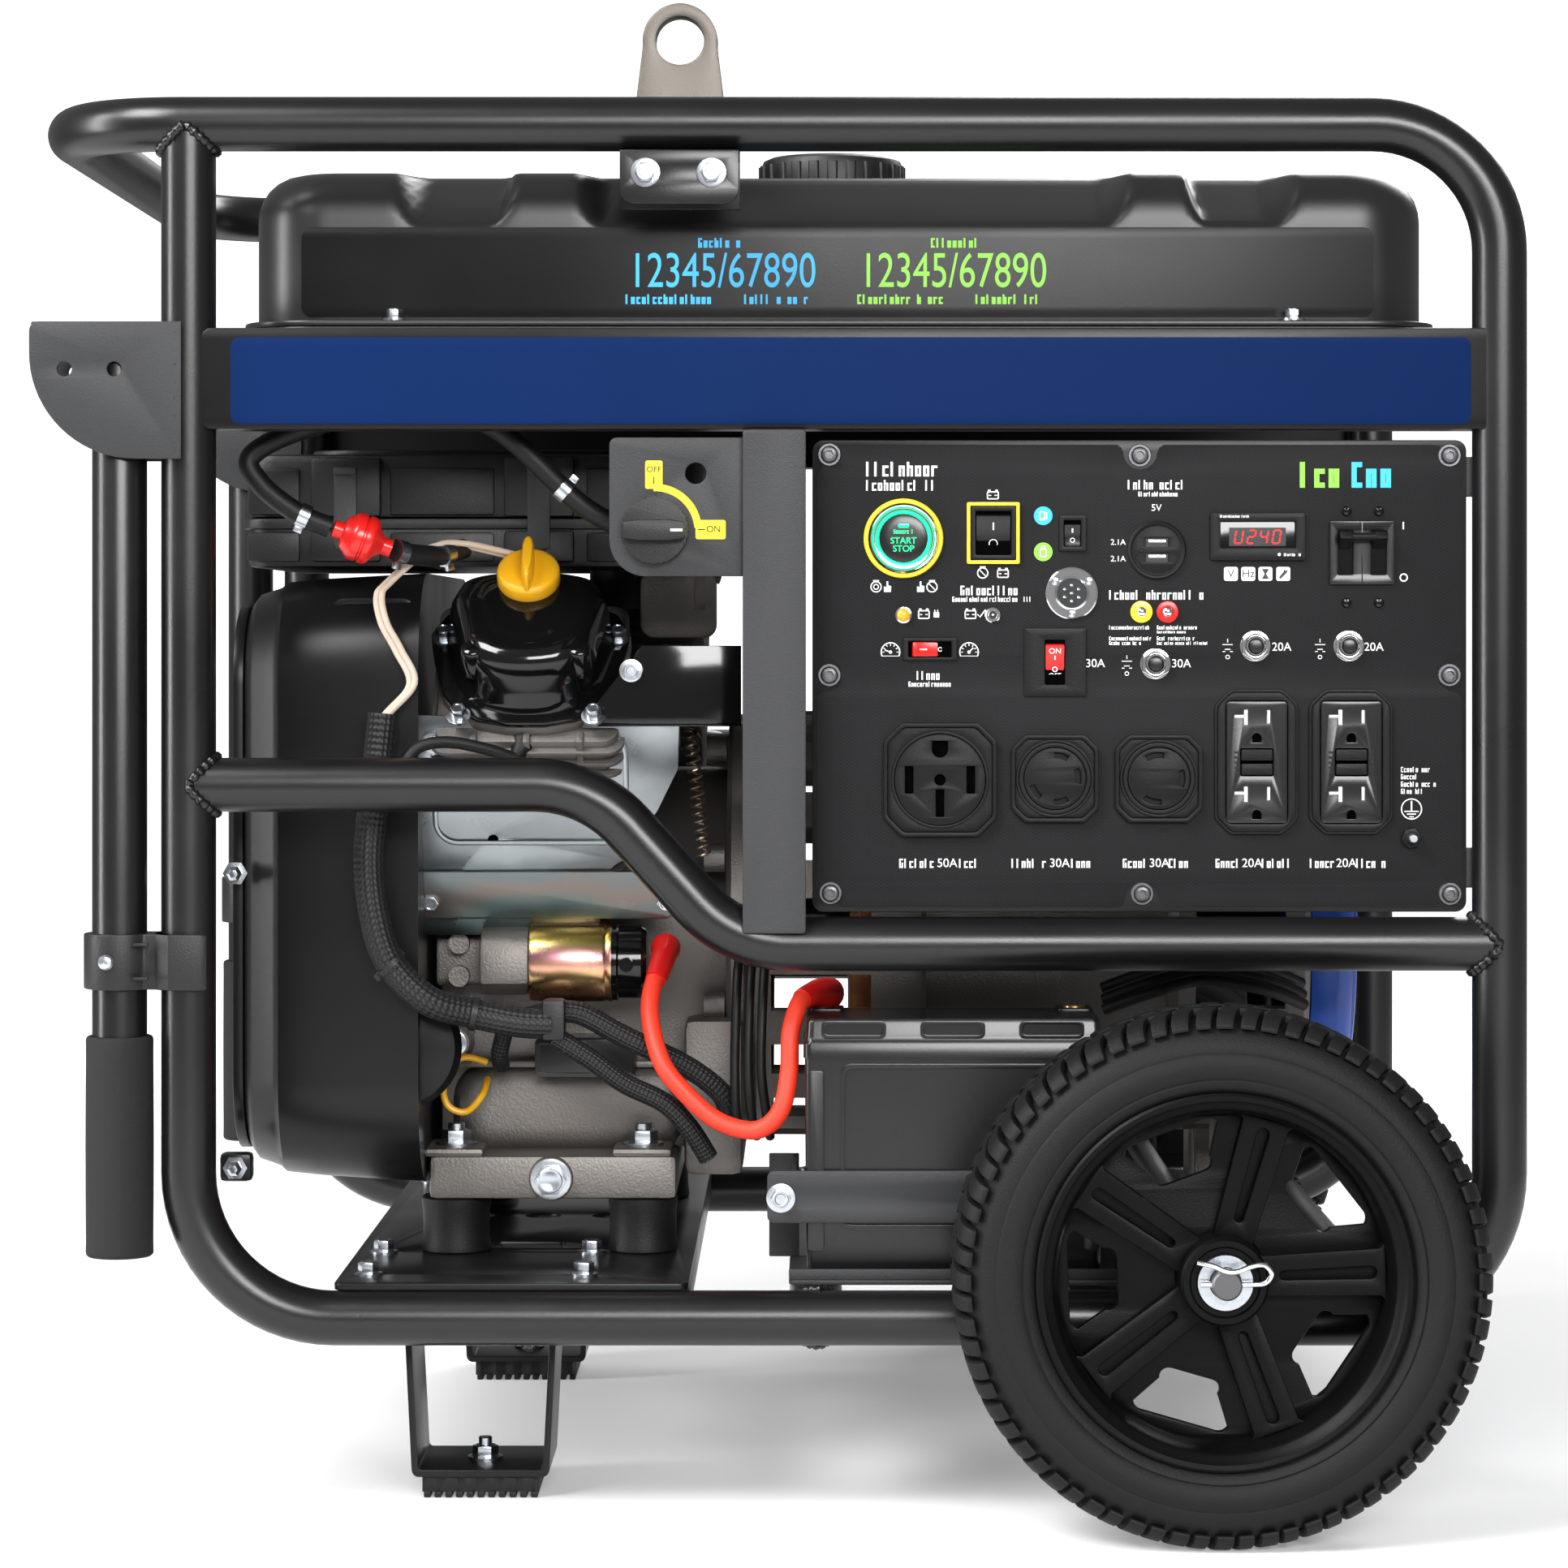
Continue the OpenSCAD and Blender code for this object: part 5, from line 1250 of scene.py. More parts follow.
for words, x, z, tall in (("30A", 173.2, 468.3, 4.7), ("30A", 220.4, 468.2, 4.7),
                          ("20A", 275.5, 477.3, 4.7), ("20A", 326.1, 477.3, 4.7),
                          ("50A", 92, 358.7, 4.9), ("30A", 153.7, 358.7, 4.9),
                          ("30A", 208.4, 358.7, 4.9), ("20A", 259.3, 358.7, 4.9),
                          ("20A", 311, 358.7, 4.9), ("5V", 206.8, 553.7, 3.8),
                          ("2.1A", 185.8, 534.8, 3.2), ("2.1A", 185.8, 525.7, 3.2)):
    say(words, x, z, tall)
ink.box((341.9, 542, 0), (342.7, 546, 0.18), printed)
ink.frame(circle(2.3, 342.5, 515.5, 28), circle(1.6, 342.5, 515.5, 28), 0, 0.18, printed)


def cell(x, z, w, h):
    """A small battery: a rounded outline with two posts, a minus and a plus."""
    ink.frame(rounded(w, h, 0.8, x, z), rounded(w - 1.2, h - 1.2, 0.4, x, z), 0, 0.18, printed)
    for s in (-1, 1):
        ink.box((x + s * w * 0.3 - 0.7, z + h / 2, 0),
                (x + s * w * 0.3 + 0.7, z + h / 2 + 0.9, 0.18), printed)
    ink.box((x - w * 0.34, z - 0.25, 0), (x - w * 0.14, z + 0.25, 0.18), printed)
    ink.box((x + w * 0.14, z - 0.25, 0), (x + w * 0.34, z + 0.25, 0.18), printed)


def dial(x, z, r, needle):
    """A gauge: an open arc with ticks and a needle."""
    ink.frame(arc(x, z, r, -25, 205, 30), arc(x, z, r - 0.6, -25, 205, 30), 0, 0.18, printed)
    for a in range(0, 181, 30):
        turn = printed @ move(x, z, 0) @ roll(a, "Z")
        ink.box((r - 2, -0.2, 0), (r - 0.9, 0.2, 0.18), turn)
    turn = printed @ move(x, z, 0) @ roll(needle, "Z")
    ink.box((-0.6, -0.3, 0), (r * 0.62, 0.3, 0.18), turn)
    ink.slab(circle(0.9, steps=14), 0, 0.18, turn)


cell(117.1, 560.6, 6.6, 4.4)
cell(79.2, 495.2, 6.4, 4.8)
cell(104.8, 495.2, 6.4, 4.8)
cell(122.6, 517.6, 6.4, 4.6)
ink.box((84.6, 493.6, 0), (87.6, 496.4, 0.18), printed, 0.3)
for x in (85.2, 86.8):
    ink.box((x - 0.25, 496.4, 0), (x + 0.25, 497.8, 0.18), printed)
ink.tube([(108.6, 0, 0), (110, -1.6, 0), (113, 2.4, 0)], 0.35, 6,
         place=printed @ move(0, 495.4, 0.1))
for x in (53, 83.7, 111.5):
    z = 510.4 if x < 100 else 518
    ink.frame(circle(3.1, x, z, 28), circle(2.5, x, z, 28), 0, 0.18, printed)
    turn = printed @ move(x, z, 0) @ roll(-45, "Z")
    if x > 60:
        ink.box((-2.7, -0.25, 0), (2.7, 0.25, 0.18), turn)
    else:
        ink.frame(circle(1.6, steps=16), circle(1.1, steps=16), 0, 0.18, turn)
    ink.box((x - 1.6, z + 3.0, 0), (x + 1.6, z + 3.7, 0.18), printed)
for x in (59.3, 77.5):
    ink.slab([(x - 2, 507.6), (x + 1.8, 507.6), (x + 2, 510.8), (x + 0.4, 511.2), (x + 0.3, 513.4),
              (x - 0.5, 513.4), (x - 0.6, 510.2), (x - 2, 510.6)], 0, 0.18, printed)
dial(60.9, 474.6, 5.4, 160)
dial(104, 474.6, 5.4, 45)
for x, z in ((190.6, 472.8), (245.9, 481.9), (296.6, 481.9)):
    ink.box((x - 0.2, z - 2, 0), (x + 0.2, z, 0.18), printed)
    ink.box((x - 2.8, z - 3.4, 0), (x + 2.8, z - 3.0, 0.18), printed)
    ink.box((x - 2.8, z - 7.2, 0), (x - 1.3, z - 6.8, 0.18), printed)
    ink.box((x + 1.3, z - 7.2, 0), (x + 2.8, z - 6.8, 0.18), printed)
    ink.box((x - 1.5, z - 6.0, 0), (x + 1.5, z - 5.6, 0.18), printed)
    ink.frame(circle(1.2, x, z - 10, 18), circle(0.8, x, z - 10, 18), 0, 0.18, printed)
ink.frame(circle(5.8, 346.8, 388.5, 40), circle(5.2, 346.8, 388.5, 40), 0, 0.18, printed)
ink.box((346.4, 387.4, 0), (347.2, 392.9, 0.18), printed)
for half, z in ((3.9, 387.2), (2.5, 385.7), (1.2, 384.2)):
    ink.box((346.8 - half, z - 0.3, 0), (346.8 + half, z + 0.3, 0.18), printed)
ink.done("panel_marks", WHITE, slot="charcoal_sheet")

squares = Bench()
for x in (247.7, 257.2, 266.6, 276.4):
    squares.slab(rounded(7.6, 7.6, 1.2, x, 517.5), 0, 0.18, printed)
squares.done("panel_mark_squares", WHITE, slot="charcoal_sheet")
dark = Bench()
for words, x in (("V", 247.7), ("Hz", 257.2)):
    dark.text(words, 6.2, front(x, 517.5, FILM_Y - 0.19), 0.1)
dark.slab([(264.6, 514.8), (268.6, 514.8), (267, 517.5), (268.6, 520.2), (264.6, 520.2),
           (266.2, 517.5)], 0.19, 0.3, printed)
dark.slab([(274, 515.6), (274.9, 514.7), (278.4, 518.2), (279, 520), (277.8, 519.2), (277, 520.2),
           (276.6, 518.8)], 0.19, 0.3, printed)
dark.done("panel_square_marks", SHEET, slot="charcoal_sheet")
for name, look, words, left, right in (("panel_word_green", LIME, 3, 285.5, 310.4),
        ("panel_word_blue", CYAN, 5, 313.9, 337.4)):
    mark = Bench()
    strokes(mark, left, right, 564.8, 578.9, printed, 0.2, words)
    mark.done(name, look, slot="charcoal_sheet")
for name, look, z in (("fuel_mark_blue", CYAN, 549.4), ("fuel_mark_green", LIME, 529.6)):
    mark = Bench().slab(circle(5.1, 144.7, z, 40), 0, 0.2, printed)
    mark.done(name, look, slot="charcoal_sheet")
pumps = Bench().frame(rounded(3.4, 5, 0.6, 144.2, 549.4), rounded(2, 3.4, 0.3, 144.2, 549.6), 0.2,
                      0.35, printed)
pumps.box((146.4, 547.4, 0.2), (146.9, 551.2, 0.35), printed)
pumps.frame(rounded(3.8, 4.4, 0.8, 144.7, 529), rounded(2.8, 3.4, 0.5, 144.7, 529), 0.2, 0.35,
            printed)
pumps.frame(rounded(2.2, 1.6, 0.4, 144.7, 532), rounded(1.4, 0.8, 0.2, 144.7, 532), 0.2, 0.35,
            printed)
pumps.done("fuel_mark_icons", WHITE, slot="charcoal_sheet")
print("marks")

# %% [markdown]
# ## Start button and rockers
# The start button is a lit ring round a black face, inside a chrome collar and a yellow ring.
# A rocker is one bent block: it is extruded from its side view, hollowed on top for the
# finger, and tilted about its hinge just as its body in the working model is.

# %% Start button
def at(x, z, up=0.0, spin=0):
    return front(x, z, -282.0 - up, spin)


part = Bench().turned([(19.3, 0), (21.8, 0), (21.8, 1.6), (21.2, 2.3), (19.8, 2.3), (19.3, 1.8),
                       (19.3, 0)], at(68, 537), 72)
part.done("start_yellow_ring", YELLOW, slot="outlet_black", stands_for=["panel_fittings"])
part = Bench().turned([(15.05, 0), (19.3, 0), (19.2, 2.6), (18.3, 3.5), (17.4, 3.0), (16.4, 1.7),
                       (15.4, 1.6), (15.05, 1.2), (15.05, 0)], at(68, 537), 72)
part.done("start_chrome_ring", CHROME, slot="zinc")
part = Bench().turned([(13.4, 0.5), (15, 0.5), (15, 3.0), (14.5, 3.7), (13.9, 3.7), (13.4, 3.2),
                       (13.4, 0.5)], at(68, 537), 72)
part.done("start_green_ring", GREEN_LIGHT, "start_push", "start_lit", ["start_button"])
part = Bench().turned([(0, -7), (13.38, -7), (13.38, 2.6), (12.4, 3.0), (8, 3.25), (0, 3.4)],
                      at(68, 537), 56)
part.done("start_face", SMOOTH, "start_push", "start_lit")
part = Bench().slab(rounded(6, 2.2, 1, 0, 6.9), 3.3, 3.6, at(68, 537), 0.05)
part.text("START", 4.9, at(68, 535.6, 3.45), 0.2)
part.text("STOP", 4.9, at(68, 531.2, 3.45), 0.2)
strokes(part, -5.4, 5.8, 2.6, 4.8, at(68, 537, 3.2))
part.done("start_letters", GREEN_LIGHT, "start_push", "start_lit")
print("start button")

# %% Rockers
def rocker(name, body, node, x, z, w, h, look, slot, spin=0, marks="IO", flip=1):
    place = at(x, z, -5, spin) @ roll(10, "X")
    side_view = [(-h / 2, 0), (h / 2, 0), (h / 2, 7), (h * 0.36, 6.5), (h * 0.18, 6.12), (0, 6.0),
                 (-h * 0.18, 6.12), (-h * 0.36, 6.5), (-h / 2, 7)]
    made = Bench().slab(side_view, -w / 2, w / 2, place @ SIDEWAYS, 0.5)
    made.done(name, look, body, slot, [node])
    signs = Bench()
    top = place @ move(0, 0, 6.35)
    if marks == "IO":
        signs.box((-0.4, h * 0.13, 0), (0.4, h * 0.32, 0.15), top)
        signs.frame(circle(w * 0.11 + 0.4, 0, -h * 0.22, 24), circle(w * 0.11, 0, -h * 0.22, 24),
                    -0.1, 0.15, top)
    if marks == "ON":
        signs.text("ON", 4.3, top @ move(0, h * 0.34, 0.3), 0.15)
        signs.text("OFF", 4.1, top @ move(0, -h * 0.3, 0.1), 0.15)
        signs.box((-0.35, h * 0.12, -0.2), (0.35, h * 0.22, 0.1), top)
        signs.frame(circle(1.5, 0, -h * 0.13, 20), circle(1.0, 0, -h * 0.13, 20), -0.2, 0.1, top)
    signs.done(name + "_marks", WHITE, body, slot)


rocker("battery_rocker_key", "battery_rocker", "battery_switch", 117.3, 539.9, 18.7, 21.6, SMOOTH,
       "outlet_black")
rocker("fuel_rocker_key", "fuel_rocker", "fuel_switch", 160.7, 539.7, 8.8, 12, SMOOTH,
       "outlet_black")
rocker("idle_rocker_key", "idle_rocker", "idle_switch", 82.5, 476.1, 7.8, 21, RED, "switch_red", 90)
rocker("breaker_rocker_key", "breaker_rocker", "breaker_switch", 151.1, 469, 10.3, 21.6, RED,
       "switch_red", marks="ON")
surround = Bench().frame(rounded(25.2, 30, 1.5), rounded(19.4, 24, 0.8), -1, 1.6, at(117.3, 539.9),
                         0.5)
surround.frame(rounded(15.2, 20.1, 1.2), rounded(9.4, 14.4, 0.6), -1, 1.8, at(160.7, 539.7), 0.6)
surround.frame(rounded(29.9, 12.5, 1.2), rounded(23.6, 8.6, 0.6), -1, 1.8, at(82.5, 476.1), 0.6)
surround.done("switch_frames", FITTING, slot="outlet_black")
part = Bench().frame(rounded(34.3, 37.4, 0.8), rounded(11, 24.6, 0.6), 0, 1.6, at(151.1, 469), 0.5)
part.done("breaker_rocker_plate", FITTING, slot="outlet_black")
part = Bench().frame(rounded(29, 33.9, 1), rounded(25.2, 30, 0.6), 0, 2.4, at(117.3, 539.9), 0.5)
part.done("battery_yellow_frame", YELLOW, slot="outlet_black")
# Painted shade: near-black sheets on the film inside each switch opening, round the rocker.
painted_shade_sheets = Bench()
for x, z, w, h in ((117.3, 539.9, 19.5, 24.2), (160.7, 539.7, 9.6, 14.6), (82.5, 476.1, 23.8, 8.8),
                   (151.1, 469, 11.2, 24.8)):
    painted_shade_sheets.box((x - w / 2, z - h / 2, 0.36), (x + w / 2, z + h / 2, 0.45), panel)
painted_shade_sheets.done("switch_painted_shade", PAINTED_SHADE, slot="outlet_black")
print("switches")

# %% [markdown]
# ## Meter, sockets for small plugs, lamps
# Each of these is a few turned or cut layers. The meter shows its reading in seven strokes a
# digit, slanted a little, behind dark glass.

# %% Meter
part = Bench().frame(rounded(52.6, 26.3, 1.4), rounded(41, 14.7, 0.5, 0, 0.9), 0, 3,
                     at(262.4, 537.9), 0.9)
part.done("meter_frame", FITTING, slot="outlet_black")
part = Bench().slab(rounded(41.4, 15, 0.4), 0.36, 1.2, at(262.2, 538.8), 0.1)
part.done("meter_glass", ENAMEL, slot="outlet_black")
part = Bench().slab(rounded(31.2, 10.2, 0.4), 1.2, 1.35, at(262.2, 537.8), 0.05)
part.done("meter_display", SHEET, slot="outlet_black")
SEGMENTS = {"a": (0, 1, 0), "b": (0.5, 0.5, 1), "c": (0.5, -0.5, 1), "d": (0, -1, 0),
            "e": (-0.5, -0.5, 1), "f": (-0.5, 0.5, 1), "g": (0, 0, 0)}
part = Bench()
for i, strokes_lit in enumerate(("bcdef", "abdeg", "bcfg", "abcdef")):
    for name in strokes_lit:
        dx, dz, upright_stroke = SEGMENTS[name]
        slant = Matrix(((1, 0.16, 0, 252 + i * 6.9), (0, 1, 0, 537.8), (0, 0, 1, 1.36),
                        (0, 0, 0, 1)))
        w, h = (0.42, 1.55) if upright_stroke else (1.45, 0.42)
        part.slab(rounded(2 * w, 2 * h, 0.35, dx * 3.9, dz * 3.6), 0, 0.12, panel @ slant)
part.done("meter_digits", RED_LIGHT, slot="switch_red")
part = Bench()
strokes(part, 241.5, 258, 548.3, 549.8, at(0, 0, 3.0))
strokes(part, 276.5, 286.4, 527.2, 528.8, at(0, 0, 3.0))
part.turned([(0, 3), (0.9, 3), (0.8, 3.4), (0, 3.4)], at(274, 528.1), 16)
part.done("meter_print", WHITE, slot="outlet_black")
print("meter")

# %% Small sockets, lamps, push breakers and ground stud
black, chrome, dark, pins = Bench(), Bench(), Bench(), Bench()
black.turned([(12.4, 0.3), (16, 0.3), (16, 1.8), (15.2, 2.5), (14.2, 2.3), (13.6, 1.6), (12.4, 1.5),
              (12.4, 0.3)], at(207.1, 530.5), 56)
ports = [rounded(12.4, 5, 0.6, 0, dz) for dz in (4.2, -4.2)]
black.plate([circle(13.2, steps=48)] + ports, 0.4, 1.7, at(207.1, 530.5), 0.25)
dark.slab(circle(12.8, steps=40), 0.36, 0.5, at(207.1, 530.5))
for dz in (4.9, -3.5):
    pins.slab(rounded(9.6, 1.6, 0.3, 0, dz), 0.5, 1.3, at(207.1, 530.5), 0.1)
black.turned([(0, 1.6), (1.5, 1.6), (1.2, 2.0), (0, 2.0)], at(198.6, 530.5), 16)
chrome.turned([(8.2, 0.3), (14.3, 0.3), (14.3, 1.6), (13.6, 2.1), (9.4, 2.1), (8.9, 3.4),
               (8.2, 3.6), (8.2, 0.3)], at(160.3, 506.9), 64)
dark.turned([(0, 0.4), (8.2, 0.4), (8.2, 2.2), (0, 2.2)], at(160.3, 506.9), 40)
for k in range(6):
    a = math.radians(60 * k + 30)
    pins.turned([(0, 2.2), (0.85, 2.2), (0.85, 3.1), (0.4, 3.5), (0, 3.5)],
                at(160.3 + 4.4 * math.cos(a), 506.9 + 4.4 * math.sin(a)), 14)
pins.turned([(0, 2.2), (0.85, 2.2), (0.85, 3.1), (0.4, 3.5), (0, 3.5)], at(160.3, 506.9), 14)
for k in (35, 145, 270):
    a = math.radians(k)
    pins.turned([(0, 2.1), (2.1, 2.1), (1.9, 2.9), (0.7, 3.2), (0.7, 2.5), (0, 2.5)],
                at(160.3 + 11.3 * math.cos(a), 506.9 + 11.3 * math.sin(a)), 20)
chrome.turned([(2.2, 0.3), (4.2, 0.3), (4.2, 1.1), (3.6, 1.6), (2.6, 1.6), (2.2, 1.2), (2.2, 0.3)],
              at(117, 494.9), 32)
dark.slab(circle(2.3, steps=24), 0.36, 0.6, at(117, 494.9))
pins.turned([(0, 0.6), (0.7, 0.6), (0.6, 1.4), (0, 1.5)], at(117, 494.9), 14)
for x, z in ((206.2, 468.1), (261, 477.9), (312.3, 477.9)):
    chrome.frame(circle(8.4, steps=36)[:36], circle(4.5, steps=36), 0.35, 0.9, at(x, z), 0.15)
    hexagon = rays(circle(14.7 / 2 / math.cos(math.pi / 6), steps=6), 0, 0, 36)
    chrome.frame(hexagon, circle(5.6, steps=36), 0.9, 3.9, at(x, z, 0, 30), 0.4)
    chrome.turned([(4.1, 0.4), (5.4, 0.4), (5.4, 5.2), (5.0, 5.8), (4.5, 5.8), (4.1, 5.3),
                   (4.1, 0.4)], at(x, z), 40)
for i, (x, z) in enumerate(((206.2, 468.1), (261, 477.9), (312.3, 477.9))):
    part = Bench().turned([(0, -9), (4, -9), (4, 5.6), (3.4, 6.6), (2.2, 6.9), (0, 6.9)], at(x, z),
                          32)
    part.done("breaker_push_cap_%d" % (i + 1), SMOOTH, "breaker_push_%d" % (i + 1), "breaker_white",
              ["breaker_button_%d" % (i + 1)])
black.slab(circle(5.9, steps=6), 0.4, 4.2, at(346.6, 372.7, 0, 12), 0.5)
black.turned([(2.5, 4), (3.9, 4), (3.7, 5), (2.5, 5)], at(346.6, 372.7), 24)
pins.turned([(0, 3), (2.4, 3), (2.4, 11), (2.0, 11.6), (0, 11.6)], at(346.6, 372.7), 24)
black.done("small_fittings_black", FITTING, slot="outlet_black")
chrome.done("small_fittings_chrome", CHROME, slot="zinc")
dark.done("small_fittings_dark", SMOOTH, slot="outlet_black")
pins.done("small_fittings_pins", ZINC, slot="zinc")
for name, look, x, z, r in (("charge_lamp", AMBER, 68, 494.9, 3.6),
                            ("service_lamp", YELLOW_LAMP, 198.6, 496.7, 6),
                            ("stop_lamp", RED, 212.9, 496.7, 6)):
    part = Bench()
    if r < 5:
        part.turned([(0, 0.3), (r, 0.3), (r, 2.2), (r * 0.86, 3.2), (r * 0.5, 4), (0, 4.3)],
                    at(x, z), 32)
    else:
        part.turned([(3.2, 0.3), (r, 0.3), (r, 1.5), (r * 0.92, 2.1), (3.8, 2.3), (3.2, 1.8),
                     (3.2, 0.3)], at(x, z), 40)
    part.done(name, look, slot="switch_red")
lenses = Bench().turned([(3.6, 0.3), (4.6, 0.3), (4.5, 1.2), (3.6, 1.4), (3.6, 0.3)], at(68, 494.9),
                        32)
for x in (198.6, 212.9):
    lenses.turned([(0, 0.4), (3.2, 0.4), (3.2, 1.9), (2.4, 3.2), (1.4, 3.8), (0, 4.1)],
                  at(x, 496.7), 24)
lenses.done("lamp_lenses", CHROME, slot="zinc")
print("small fittings")

# %% [markdown]
# ## Outlets and main breaker
# Outlets are moulded in one black plastic, so only depth separates their parts: a bevelled lip,
# a dish, a flat face with slots cut right through it, and behind it a near-black sheet of
# painted shade that makes the slots look deep.

# %% Outlets
def eight(w, h, c, count=None):
    w, h = w / 2, h / 2
    loop = [(w, -h + c), (w, h - c), (w - c, h), (-w + c, h), (-w, h - c), (-w, -h + c),
            (-w + c, -h), (w - c, -h)]
    return rays(loop, 0, 0, count) if count else loop


def bent_slot(inner, outer, start, stop):
    return arc(0, 0, outer, start, stop, 8) + arc(0, 0, inner, stop, start, 8)


lips, faces, depth = Bench(), Bench(), Bench()
for x, z, w, c, r in ((88, 404.6, 62.4, 10, 25.2), (151, 405.3, 48.2, 7.6, 19.8),
                      (208, 405.3, 48.2, 7.6, 19.8)):
    place = at(x, z)
    lips.frame(eight(w, w, c, 96), eight(w - 5, w - 5, c - 1.2, 96), 0.3, 4.8, place, 1.2)
    lips.frame(eight(w - 5, w - 5, c - 1.2, 96), rays(circle(r + 1, steps=96), 0, 0, 96), 0.3, 2.2,
               place, 0.5)
    lips.frame(rays(circle(r + 1.6, steps=96), 0, 0, 96), rays(circle(r, steps=96), 0, 0, 96), 0.3,
               3.3, place, 0.5)
    # Painted shade: a near-black disc behind the slotted face.
    depth.slab(circle(r, steps=64), 0.36, 0.8, place)
blade = rounded(4.6, 15, 0.5)
cutouts = [[(bx - 16.9, bz) for bx, bz in blade], [(bx + 16.9, bz) for bx, bz in blade],
           [(bx, bz - 12.8) for bx, bz in blade],
           circle(3.1, steps=24), [(-4.4, 21.3)] + [(-4.4, 17)] + arc(0, 16.6, 4.4, 180, 360, 10)
           + [(4.4, 21.3)]]
faces.plate([circle(24.9, steps=72)] + cutouts, 0.9, 3.6, at(88, 404.6), 0.35)
for x, spans in ((151, ((58, 92), (-12, 24), (196, 232), (268, 302))),
                 (208, ((78, 122), (-20, 20), (232, 276)))):
    faces.plate([circle(16.9, steps=56)] + [bent_slot(11.4, 14.4, a, b) for a, b in spans], 0.9,
                4.2, at(x, 405.3), 0.35)
    faces.frame(circle(19.6, steps=56), circle(17.4, steps=56), 0.9, 3.8, at(x, 405.3), 0.3)
    faces.slab(circle(17.6, steps=48), 0.8, 1.0, at(x, 405.3))
lips.done("outlet_lips", FITTING, slot="outlet_black", stands_for=["round_outlets"])
faces.done("outlet_faces", FITTING, slot="outlet_black")
depth.done("outlet_painted_shade", PAINTED_SHADE, slot="outlet_black")

lips, faces, depth, contacts = Bench(), Bench(), Bench(), Bench()
for i, x in enumerate((261.6, 313.4)):
    place = at(x, 414.3)
    lips.frame(eight(46.2, 79.6, 8.6, 96), eight(42.4, 75.8, 7.6, 96), 0.3, 2.6, place, 0.9)
    lips.frame(eight(42.8, 76.2, 7.7, 96), rays(rounded(34.2, 67.6, 2.6), 0, 0, 96), 0.3, 4.4,
               place, 1.1)
    # Painted shade: a near-black sheet behind the face's slots and the gap round it.
    depth.slab(rounded(34.4, 67.8, 2), 0.36, 1, place)
    holes = []
    for dz in (0, -42.1):
        holes.append([(-12.3, dz + 26), (-7.3, dz + 26), (-7.3, dz + 28.8), (-4.9, dz + 28.8),
                      (-4.9, dz + 20.2), (-7.3, dz + 20.2), (-7.3, dz + 24.2),
                      (-12.3, dz + 24.2)][::-1])
        holes.append([(5.5, dz + 21), (7.5, dz + 21), (7.5, dz + 28.6), (5.5, dz + 28.6)])
        holes.append([(-2.5, dz + 10.8), (2.5, dz + 10.8), (2.5, dz + 13.4)]
                     + arc(0, dz + 13.4, 2.5, 20, 160, 8) + [(-2.5, dz + 13.4)])
        contacts.box((-7.0, dz + 20.4, 1.0), (-5.0, dz + 28.7, 3.4), place, 0.1)
        contacts.box((-12.2, dz + 24.3, 1.0), (-7.2, dz + 25.9, 3.2), place, 0.1)
        contacts.box((5.7, dz + 21.2, 1.0), (7.3, dz + 28.5, 3.2), place, 0.1)
    holes.append(rounded(18, 15.2, 0.8))
    faces.plate([rounded(33.3, 66.7, 2)] + holes, 1, 4.0, place, 0.35)
    for s in (-1, 1):
        for k in range(5):
            faces.box((s * 11 - 1.4, -6.4 + k * 2.8, 4), (s * 11 + 1.4, -5.2 + k * 2.8, 4.35),
                      place)
    for dz, body, node in ((3.9, "test_push_%d", "test_button_%d"),
                           (-3.9, "reset_push_%d", "reset_button_%d")):
        push = Bench().slab(rounded(17.2, 6.2, 0.9), 1.2, 5.2, at(x, 414.3 + dz), 0.7)
        for k in range(6 if dz > 0 else 2):
            push.box((-7.2, -2.4 + k * 0.9 + (0 if dz > 0 else 1.6), 5.1),
                     (7.2, -2.0 + k * 0.9 + (0 if dz > 0 else 1.6), 5.4), at(x, 414.3 + dz))
        push.done(("test_key_%d" if dz > 0 else "reset_key_%d") % (i + 1), FITTING, body % (i + 1),
                  "outlet_black", [node % (i + 1)])
lips.done("duplex_lips", FITTING, slot="outlet_black", stands_for=["gfci_outlets"])
faces.done("duplex_faces", SMOOTH, slot="outlet_black")
depth.done("duplex_painted_shade", PAINTED_SHADE, slot="outlet_black")
contacts.done("duplex_contacts", WHITE, slot="outlet_black")
print("outlets")

# %% Main breaker
body = Bench()
wells = [rounded(8.4, 24.4, 0.6, s * 9.1, 0) for s in (-1, 1)]
body.plate([rounded(35.6, 34.8, 0.8)] + wells, 0.4, 3, at(319.4, 529.2), 0.4)
body.box((-0.3, -17, 3), (0.3, 17, 3.3), at(319.4, 529.2), 0.1)
body.done("main_breaker_body", SMOOTH, slot="outlet_black")
body = Bench().slab(rounded(34, 33, 0.6), 0.36, 0.7, at(319.4, 529.2))
for dx in (-8.4, 9.4):
    for dz in (22.7, -27.6):
        body.turned([(0, 0.3), (2.7, 0.3), (2.7, 1.2), (2.1, 2.0), (0.8, 2.3), (0.8, 1.5),
                     (0, 1.5)], at(319.4 + dx, 529.2 + dz), 22)
body.done("main_breaker_screws", ENAMEL, slot="outlet_black")
lever = Bench()
swing = at(319.4, 529.2, -8) @ roll(-25, "X")
for s in (-1, 1):
    lever.box((s * 9.1 - 3.2, -2.0, 2), (s * 9.1 + 3.2, 2.0, 20.6), swing, 0.9)
    lever.turned([(0, -3.4), (5, -3.4), (5, 3.4), (0, 3.4)], swing @ move(s * 9.1, 0, 0) @ ACROSS,
                 24)
    lever.slab(rounded(5.4, 4.4, 0.9), -3.4, 3.4, swing @ move(s * 9.6, 0, 20) @ ACROSS, 0.6)
lever.tube([(-13, 0, 20.4), (13, 0, 20.4)], 2.1, 20, place=swing)
lever.done("main_breaker_levers", FITTING, "main_breaker", "outlet_black", ["main_breaker_lever"])
print("outlets and breaker")

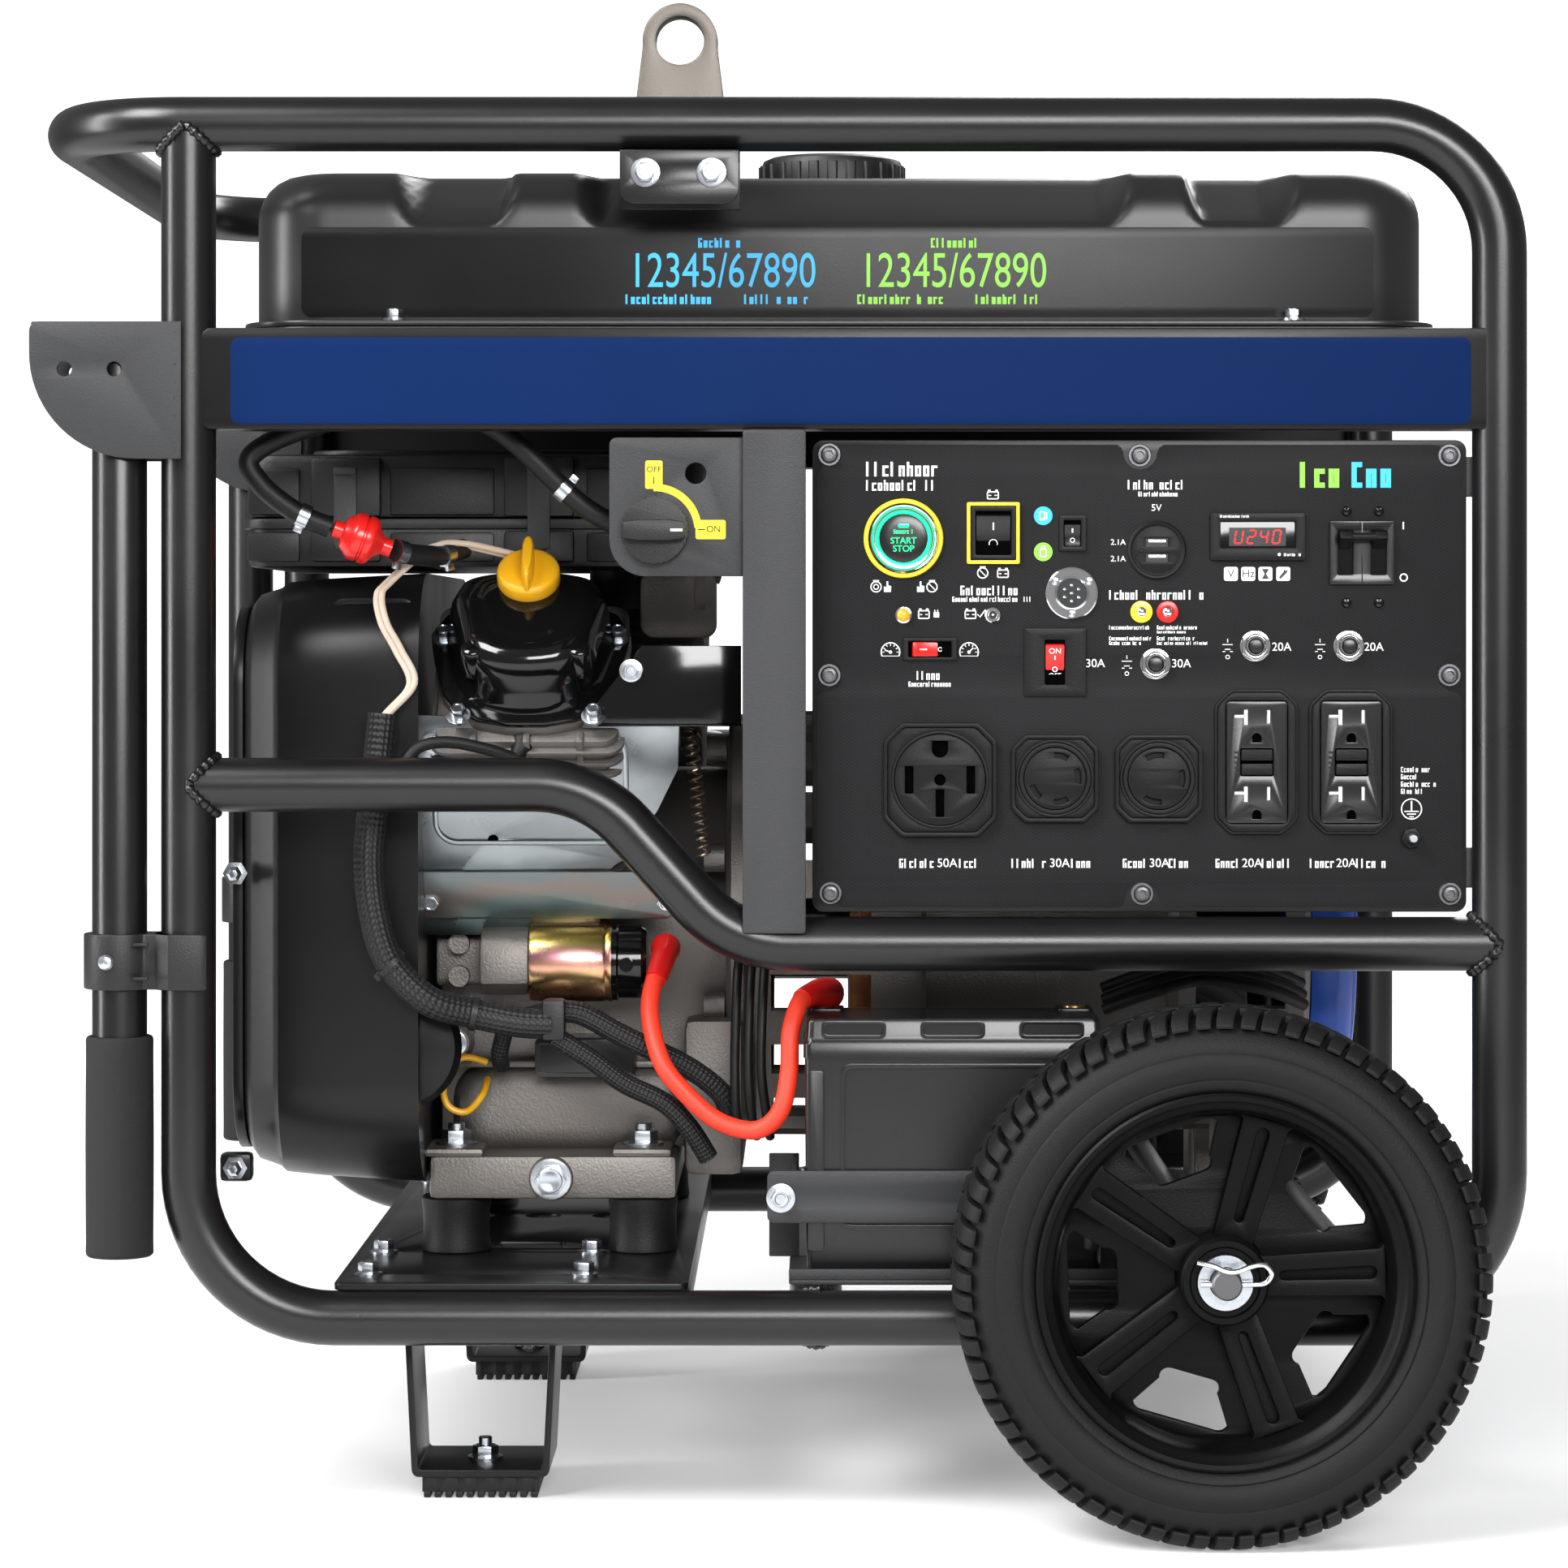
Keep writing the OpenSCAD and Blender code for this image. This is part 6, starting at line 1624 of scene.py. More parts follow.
# %% [markdown]
# ## Fuel valve
# A round knob with a finger bar stands in front of its plate, and a yellow label beside it
# marks the two ends of its travel.

# %% Fuel valve knob and label
KNOB_X, KNOB_Z = -68, 541
knob = Bench()
place = front(KNOB_X, KNOB_Z, -291.5)
teeth = []
for k in range(96):
    a = 2 * math.pi * k / 96
    teeth.append(((18.4 + 0.5 * math.cos(a * 32)) * math.cos(a),
                  (18.4 + 0.5 * math.cos(a * 32)) * math.sin(a)))
knob.slab(teeth, 0.5, 8, place, 0.8)
grip_bar = [(-17, -4.6), (-8, -5.8), (8, -5.8), (17, -4.6), (17.4, 0), (17, 4.6), (8, 5.8),
            (-8, 5.8), (-17, 4.6), (-17.4, 0)]
knob.slab(grip_bar, 7.5, 17.6, place, 1.8)
knob.done("fuel_valve_knob", MOULDED, "valve_knob", "cap_black", ["fuel_knob"])
mark = Bench().box((9, -0.7, 17.6), (15.6, 0.7, 17.9), place, 0.1)
mark.done("fuel_valve_pointer", WHITE, "valve_knob", "cap_black")
sticker = Bench()
sheet_place = front(KNOB_X, KNOB_Z, -291.05)
band = arc(0, 0, 25.6, 4, 92, 20) + arc(0, 0, 21.6, 92, 4, 20)
sticker.slab(band, 0, 0.25, sheet_place)
sticker.slab(rounded(9.5, 15.5, 1.2, -0.6, 30.6), 0.02, 0.27, sheet_place)
sticker.slab(rounded(16.5, 10.5, 1.2, 30.4, 0.6), 0.02, 0.27, sheet_place)
sticker.done("fuel_valve_label", YELLOW, slot="oil_yellow")
words = Bench()
words.text("OFF", 4.6, sheet_place @ move(-0.6, 33.4, 0.35), 0.1)
words.text("ON", 5, sheet_place @ move(32, 0.8, 0.35), 0.1)
words.box((-0.9, 25.6, 0.28), (-0.3, 29.6, 0.4), sheet_place)
words.box((23.6, 0.3, 0.28), (27.4, 0.9, 0.4), sheet_place)
words.done("fuel_valve_words", SMOOTH, slot="oil_yellow")
print("fuel valve")

# %% [markdown]
# ## Engine castings
# An air-cooled V-twin: a cast case on four rubber blocks, two leaning barrels with thin fins,
# and pressed covers. Castings have soft corners, pads where bolts sit, and thin ribs, so each
# is a block with a wide bevel and smaller blocks laid on it.

# %% Crankcase, foot and mounts
CRANK_Y, CRANK_Z = -30, 310
case = Bench()
wall_yz = [(-94, 184), (-94, 329), (-19, 404), (19, 404), (94, 329), (94, 184)]
case.slab([(y + CRANK_Y, z) for y, z in wall_yz], -200, -26, SIDEWAYS, 7)
case.box((-202, -172, 160), (-60, 112, 185), bevel=4)
case.box((-56, -158, 172), (-22, 98, 262), bevel=6)
case.turned([(0, -32), (122, -32), (126, -29), (126, -22), (0, -22)], move(0, CRANK_Y, CRANK_Z)
            @ ACROSS, 72)
case.loft([(rounded(w, h, r, -124, 208), z) for w, h, r, z in (
    (136, 52, 20, 0), (134, 50, 20, 5), (127, 44, 18, 10), (114, 34, 14, 12.6),
        (96, 22, 10, 13.4))], front(0, 0, -123))
case.box((-196, -136, 232), (-56, -122, 236), bevel=1.8)
for x, z, r in ((-191, 246, 10), (-191, 318, 9), (-62, 330, 8), (-40, 190, 8)):
    case.turned([(0, 0), (r + 2, 0), (r, 6), (r - 1, 9), (0, 9)], front(x, z, -123), 28)
for x in (-188, -80):
    case.box((x - 17, -171.5, 184), (x + 17, -120, 189), bevel=2.5)
    case.box((x - 17, 60, 184), (x + 17, 111.5, 189), bevel=2.5)
case.turned([(0, 0), (13, 0), (12, 2.2), (0, 2.2)], front(-132, 172, -171.6), 36)
for k in range(8):
    a = math.radians(22 + 45 * k)
    spot_yz = move(-33, CRANK_Y + 114 * math.cos(a), CRANK_Z + 114 * math.sin(a)) @ ACROSS
    case.turned([(0, 0), (8.5, 0), (8.5, 12), (0, 12)], spot_yz @ Matrix.Rotation(math.pi, 4, "X"),
                20)
case.done("crankcase_casting", ALLOY, slot="cast_alloy", stands_for=["crankcase"])

mounts = Bench()
for x in (-188, -80):
    for y in (-150, 90):
        mounts.turned([(5.6, 0), (19, 0), (20, 1), (20, 4), (19.3, 8), (19.2, 16), (19.3, 24),
                       (20, 28), (20, 31), (19, 32), (5.6, 32), (5.6, 0)],
                      move(x, y, 128), 40)
mounts.done("rubber_mounts", RUBBER, slot="rubber_black", stands_for=["engine_mounts"])
print("crankcase")

# %% Barrels and covers
BANKS = (move(-143, CRANK_Y, CRANK_Z) @ roll(45, "X"),
         move(-105, CRANK_Y, CRANK_Z) @ roll(-45, "X") @ Matrix.Rotation(math.pi, 4, "Z"))
barrels, covers = Bench(), Bench()
shield = [(-33, -41), (33, -41), (47, 14), (47, 20), (38, 41), (-38, 41), (-47, 20), (-47, 14)]
flange = [(-43, -50), (43, -50), (57, 14), (57, 22), (44, 46), (-44, 46), (-57, 22), (-57, 14)]
for bank in BANKS:
    barrels.turned([(0, 80), (49, 80), (49, 186), (0, 186)], bank, 48)
    for k in range(11):
        barrels.slab(rounded(110, 118, 14), 88 + 9 * k, 90.6 + 9 * k, bank, 0.8)
    barrels.slab(rounded(104, 110, 10), 185, 216, bank, 3)
    for k in range(3):
        barrels.slab(rounded(110, 118, 10), 190 + 9 * k, 193 + 9 * k, bank, 0.8)
    barrels.slab(soften(flange), 214, 222, bank, 1.5)
    for x in (-30, 0, 30):
        barrels.box((x - 2, -57, 190), (x + 2, -48, 218), bank, 1)
    body = soften(shield, 3)
    covers.slab(soften(flange), 222.1, 226, bank, 1.2)
    covers.loft([(scaled(body, s, 0, dy), 222 + z) for s, z, dy in (
        (1.07, 3.5, 0), (1.03, 5.5, 0), (1.0, 9, 0), (0.975, 18, 0), (0.955, 27, 0), (0.93, 33, 0),
            (0.88, 37.6, 0.4), (0.8, 40.6, 1),
        (0.7, 41.8, 2), (0.64, 41.2, 3), (0.6, 41.0, 3.6), (0.55, 41.6, 4.4), (0.5, 42, 5))], bank)
    for s in (-1, 1):
        covers.loft([(scaled(circle(1, steps=20), r, s * 30, -24), 222 + z) for r,
                     z in ((7, 20), (6.5, 37), (5, 38.6), (0.5, 38.8))], bank)
barrels.done("finned_barrels", FINS, slot="cast_alloy", stands_for=["cylinders"])
covers.done("rocker_covers", ENAMEL, slot="cover_black", stands_for=["valve_covers"], smooth_at=50)
bolts = Bench()
for bank in BANKS:
    for x, y in ((-38, -45), (38, -45), (-50, 18), (50, 18)):
        bolts.bolt(bank @ move(x, y, 226), 8, 6, 14)
bolts.done("cover_bolts", ZINC, slot="zinc")
oil = Bench()
place = BANKS[0] @ move(0, 26, 264.3)
oil.loft([(circle(17.9 * s, steps=72), z) for s, z in ((0.98, -0.4), (1, 0.4), (1, 6.4),
        (0.975, 7.8), (0.92, 8.8), (0.8, 9.4), (0.5, 9.6))], place)
fin = soften([(-3.6, -17.4), (3.6, -17.4), (3.6, 17.4), (-3.6, 17.4)], 2)
oil.loft([(fin, 8), (fin, 15), ([(x * 0.95, y * 0.9) for x, y in fin], 19.4),
          ([(x * 0.7, y * 0.72) for x, y in fin], 21.6),
          ([(x * 0.3, y * 0.6) for x, y in fin], 22)], place)
oil.turned([(0, -12), (9.6, -12), (9.6, 0), (0, 0)], place, 24)
oil.done("oil_filler_plug", OIL, "oil_filler_cap", "oil_yellow", ["oil_cap"])
print("engine top")

# %% [markdown]
# ## Sheet metal and plastic round the engine
# Cooling air enters through slots at the flywheel end and is led over the fins by zinc-coated
# sheet. The blower housing is one deep moulding: rings that follow its outline, drawn in at
# the edge, give it the soft shoulder that a mould needs.

# %% Blower housing and air cleaner
blower = Bench().loft([(rounded(380 - 2 * inset, 350 - 2 * drop, r, CRANK_Y, 344.5, 16), x)
                       for inset, drop, r, x in (
    (0, 0, 60, -204), (1.5, 1, 60, -226), (5, 3, 58, -262), (9, 5, 56, -284), (14, 8, 54, -288),
    (19, 12, 50, -300), (25, 17, 46, -304), (32, 22, 42, -307))], SIDEWAYS)
slots = []
for i in range(-7, 8):
    half = math.sqrt(85 ** 2 - (i * 11) ** 2)
    slots.append(rounded(6.6, 2 * half, 3.2, CRANK_Y + i * 11, CRANK_Z))
blower.plate([rounded(326, 314, 46, CRANK_Y, 344.5, 16)] + slots, -312, -306, SIDEWAYS, 0.8)
blower.frame(circle(100, CRANK_Y, CRANK_Z, 72), circle(93, CRANK_Y, CRANK_Z, 72), -314, -311,
             SIDEWAYS, 1)
DRAFT = front(0, 0, -217.5) @ roll(-5, "Y")
for x, z, w, h in ((-232, 440, 50, 130), (-236, 300, 52, 110), (-270, 270, 12, 46),
                   (-270, 350, 12, 70)):
    blower.frame(rounded(w, h, 9, x, z), rounded(w - 7, h - 7, 6, x, z), -6, 2.0, DRAFT, 0.9)
blower.turned([(0, -4), (36, -4), (33, 3), (24, 6), (0, 7)], DRAFT @ move(-218, 250, 0), 40)
blower.box((-318, -204, 174), (-300, -190, 190), bevel=3)
blower.done("blower_housing", BLACK_SHEET, slot="cover_black", stands_for=["blower_shroud"],
            smooth_at=40)

cleaner = Bench().slab(rounded(263, 267, 16, -176.5, -31.5), 523, 548, bevel=3)
cleaner.slab(rounded(269, 273, 18, -176.5, -31.5), 545, 551, bevel=1.5)
cleaner.slab(rounded(263, 267, 16, -176.5, -31.5), 551, 588, bevel=5)
for x in (-250, -139):
    cleaner.box((x - 20, -172, 552), (x + 20, -160, 586), bevel=2.5)
    cleaner.box((x - 20, -172, 526), (x + 20, -160, 544), bevel=2.5)
for x, w in ((-292, 30), (-195, 60), (-84, 56)):
    cleaner.box((x - w / 2, -167, 553), (x + w / 2, -160, 580), bevel=2)
    cleaner.box((x - w / 2, -167, 526), (x + w / 2, -160, 543), bevel=2)
cleaner.slab(rounded(200, 200, 30, -176.5, -31.5), 587, 592, bevel=2)
cleaner.turned([(0, 0), (27, 0), (27, 30), (0, 30)], move(-90, -30, 500), 32)
cleaner.done("air_cleaner", MOULDED, slot="cover_black", stands_for=["air_filter_box"])
clips = Bench()
for x in (-250, -139):
    clips.slab(rounded(13, 46, 3, x, 556), 0, 2.2, front(0, 0, -172), 0.7)
    clips.box((x - 6.5, -176, 576), (x + 6.5, -168, 580), bevel=0.8)
clips.done("air_cleaner_clips", SHEET, slot="charcoal_sheet")
print("blower housing and air cleaner")

# %% Cooling sheets and heat shield
LEAN = Matrix(((1, 0, 0, 0), (0, -0.3676, -0.93, -165), (0, 0.93, -0.3676, 312), (0, 0, 0, 1)))
sheets = Bench()
outline = [(-216, 0), (-104, 0)] + arc(-104 + 26, 24, 26, 180, 120, 6)[1:] + [(-70, 78), (-58, 104),
        (-57, 133), (-216, 137)]
sheets.plate([outline, circle(3, -164, 60, 20), circle(3, -120, 30, 20)], 0, 1.6, LEAN, 0.4)
sheets.frame(rounded(112, 70, 14, -142, 92), rounded(106, 64, 11, -142, 92), 1.2, 3.4, LEAN, 1.1)
sheets.slab(rounded(150, 30, 3, -138, 26), 1.2, 4.0, LEAN, 1.4)
sheets.plate([[(-216, 0), (-57, 0), (-57, 24), (-216, 24)]], -1.6, 0,
             move(0, -214, 436) @ roll(-35, "X"), 0.4)
sheets.slab([(152, 403), (103.4, 354.4), (103.4, 309), (105.2, 309), (105.2, 353.6),
             (153.3, 401.7)], -198, -48, SIDEWAYS)
sheets.done("cooling_sheets", GALVANISED, slot="galvanised", stands_for=["cooling_shrouds"])
guard = Bench().plate([[(-103, 434), (-22, 434), (-22, 478), (-78, 478), (-84, 470), (-103, 446)]],
                      0, 2, front(0, 0, -221), 0.5)
guard.box((-103, -221, 432.5), (-22, -170, 434.5), bevel=0.6)
guard.done("heat_guard", ENAMEL, slot="cover_black")
print("sheets")

# %% [markdown]
# ## Starter, alternator and exhaust
# Turned parts share one trick: a profile of (radius, height) pairs spun round an axis. Real
# pressings have a rolled lip and a soft shoulder, so every profile ends in a small radius.

# %% Starter motor
cast = Bench().slab(soften([(-188, 277), (-124.1, 279), (-124.1, 317), (-176, 317), (-188, 308)],
                           1), -172, -144, SIDEWAYS, 3)
cast.slab(rounded(26, 31, 5, -137, 296), -200, -170, SIDEWAYS, 3)
for x, y, z in ((-186, -168, 287), (-186, -168, 306)):
    cast.turned([(0, 0), (6, 0), (6, 16), (0, 16)], front(x, z, -143), 20)
can = Bench()
nose = move(0, -165, 296) @ ACROSS
can.turned([(0, -144), (22.2, -144), (23, -142), (23, -102), (22.2, -100.5), (23, -99), (23, -97),
            (0, -97)], nose, 56)
end = Bench().turned([(0, -97), (22.4, -97), (22.4, -94), (21, -93), (21, -80), (19, -77),
                      (12, -76), (0, -76)], nose, 48)
end.turned([(0, 0), (4, 0), (4, 7), (0, 7)], front(-88, 296, -186), 16)
cast.done("starter_nose", ALLOY, slot="cast_alloy", stands_for=["starter_motor"])
can.done("starter_can", PLATED, slot="zinc")
end.done("starter_end", ENAMEL, slot="cover_black")
print("starter")

# %% Muffler and its pipe
hot = Bench()
shell = move(0, 184, 378) @ ACROSS
hot.turned([(0, 47), (50, 47), (57, 49), (60, 53), (60, 56), (58.6, 58), (58.6, 186), (60, 188),
            (60, 191), (58.6, 193),
            (58.6, 317), (60, 319), (60, 323), (57, 327), (50, 329.5), (0, 329.5)], shell, 72)
hot.turned([(0, 329), (18, 329), (18, 358), (19, 360), (19, 363), (18, 365.5), (15.6, 365.5),
            (15.6, 335), (0, 335)], shell, 40)
hot.tube(bends([(-48, 162, 406), (-10, 164, 406), (46, 170, 400)], [40]), 16.6, 28)
hot.tube(bends([(-100, 104, 426), (-78, 150, 414), (-30, 163, 406)], [40]), 13.5, 24)
for x in (120, 252):
    hot.box((x, 124, 322), (x + 26, 146, 326), bevel=1)
    hot.box((x, 142, 318), (x + 26, 146, 372), bevel=1)
hot.turned([(0, 0), (3.4, 0), (3.4, 1.2), (0, 1.2)], shell @ ACROSS @ move(0, 0, -1), 10)
hot.done("muffler_shell", STEEL, slot="hot_steel", stands_for=["muffler"])
print("muffler")

# %% Alternator
AXIS = move(0, CRANK_Y, CRANK_Z) @ ACROSS


def barrel(bench, profile, slot_lows, slot_highs, count, width):
    """A drum with slots: its wall is laid out flat as strips between the slots and bent round."""
    steps = 144
    part = bmesh.new()
    rings = [[part.verts.new((r * math.cos(2 * math.pi * i / steps),
                              r * math.sin(2 * math.pi * i / steps), h))
              for i in range(steps)] for r, h in profile]
    gap = max(1, round(width * steps / 360))
    for k in range(len(profile) - 1):
        low, high = sorted((profile[k][1], profile[k + 1][1]))
        open_here = any(low > a - 0.01 and high < b + 0.01 for a, b in zip(slot_lows, slot_highs))
        for i in range(steps):
            if open_here and i % (steps // count) < gap:
                continue
            j = (i + 1) % steps
            part.faces.new((rings[k][i], rings[k][j], rings[k + 1][j], rings[k + 1][i]))
    bmesh.ops.recalc_face_normals(part, faces=part.faces)
    bmesh.ops.solidify(part, geom=part.faces[:], thickness=5)
    return bench.take(part, AXIS)


drum = Bench()
barrel(drum, [(122, -18), (126, -18), (128, -15), (128, -6), (128, 52), (128, 76), (126, 81),
              (118, 84), (118, 150),
              (118, 224), (123, 227), (125, 230), (125, 240), (125, 292), (125, 303), (122, 306.5)],
       [-6, 240], [52, 292], 18, 11)
for k in range(12):
    a = 2 * math.pi * k / 12
    drum.box((-3, 116.5, 86), (3, 121, 222), AXIS @ Matrix.Rotation(a, 4, "Z"), 1.2)
for k in range(4):
    a = math.radians(45 + 90 * k)
    drum.turned([(0, 0), (9, 0), (9, 46), (0, 46)], AXIS @ Matrix.Rotation(a, 4, "Z")
                @ move(0, 122, 228), 24)
for y in (-140, 40):
    drum.loft([(rounded(40, 40, 3, 270, y + 20), 136), (rounded(40, 40, 3, 270, y + 20), 142),
               (rounded(32, 34, 3, 270, y + 20), 148),
               (rounded(32, 34, 3, 270, y + 20 + (6 if y < 0 else -6)), 226)])
    for x in (252, 284):
        drum.box((x, y + 2, 140), (x + 4, y + 38, 205), bevel=1.2)
drum.done("alternator_drum", ALLOY, slot="cast_alloy", stands_for=["alternator_housing"])
feet = Bench()
for y in (-120, 60):
    feet.slab(rounded(30, 36, 4, 270, y), 116, 136, bevel=2)
feet.done("alternator_feet", RUBBER, slot="rubber_black")
inside = Bench().turned([(30, 90), (108, 90), (110, 93), (110, 215), (108, 218), (30, 218),
                         (30, 90)], AXIS, 72)
for k in range(24):
    a = 2 * math.pi * k / 24
    for z in (62, 219):
        inside.tube([(86 * math.cos(a), 86 * math.sin(a), z + 12), (96 * math.cos(a + 0.1),
                96 * math.sin(a + 0.1), z + 18),
                     (102 * math.cos(a + 0.2), 102 * math.sin(a + 0.2), z + 8)], 6, 8, place=AXIS)
inside.done("stator_windings", COPPER, slot="copper_windings")

blue = Bench()
slots = []
for k in range(12):
    a0, a1 = 30 * k + 4, 30 * k + 25
    slots.append(arc(0, 0, 88, a0, a1, 8) + arc(0, 0, 62, a1, a0, 8))
blue.plate([circle(113, steps=96)] + slots, 330, 333, AXIS, 0.8)
blue.turned([(122, 307.3), (122, 322), (120.5, 327), (117, 331), (112, 332.6), (110, 332.6),
             (110, 330), (115, 328), (118.8, 322), (118.8, 307.3), (122, 307.3)], AXIS, 96)
blue.turned([(0, 330), (44, 330), (45, 334), (43, 336.5), (0, 336.5)], AXIS, 64)
blue.turned([(93, 332), (94, 335.6), (98, 336.4), (100, 335.4), (101, 332)], AXIS, 96)
blue.done("alternator_cover", BLUE, slot="cover_blue", stands_for=["alternator_end_cover"])
heads = Bench()
for k in range(6):
    a = math.radians(30 + 60 * k)
    heads.bolt(AXIS @ move(108 * math.cos(a), 108 * math.sin(a), 332.4), 7, 3, 12)
heads.done("cover_screws", ZINC, slot="zinc")
print("alternator")

# %% Shaft, flywheel and pistons, which turn or hide inside
shaft = Bench().turned([(0, -190), (20, -190), (20, -60), (26, -58), (26, -48), (22, -46), (22, 60),
                        (18, 64), (18, 300), (0, 300)], AXIS, 40)
shaft.turned([(24, -236), (82, -236), (84, -232), (84, -212), (82, -208), (24, -208), (24, -236)],
             AXIS, 72)
for k in range(14):
    a = 2 * math.pi * k / 14
    shaft.slab([(24, -1.5), (80, -6), (80, -2.5), (24, 1.5)], -256, -236,
               AXIS @ Matrix.Rotation(a, 4, "Z"), 0.8)
shaft.turned([(0, -262), (18, -262), (20, -258), (20, -236), (0, -236)], AXIS, 6)
shaft.done("flywheel_shaft", CASE, "crank_train", "cast_alloy", ["crankshaft"])
armature = Bench().turned([(12.5, 86), (74, 86), (75, 90), (75, 215), (74, 218), (12.5, 218),
                           (12.5, 86)], AXIS, 64)
armature.turned([(18, 40), (94, 40), (95, 42), (95, 58), (94, 60), (18, 60), (18, 40)], AXIS, 64)
for k in range(16):
    armature.box((74, -3, 94), (78, 3, 210), AXIS @ Matrix.Rotation(2 * math.pi * k / 16, 4, "Z"),
                 1)
armature.done("armature", COPPER, "crank_train", "copper_windings", ["rotor"])
crowns = Bench()
for bank in BANKS:
    crowns.turned([(0, 155), (37, 155), (39, 153), (39, 146), (37.6, 146), (37.6, 143), (39, 143),
                   (39, 118), (38, 114), (0, 114)], bank, 48)
crowns.done("piston_crowns", STEEL, slot="hot_steel", stands_for=["pistons"])
print("engine inside")

# %% [markdown]
# ## Battery and its tray
# A battery case is a thin moulding with draft: it is a little smaller at the foot than at the
# lid. The lid overlaps the wall, and three recesses mark where its caps are pressed in.

# %% Battery, terminals and strap
cells = Bench().loft([(rounded(w, d, 4, 96.5, -216.5), z) for w, d, z in ((160, 70, 127.4),
        (163, 73, 131), (164.4, 74.4, 180), (165.4, 75.4, 249), (165.4, 75.4, 250.5))])
cells.loft([(rounded(w, d, 4.5, 96.5, -216.5), z) for w, d, z in ((167, 77, 249), (167, 77, 257),
        (165.6, 75.6, 258.4), (164, 74, 261), (163.6, 73.6, 268.6), (161.6, 71.6, 270.8))])
for x in (41, 96, 151):
    cells.frame(rounded(36, 9.6, 3, x, 265), rounded(32, 6, 2, x, 265), 0, 1.1, front(0, 0, -254.2),
                0.4)
    cells.slab(rounded(32, 6, 2, x, 265), 0, 0.3, front(0, 0, -253.8))
for x in (20, 173):
    cells.slab(rounded(9, 100, 2.5, x, 192), 0, 0.9, front(0, 0, -254), 0.5)
cells.frame(rounded(126, 92, 6, 96.5, 200), rounded(121, 87, 4, 96.5, 200), 0, 0.5,
            front(0, 0, -254.6), 0.3)
for x in (26, 167):
    cells.slab(rounded(20, 26, 3, x, -189), 270, 272, bevel=0.8)
cells.done("battery_case", SMOOTH, slot="battery_black", stands_for=["battery"])
posts = Bench()
for x in (26, 167):
    posts.turned([(0, 270), (7, 270), (6.2, 273), (0, 273)], move(x, -189, 0), 24)
posts.done("battery_posts", BRASS, slot="zinc")
plate = Bench().plate([rounded(202, 29, 4, 94, 172.5), circle(4.2, 0.5, 172, 24)], 0, 3,
                      front(0, 0, -255.6), 0.7)
for x in (6.8, 182.3):
    plate.box((x, -258, 158.4), (x + 2.5, -171, 186.6), bevel=0.8)
for x in (-6.8, 182.6):
    plate.box((x, -173, 127.4), (x + 17.2, -170.2, 186.6), bevel=0.8)
plate.plate([rounded(190, 97, 4, 100, -213.5)], 124.2, 127, bevel=0.6)
plate.box((5, -262, 127), (195, -259.6, 133), bevel=0.8)
plate.done("battery_clamp", SHEET, slot="charcoal_sheet", stands_for=["battery_strap"])
print("battery")

# %% [markdown]
# ## Hoses, cables and leads
# A soft line never runs straight: it hangs, lies on its neighbour and is pulled in by ties. We
# give a few places it touches, and a smooth curve through them does the rest.

# %% Fuel hoses and filter
def soft_line(name, route, radius, look, slot, stands_for=()):
    """One hose or cable through listed points; its length is worked out and printed."""
    path = smooth(route, 8)
    piece = Bench().tube(path, radius, 18).done(name, look, slot=slot, stands_for=stands_for)
    points = [p * MM for p in path]
    length = sum((b - a).length for a, b in zip(points, points[1:]))
    print(name, "is", round(length * 1000), "mm long")


FUEL = [(-80.5, -243, 541), (-110, -246, 556), (-160, -250, 600), (-210, -248, 610),
        (-262, -246, 600),
        (-294, -247.5, 584), (-289, -248, 568), (-269, -246, 552), (-251, -243, 544)]
FILTER = [(-215, -236, 531), (-205, -226, 529), (-192, -212, 529), (-180, -197, 533)]
soft_line("fuel_hose", FUEL, 5.9, RUBBER, "hose_black", ["fuel_line"])
rubber_lines = Bench().tube(smooth(FILTER, 8), 5.9, 18)
rubber_lines.slab(rounded(24, 24, 3, -68, 541), 0, 51, front(0, 0, -236), 1.2)
rubber_lines.turned([(0, 0), (8, 0), (8, 9), (0, 9)], front(-68, 541, -286), 6)
rubber_lines.done("fuel_valve_body", MOULDED, slot="hose_black")
filters = Bench()
lie = spot(-249, -243, 543.5, (32, 6, -11.5))
filters.turned([(0, 0), (5, 0), (5, 5), (9, 6), (11, 9), (12.6, 10.4), (13.6, 12), (13.8, 13.6),
                (13.8, 16), (12.6, 16.6), (12.6, 17.6), (13.8, 18.2), (13.8, 20.6), (13.4, 22),
                (12, 23.6), (9, 25), (5, 29), (5, 34), (0, 34)], lie, 40)
filters.done("fuel_strainer", RED, slot="switch_red")
clamps = Bench()
for route, i in ((FUEL, 1), (FUEL, 7), (FILTER, 0), (FILTER, 2)):
    a, b = Vector(route[i]), Vector(route[i + 1])
    ring = spot(*(a * 0.8 + b * 0.2), b - a)
    clamps.turned([(6.0, -3), (6.9, -3), (6.9, 3), (6.0, 3), (6.0, -3)], ring, 28)
    clamps.box((5.6, -1.6, -2.4), (10, 1.6, 2.4), ring, 0.5)
clamps.done("hose_clips", ZINC, slot="zinc")

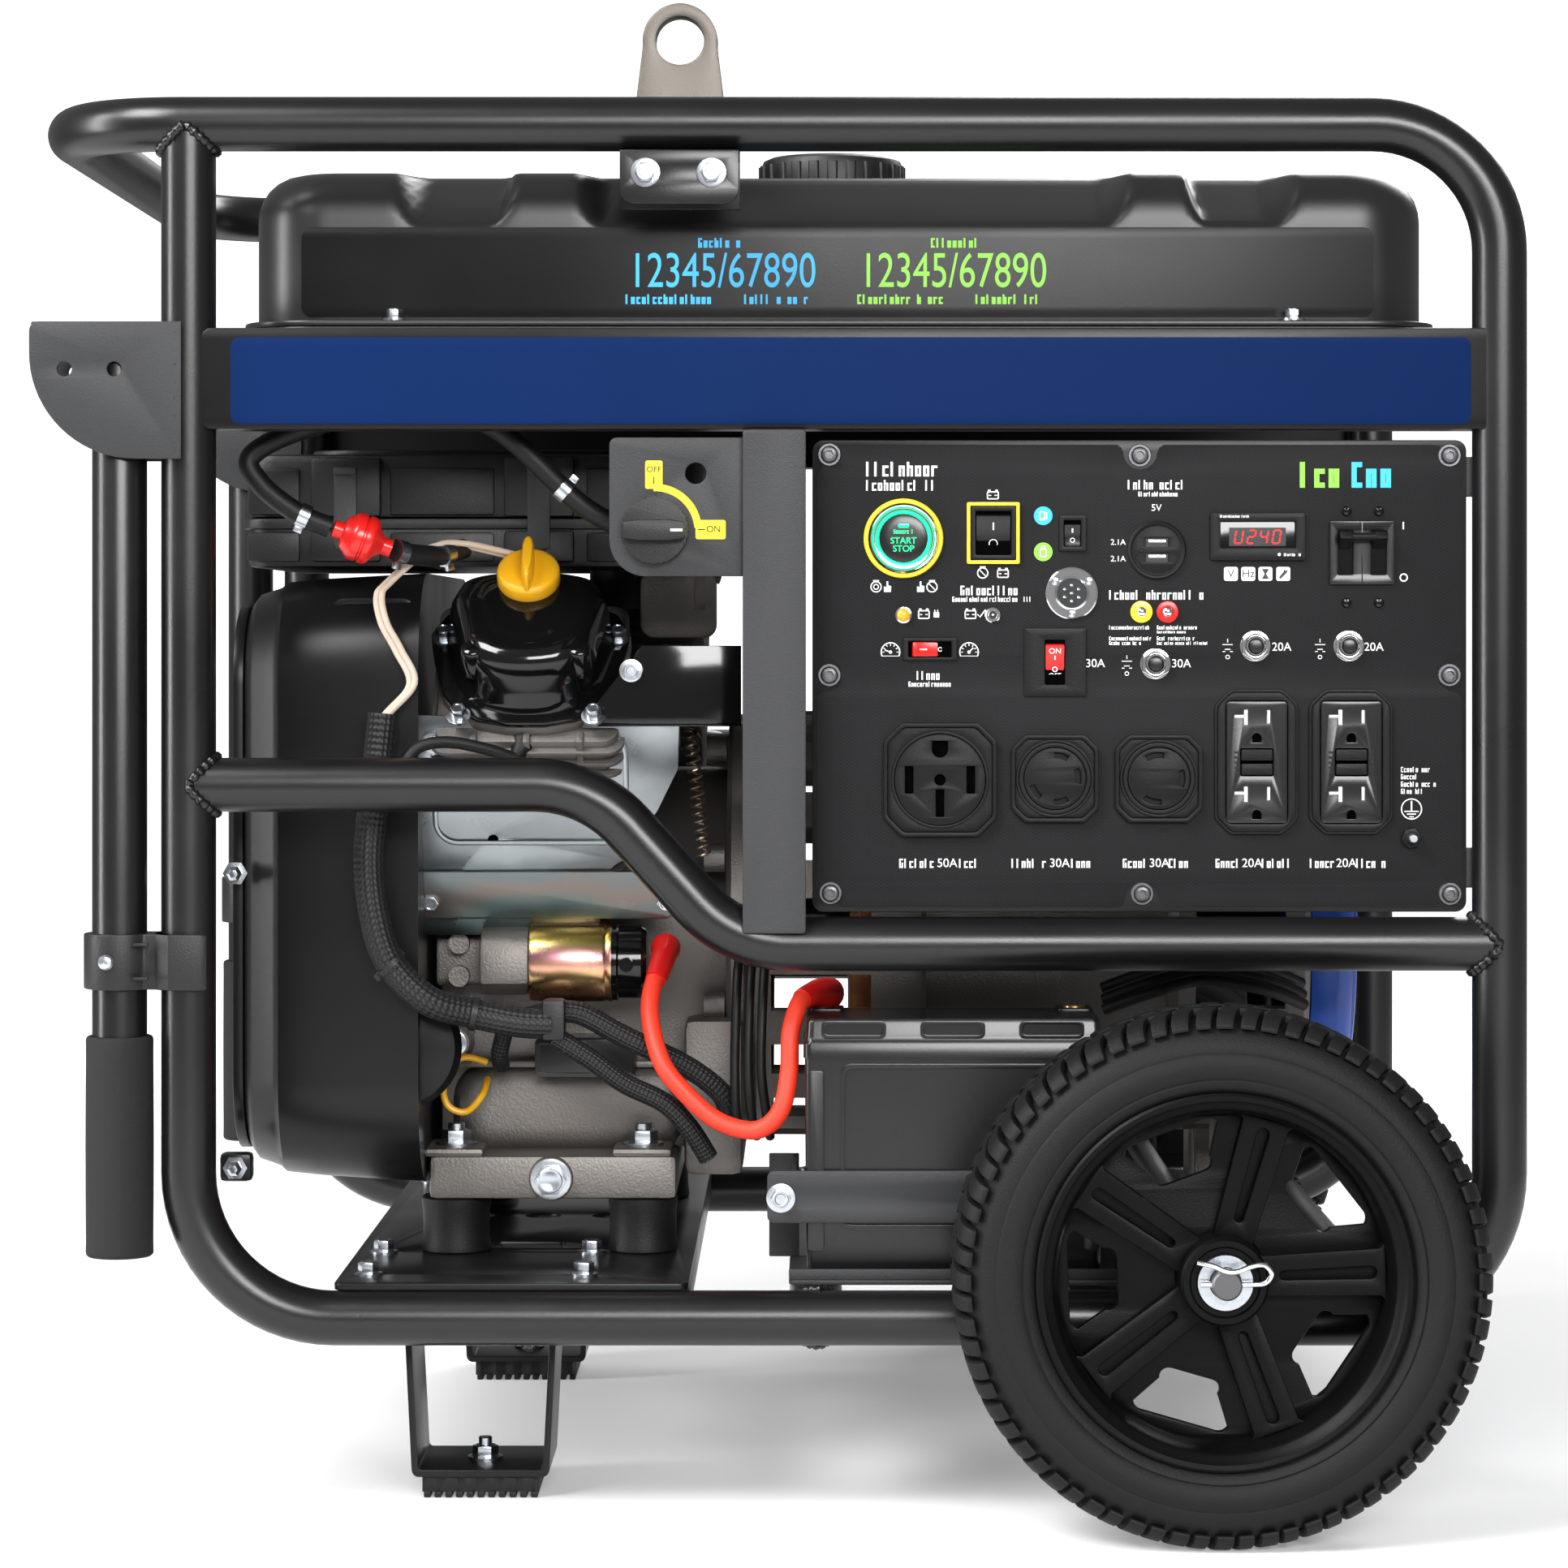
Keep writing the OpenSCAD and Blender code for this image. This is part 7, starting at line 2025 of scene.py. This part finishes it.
# %% Wiring harness
MAIN = [(-222, -236, 440), (-226, -238, 400), (-230, -238, 361), (-227, -237, 327),
        (-218, -234, 300),
        (-197, -231, 279), (-172, -222, 271), (-147, -221, 266), (-129, -220, 265)]
soft_line("main_harness", MAIN, 8.6, BRAID, "hose_black", ["wiring_harness"])
sleeves = Bench().tube(smooth([(-127.5, -216, 272), (-112, -214, 270), (-88, -212, 257),
                               (-54, -205, 240), (-34, -198, 224), (-29, -188, 210)], 8), 6.3, 18)
sleeves.tube(smooth([(-127.5, -219, 258), (-107, -217, 245), (-88, -214, 231), (-66, -212, 220),
                     (-52, -210, 206), (-41, -204, 188)], 8), 5.8, 18)
sleeves.tube(smooth([(-129, -212, 272), (-139, -200, 269), (-154, -196, 263), (-160, -190, 247),
                     (-160, -180, 238)], 8), 5, 16)
sleeves.done("braided_branches", BRAID, slot="hose_black")
leads = Bench().tube(smooth([(-145, -208, 430), (-146, -216, 421), (-150, -223, 413)], 6),
                     [9, 9, 9, 8.6, 8, 7.6, 7, 6, 5, 4.4, 4, 3.8, 3.6], 18)
for k, x in enumerate((-25, -17.5, -10)):
    leads.tube(smooth([(x + 2, -150, 306), (x + 1, -186, 298), (x, -200, 280),
                       (x - 1, -204 - k, 240), (x + k, -203, 212), (x + 4, -190, 198)], 8), 2.7, 12)
for y, z in ((-206, 276), (-198, 281), (-190, 287)):
    leads.tube(smooth([(184, y + 10, z - 5), (212, y, z + 6), (240, y + 4, z + 12),
                       (276, y + 12, z + 6), (300, y + 30, z - 4)], 6), 3.4, 12)
leads.done("plug_and_panel_leads", RUBBER, slot="hose_black")
soft_line("plug_lead", [(-148, -222, 414), (-165, -228, 420), (-187, -232, 424), (-204, -234, 420),
                        (-214, -238, 405)], 3.4, RUBBER, "hose_black")
POSITIVE = [(-66, -176, 304), (-70, -192, 294), (-74, -210, 272), (-67, -226, 245),
            (-54, -230, 228), (-37, -232, 213),
            (-20, -234, 207), (-8, -236, 209), (1, -238, 220), (5, -236, 240), (6, -233, 262),
            (12, -222, 279), (22, -205, 281)]
soft_line("positive_cable", POSITIVE, 5.2, CABLE, "switch_red")
boots = Bench().tube(smooth([(-66, -172, 305), (-67, -184, 300), (-71, -198, 288)], 6),
                     [8.5, 8.5, 8.5, 8, 7.5, 7.4, 7.2, 7, 6.8, 6.6, 6.4, 6.2, 6], 18)
boots.tube(smooth([(12, -222, 279), (19, -210, 281), (28, -190, 280)], 6), [6, 6.2, 6.4, 6.6, 6.8,
        7, 7.4, 8, 8.6, 9, 9, 9, 9], 18)
boots.done("cable_boots", RED, slot="switch_red")
pale = Bench()
for dx in (0, 3.2):
    pale.tube(smooth([(x + dx, y - dx * 0.4, z + dx * 0.3) for x, y, z in (
        (-149, -185, 527), (-159, -190, 530), (-184, -205, 535), (-200, -215, 532),
            (-222, -222, 513), (-227, -224, 505), (-224, -226, 490),
        (-216, -226, 475), (-208, -230, 456), (-223, -236, 437), (-230, -238, 417),
            (-227, -238, 384))], 8), 1.8, 10)
pale.done("ignition_leads", CREAM, slot="breaker_white")
loop = Bench().tube(smooth([(-169, -165, 238), (-180, -166, 241), (-188, -168, 238),
                            (-194, -168, 224), (-191, -168, 213), (-181, -168, 210),
                            (-172, -167, 219), (-170, -150, 227)], 8), 2, 10)
loop.done("sensor_lead", OIL, slot="oil_yellow")
ties = Bench()
for i in (1, 4, 6):
    a, b = Vector(MAIN[i]), Vector(MAIN[i + 1])
    ring = spot(*a, b - a)
    ties.turned([(8.6, -1.6), (9.8, -1.6), (9.8, 1.6), (8.6, 1.6), (8.6, -1.6)], ring, 30)
    ties.box((8, -2, -2.2), (12, 2, 2.2), ring, 0.6)
ties.box((-134, -227, 256), (-121, -209, 279), bevel=3)
ties.done("cable_ties", MOULDED, slot="hose_black")
coil = Bench()
COIL_R, COIL_STEP, COIL_STEPS = 3.6, 0.6, 157.5
axis = Vector((-44, -174, 357)) - Vector((-52, -182, 430))
coil.tube([(COIL_R * math.cos(k * COIL_STEP), COIL_R * math.sin(k * COIL_STEP),
            axis.length * k / COIL_STEPS) for k in range(159)],
          0.8, 8, place=spot(-52, -182, 430, axis))
coil.done("governor_spring", SPRING, slot="zinc")
unit = Bench().slab(rounded(58, 22, 2.5, -113, 240), 0, 40, front(0, 0, -122), 1.2)
unit.frame(rounded(54, 18, 2, -113, 240), rounded(52.4, 16.4, 1.4, -113, 240), 39.8, 40.5,
           front(0, 0, -122), 0.2)
unit.done("regulator_box", SMOOTH, slot="cover_black")
intake = Bench().turned([(0, 0), (17, 0), (18, 3), (18, 26), (24, 28), (24, 34), (0, 34)],
                        spot(-78, -120, 508, (1, 0, 0)), 36)
intake.slab(rounded(44, 40, 8, -60, 502), 0, 30, front(0, 0, -112), 3)
intake.turned([(0, 0), (14, 0), (14, 10), (0, 10)], spot(-60, -128, 478, (0, 0, -1)), 30)
intake.tube([(-86, -126, 520), (-60, -132, 524), (-36, -126, 516)], 2.5, 10)
intake.done("carburettor", ALLOY, slot="cast_alloy")
print("lines laid")

# %% Bolts of the frame and engine
hardware = Bench()
for s in (1, -1):
    flip = Matrix.Scale(s, 4, (0, 1, 0))
    for x in (-73, -37):
        hardware.bolt(flip @ front(x, 736, -299), 10, 5, 16)
    for x in (-229, -109):
        for y in (-249.5, -161.5):
            hardware.bolt(flip @ move(x, y, 128.0), 10, 6, 16)
    hardware.bolt(flip @ move(-168, -194, 16), 13, 6, 20)
    hardware.turned([(0, 8.2), (3.9, 8.2), (3.9, 27.6), (3.4, 28.2), (0, 28.2)],
                    flip @ move(-168, -194, 0), 20)
    for x in (-214, 285):
        hardware.bolt(flip @ move(x, -254.2, 658.5), 8, 5, 13)
for x in (-188, -80):
    for y in (-150, 90):
        hardware.bolt(move(x, y, 189), 15, 7, 24, 1.6)
        hardware.turned([(0, 196), (4.9, 196), (4.9, 201.4), (4.2, 202), (0, 202)], move(x, y, 0),
                        20)
hardware.bolt(front(0.5, 172, -258.6), 10, 5, 16)
hardware.bolt(front(-132, 172, -173.6), 16, 8, 23)
hardware.bolt(front(-84, 464, -223), 8, 4, 13)
for x, u in ((-201, 22), (-66, 22), (-196, 120)):
    hardware.bolt(LEAN @ move(x, u, 1.6), 9, 4, 15)
for x, z in ((-191, 318), (-191, 246), (-62, 330)):
    hardware.bolt(front(x, z, -131.8), 9, 5, 15)
for z in (182, 349):
    hardware.turned([(0, 0), (7, 0), (7, 1.4), (4.6, 1.6), (4.6, 5.5), (4.0, 7.4), (2.4, 8.8),
                     (0, 9.2)], front(-309, z, -204), 6)
hardware.done("frame_bolts", ZINC, slot="zinc", stands_for=["fasteners"])
print("bolts")

# %% [markdown]
# ## Size
# The dressed model's box is measured over everything it renders, the floor and backdrop left out.
# The dressed model must keep to the working model's box.

# %% Measure the dressed model's box and print it
low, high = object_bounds()
print("visual box", [round(v, 3) for v in low], [round(v, 3) for v in high])
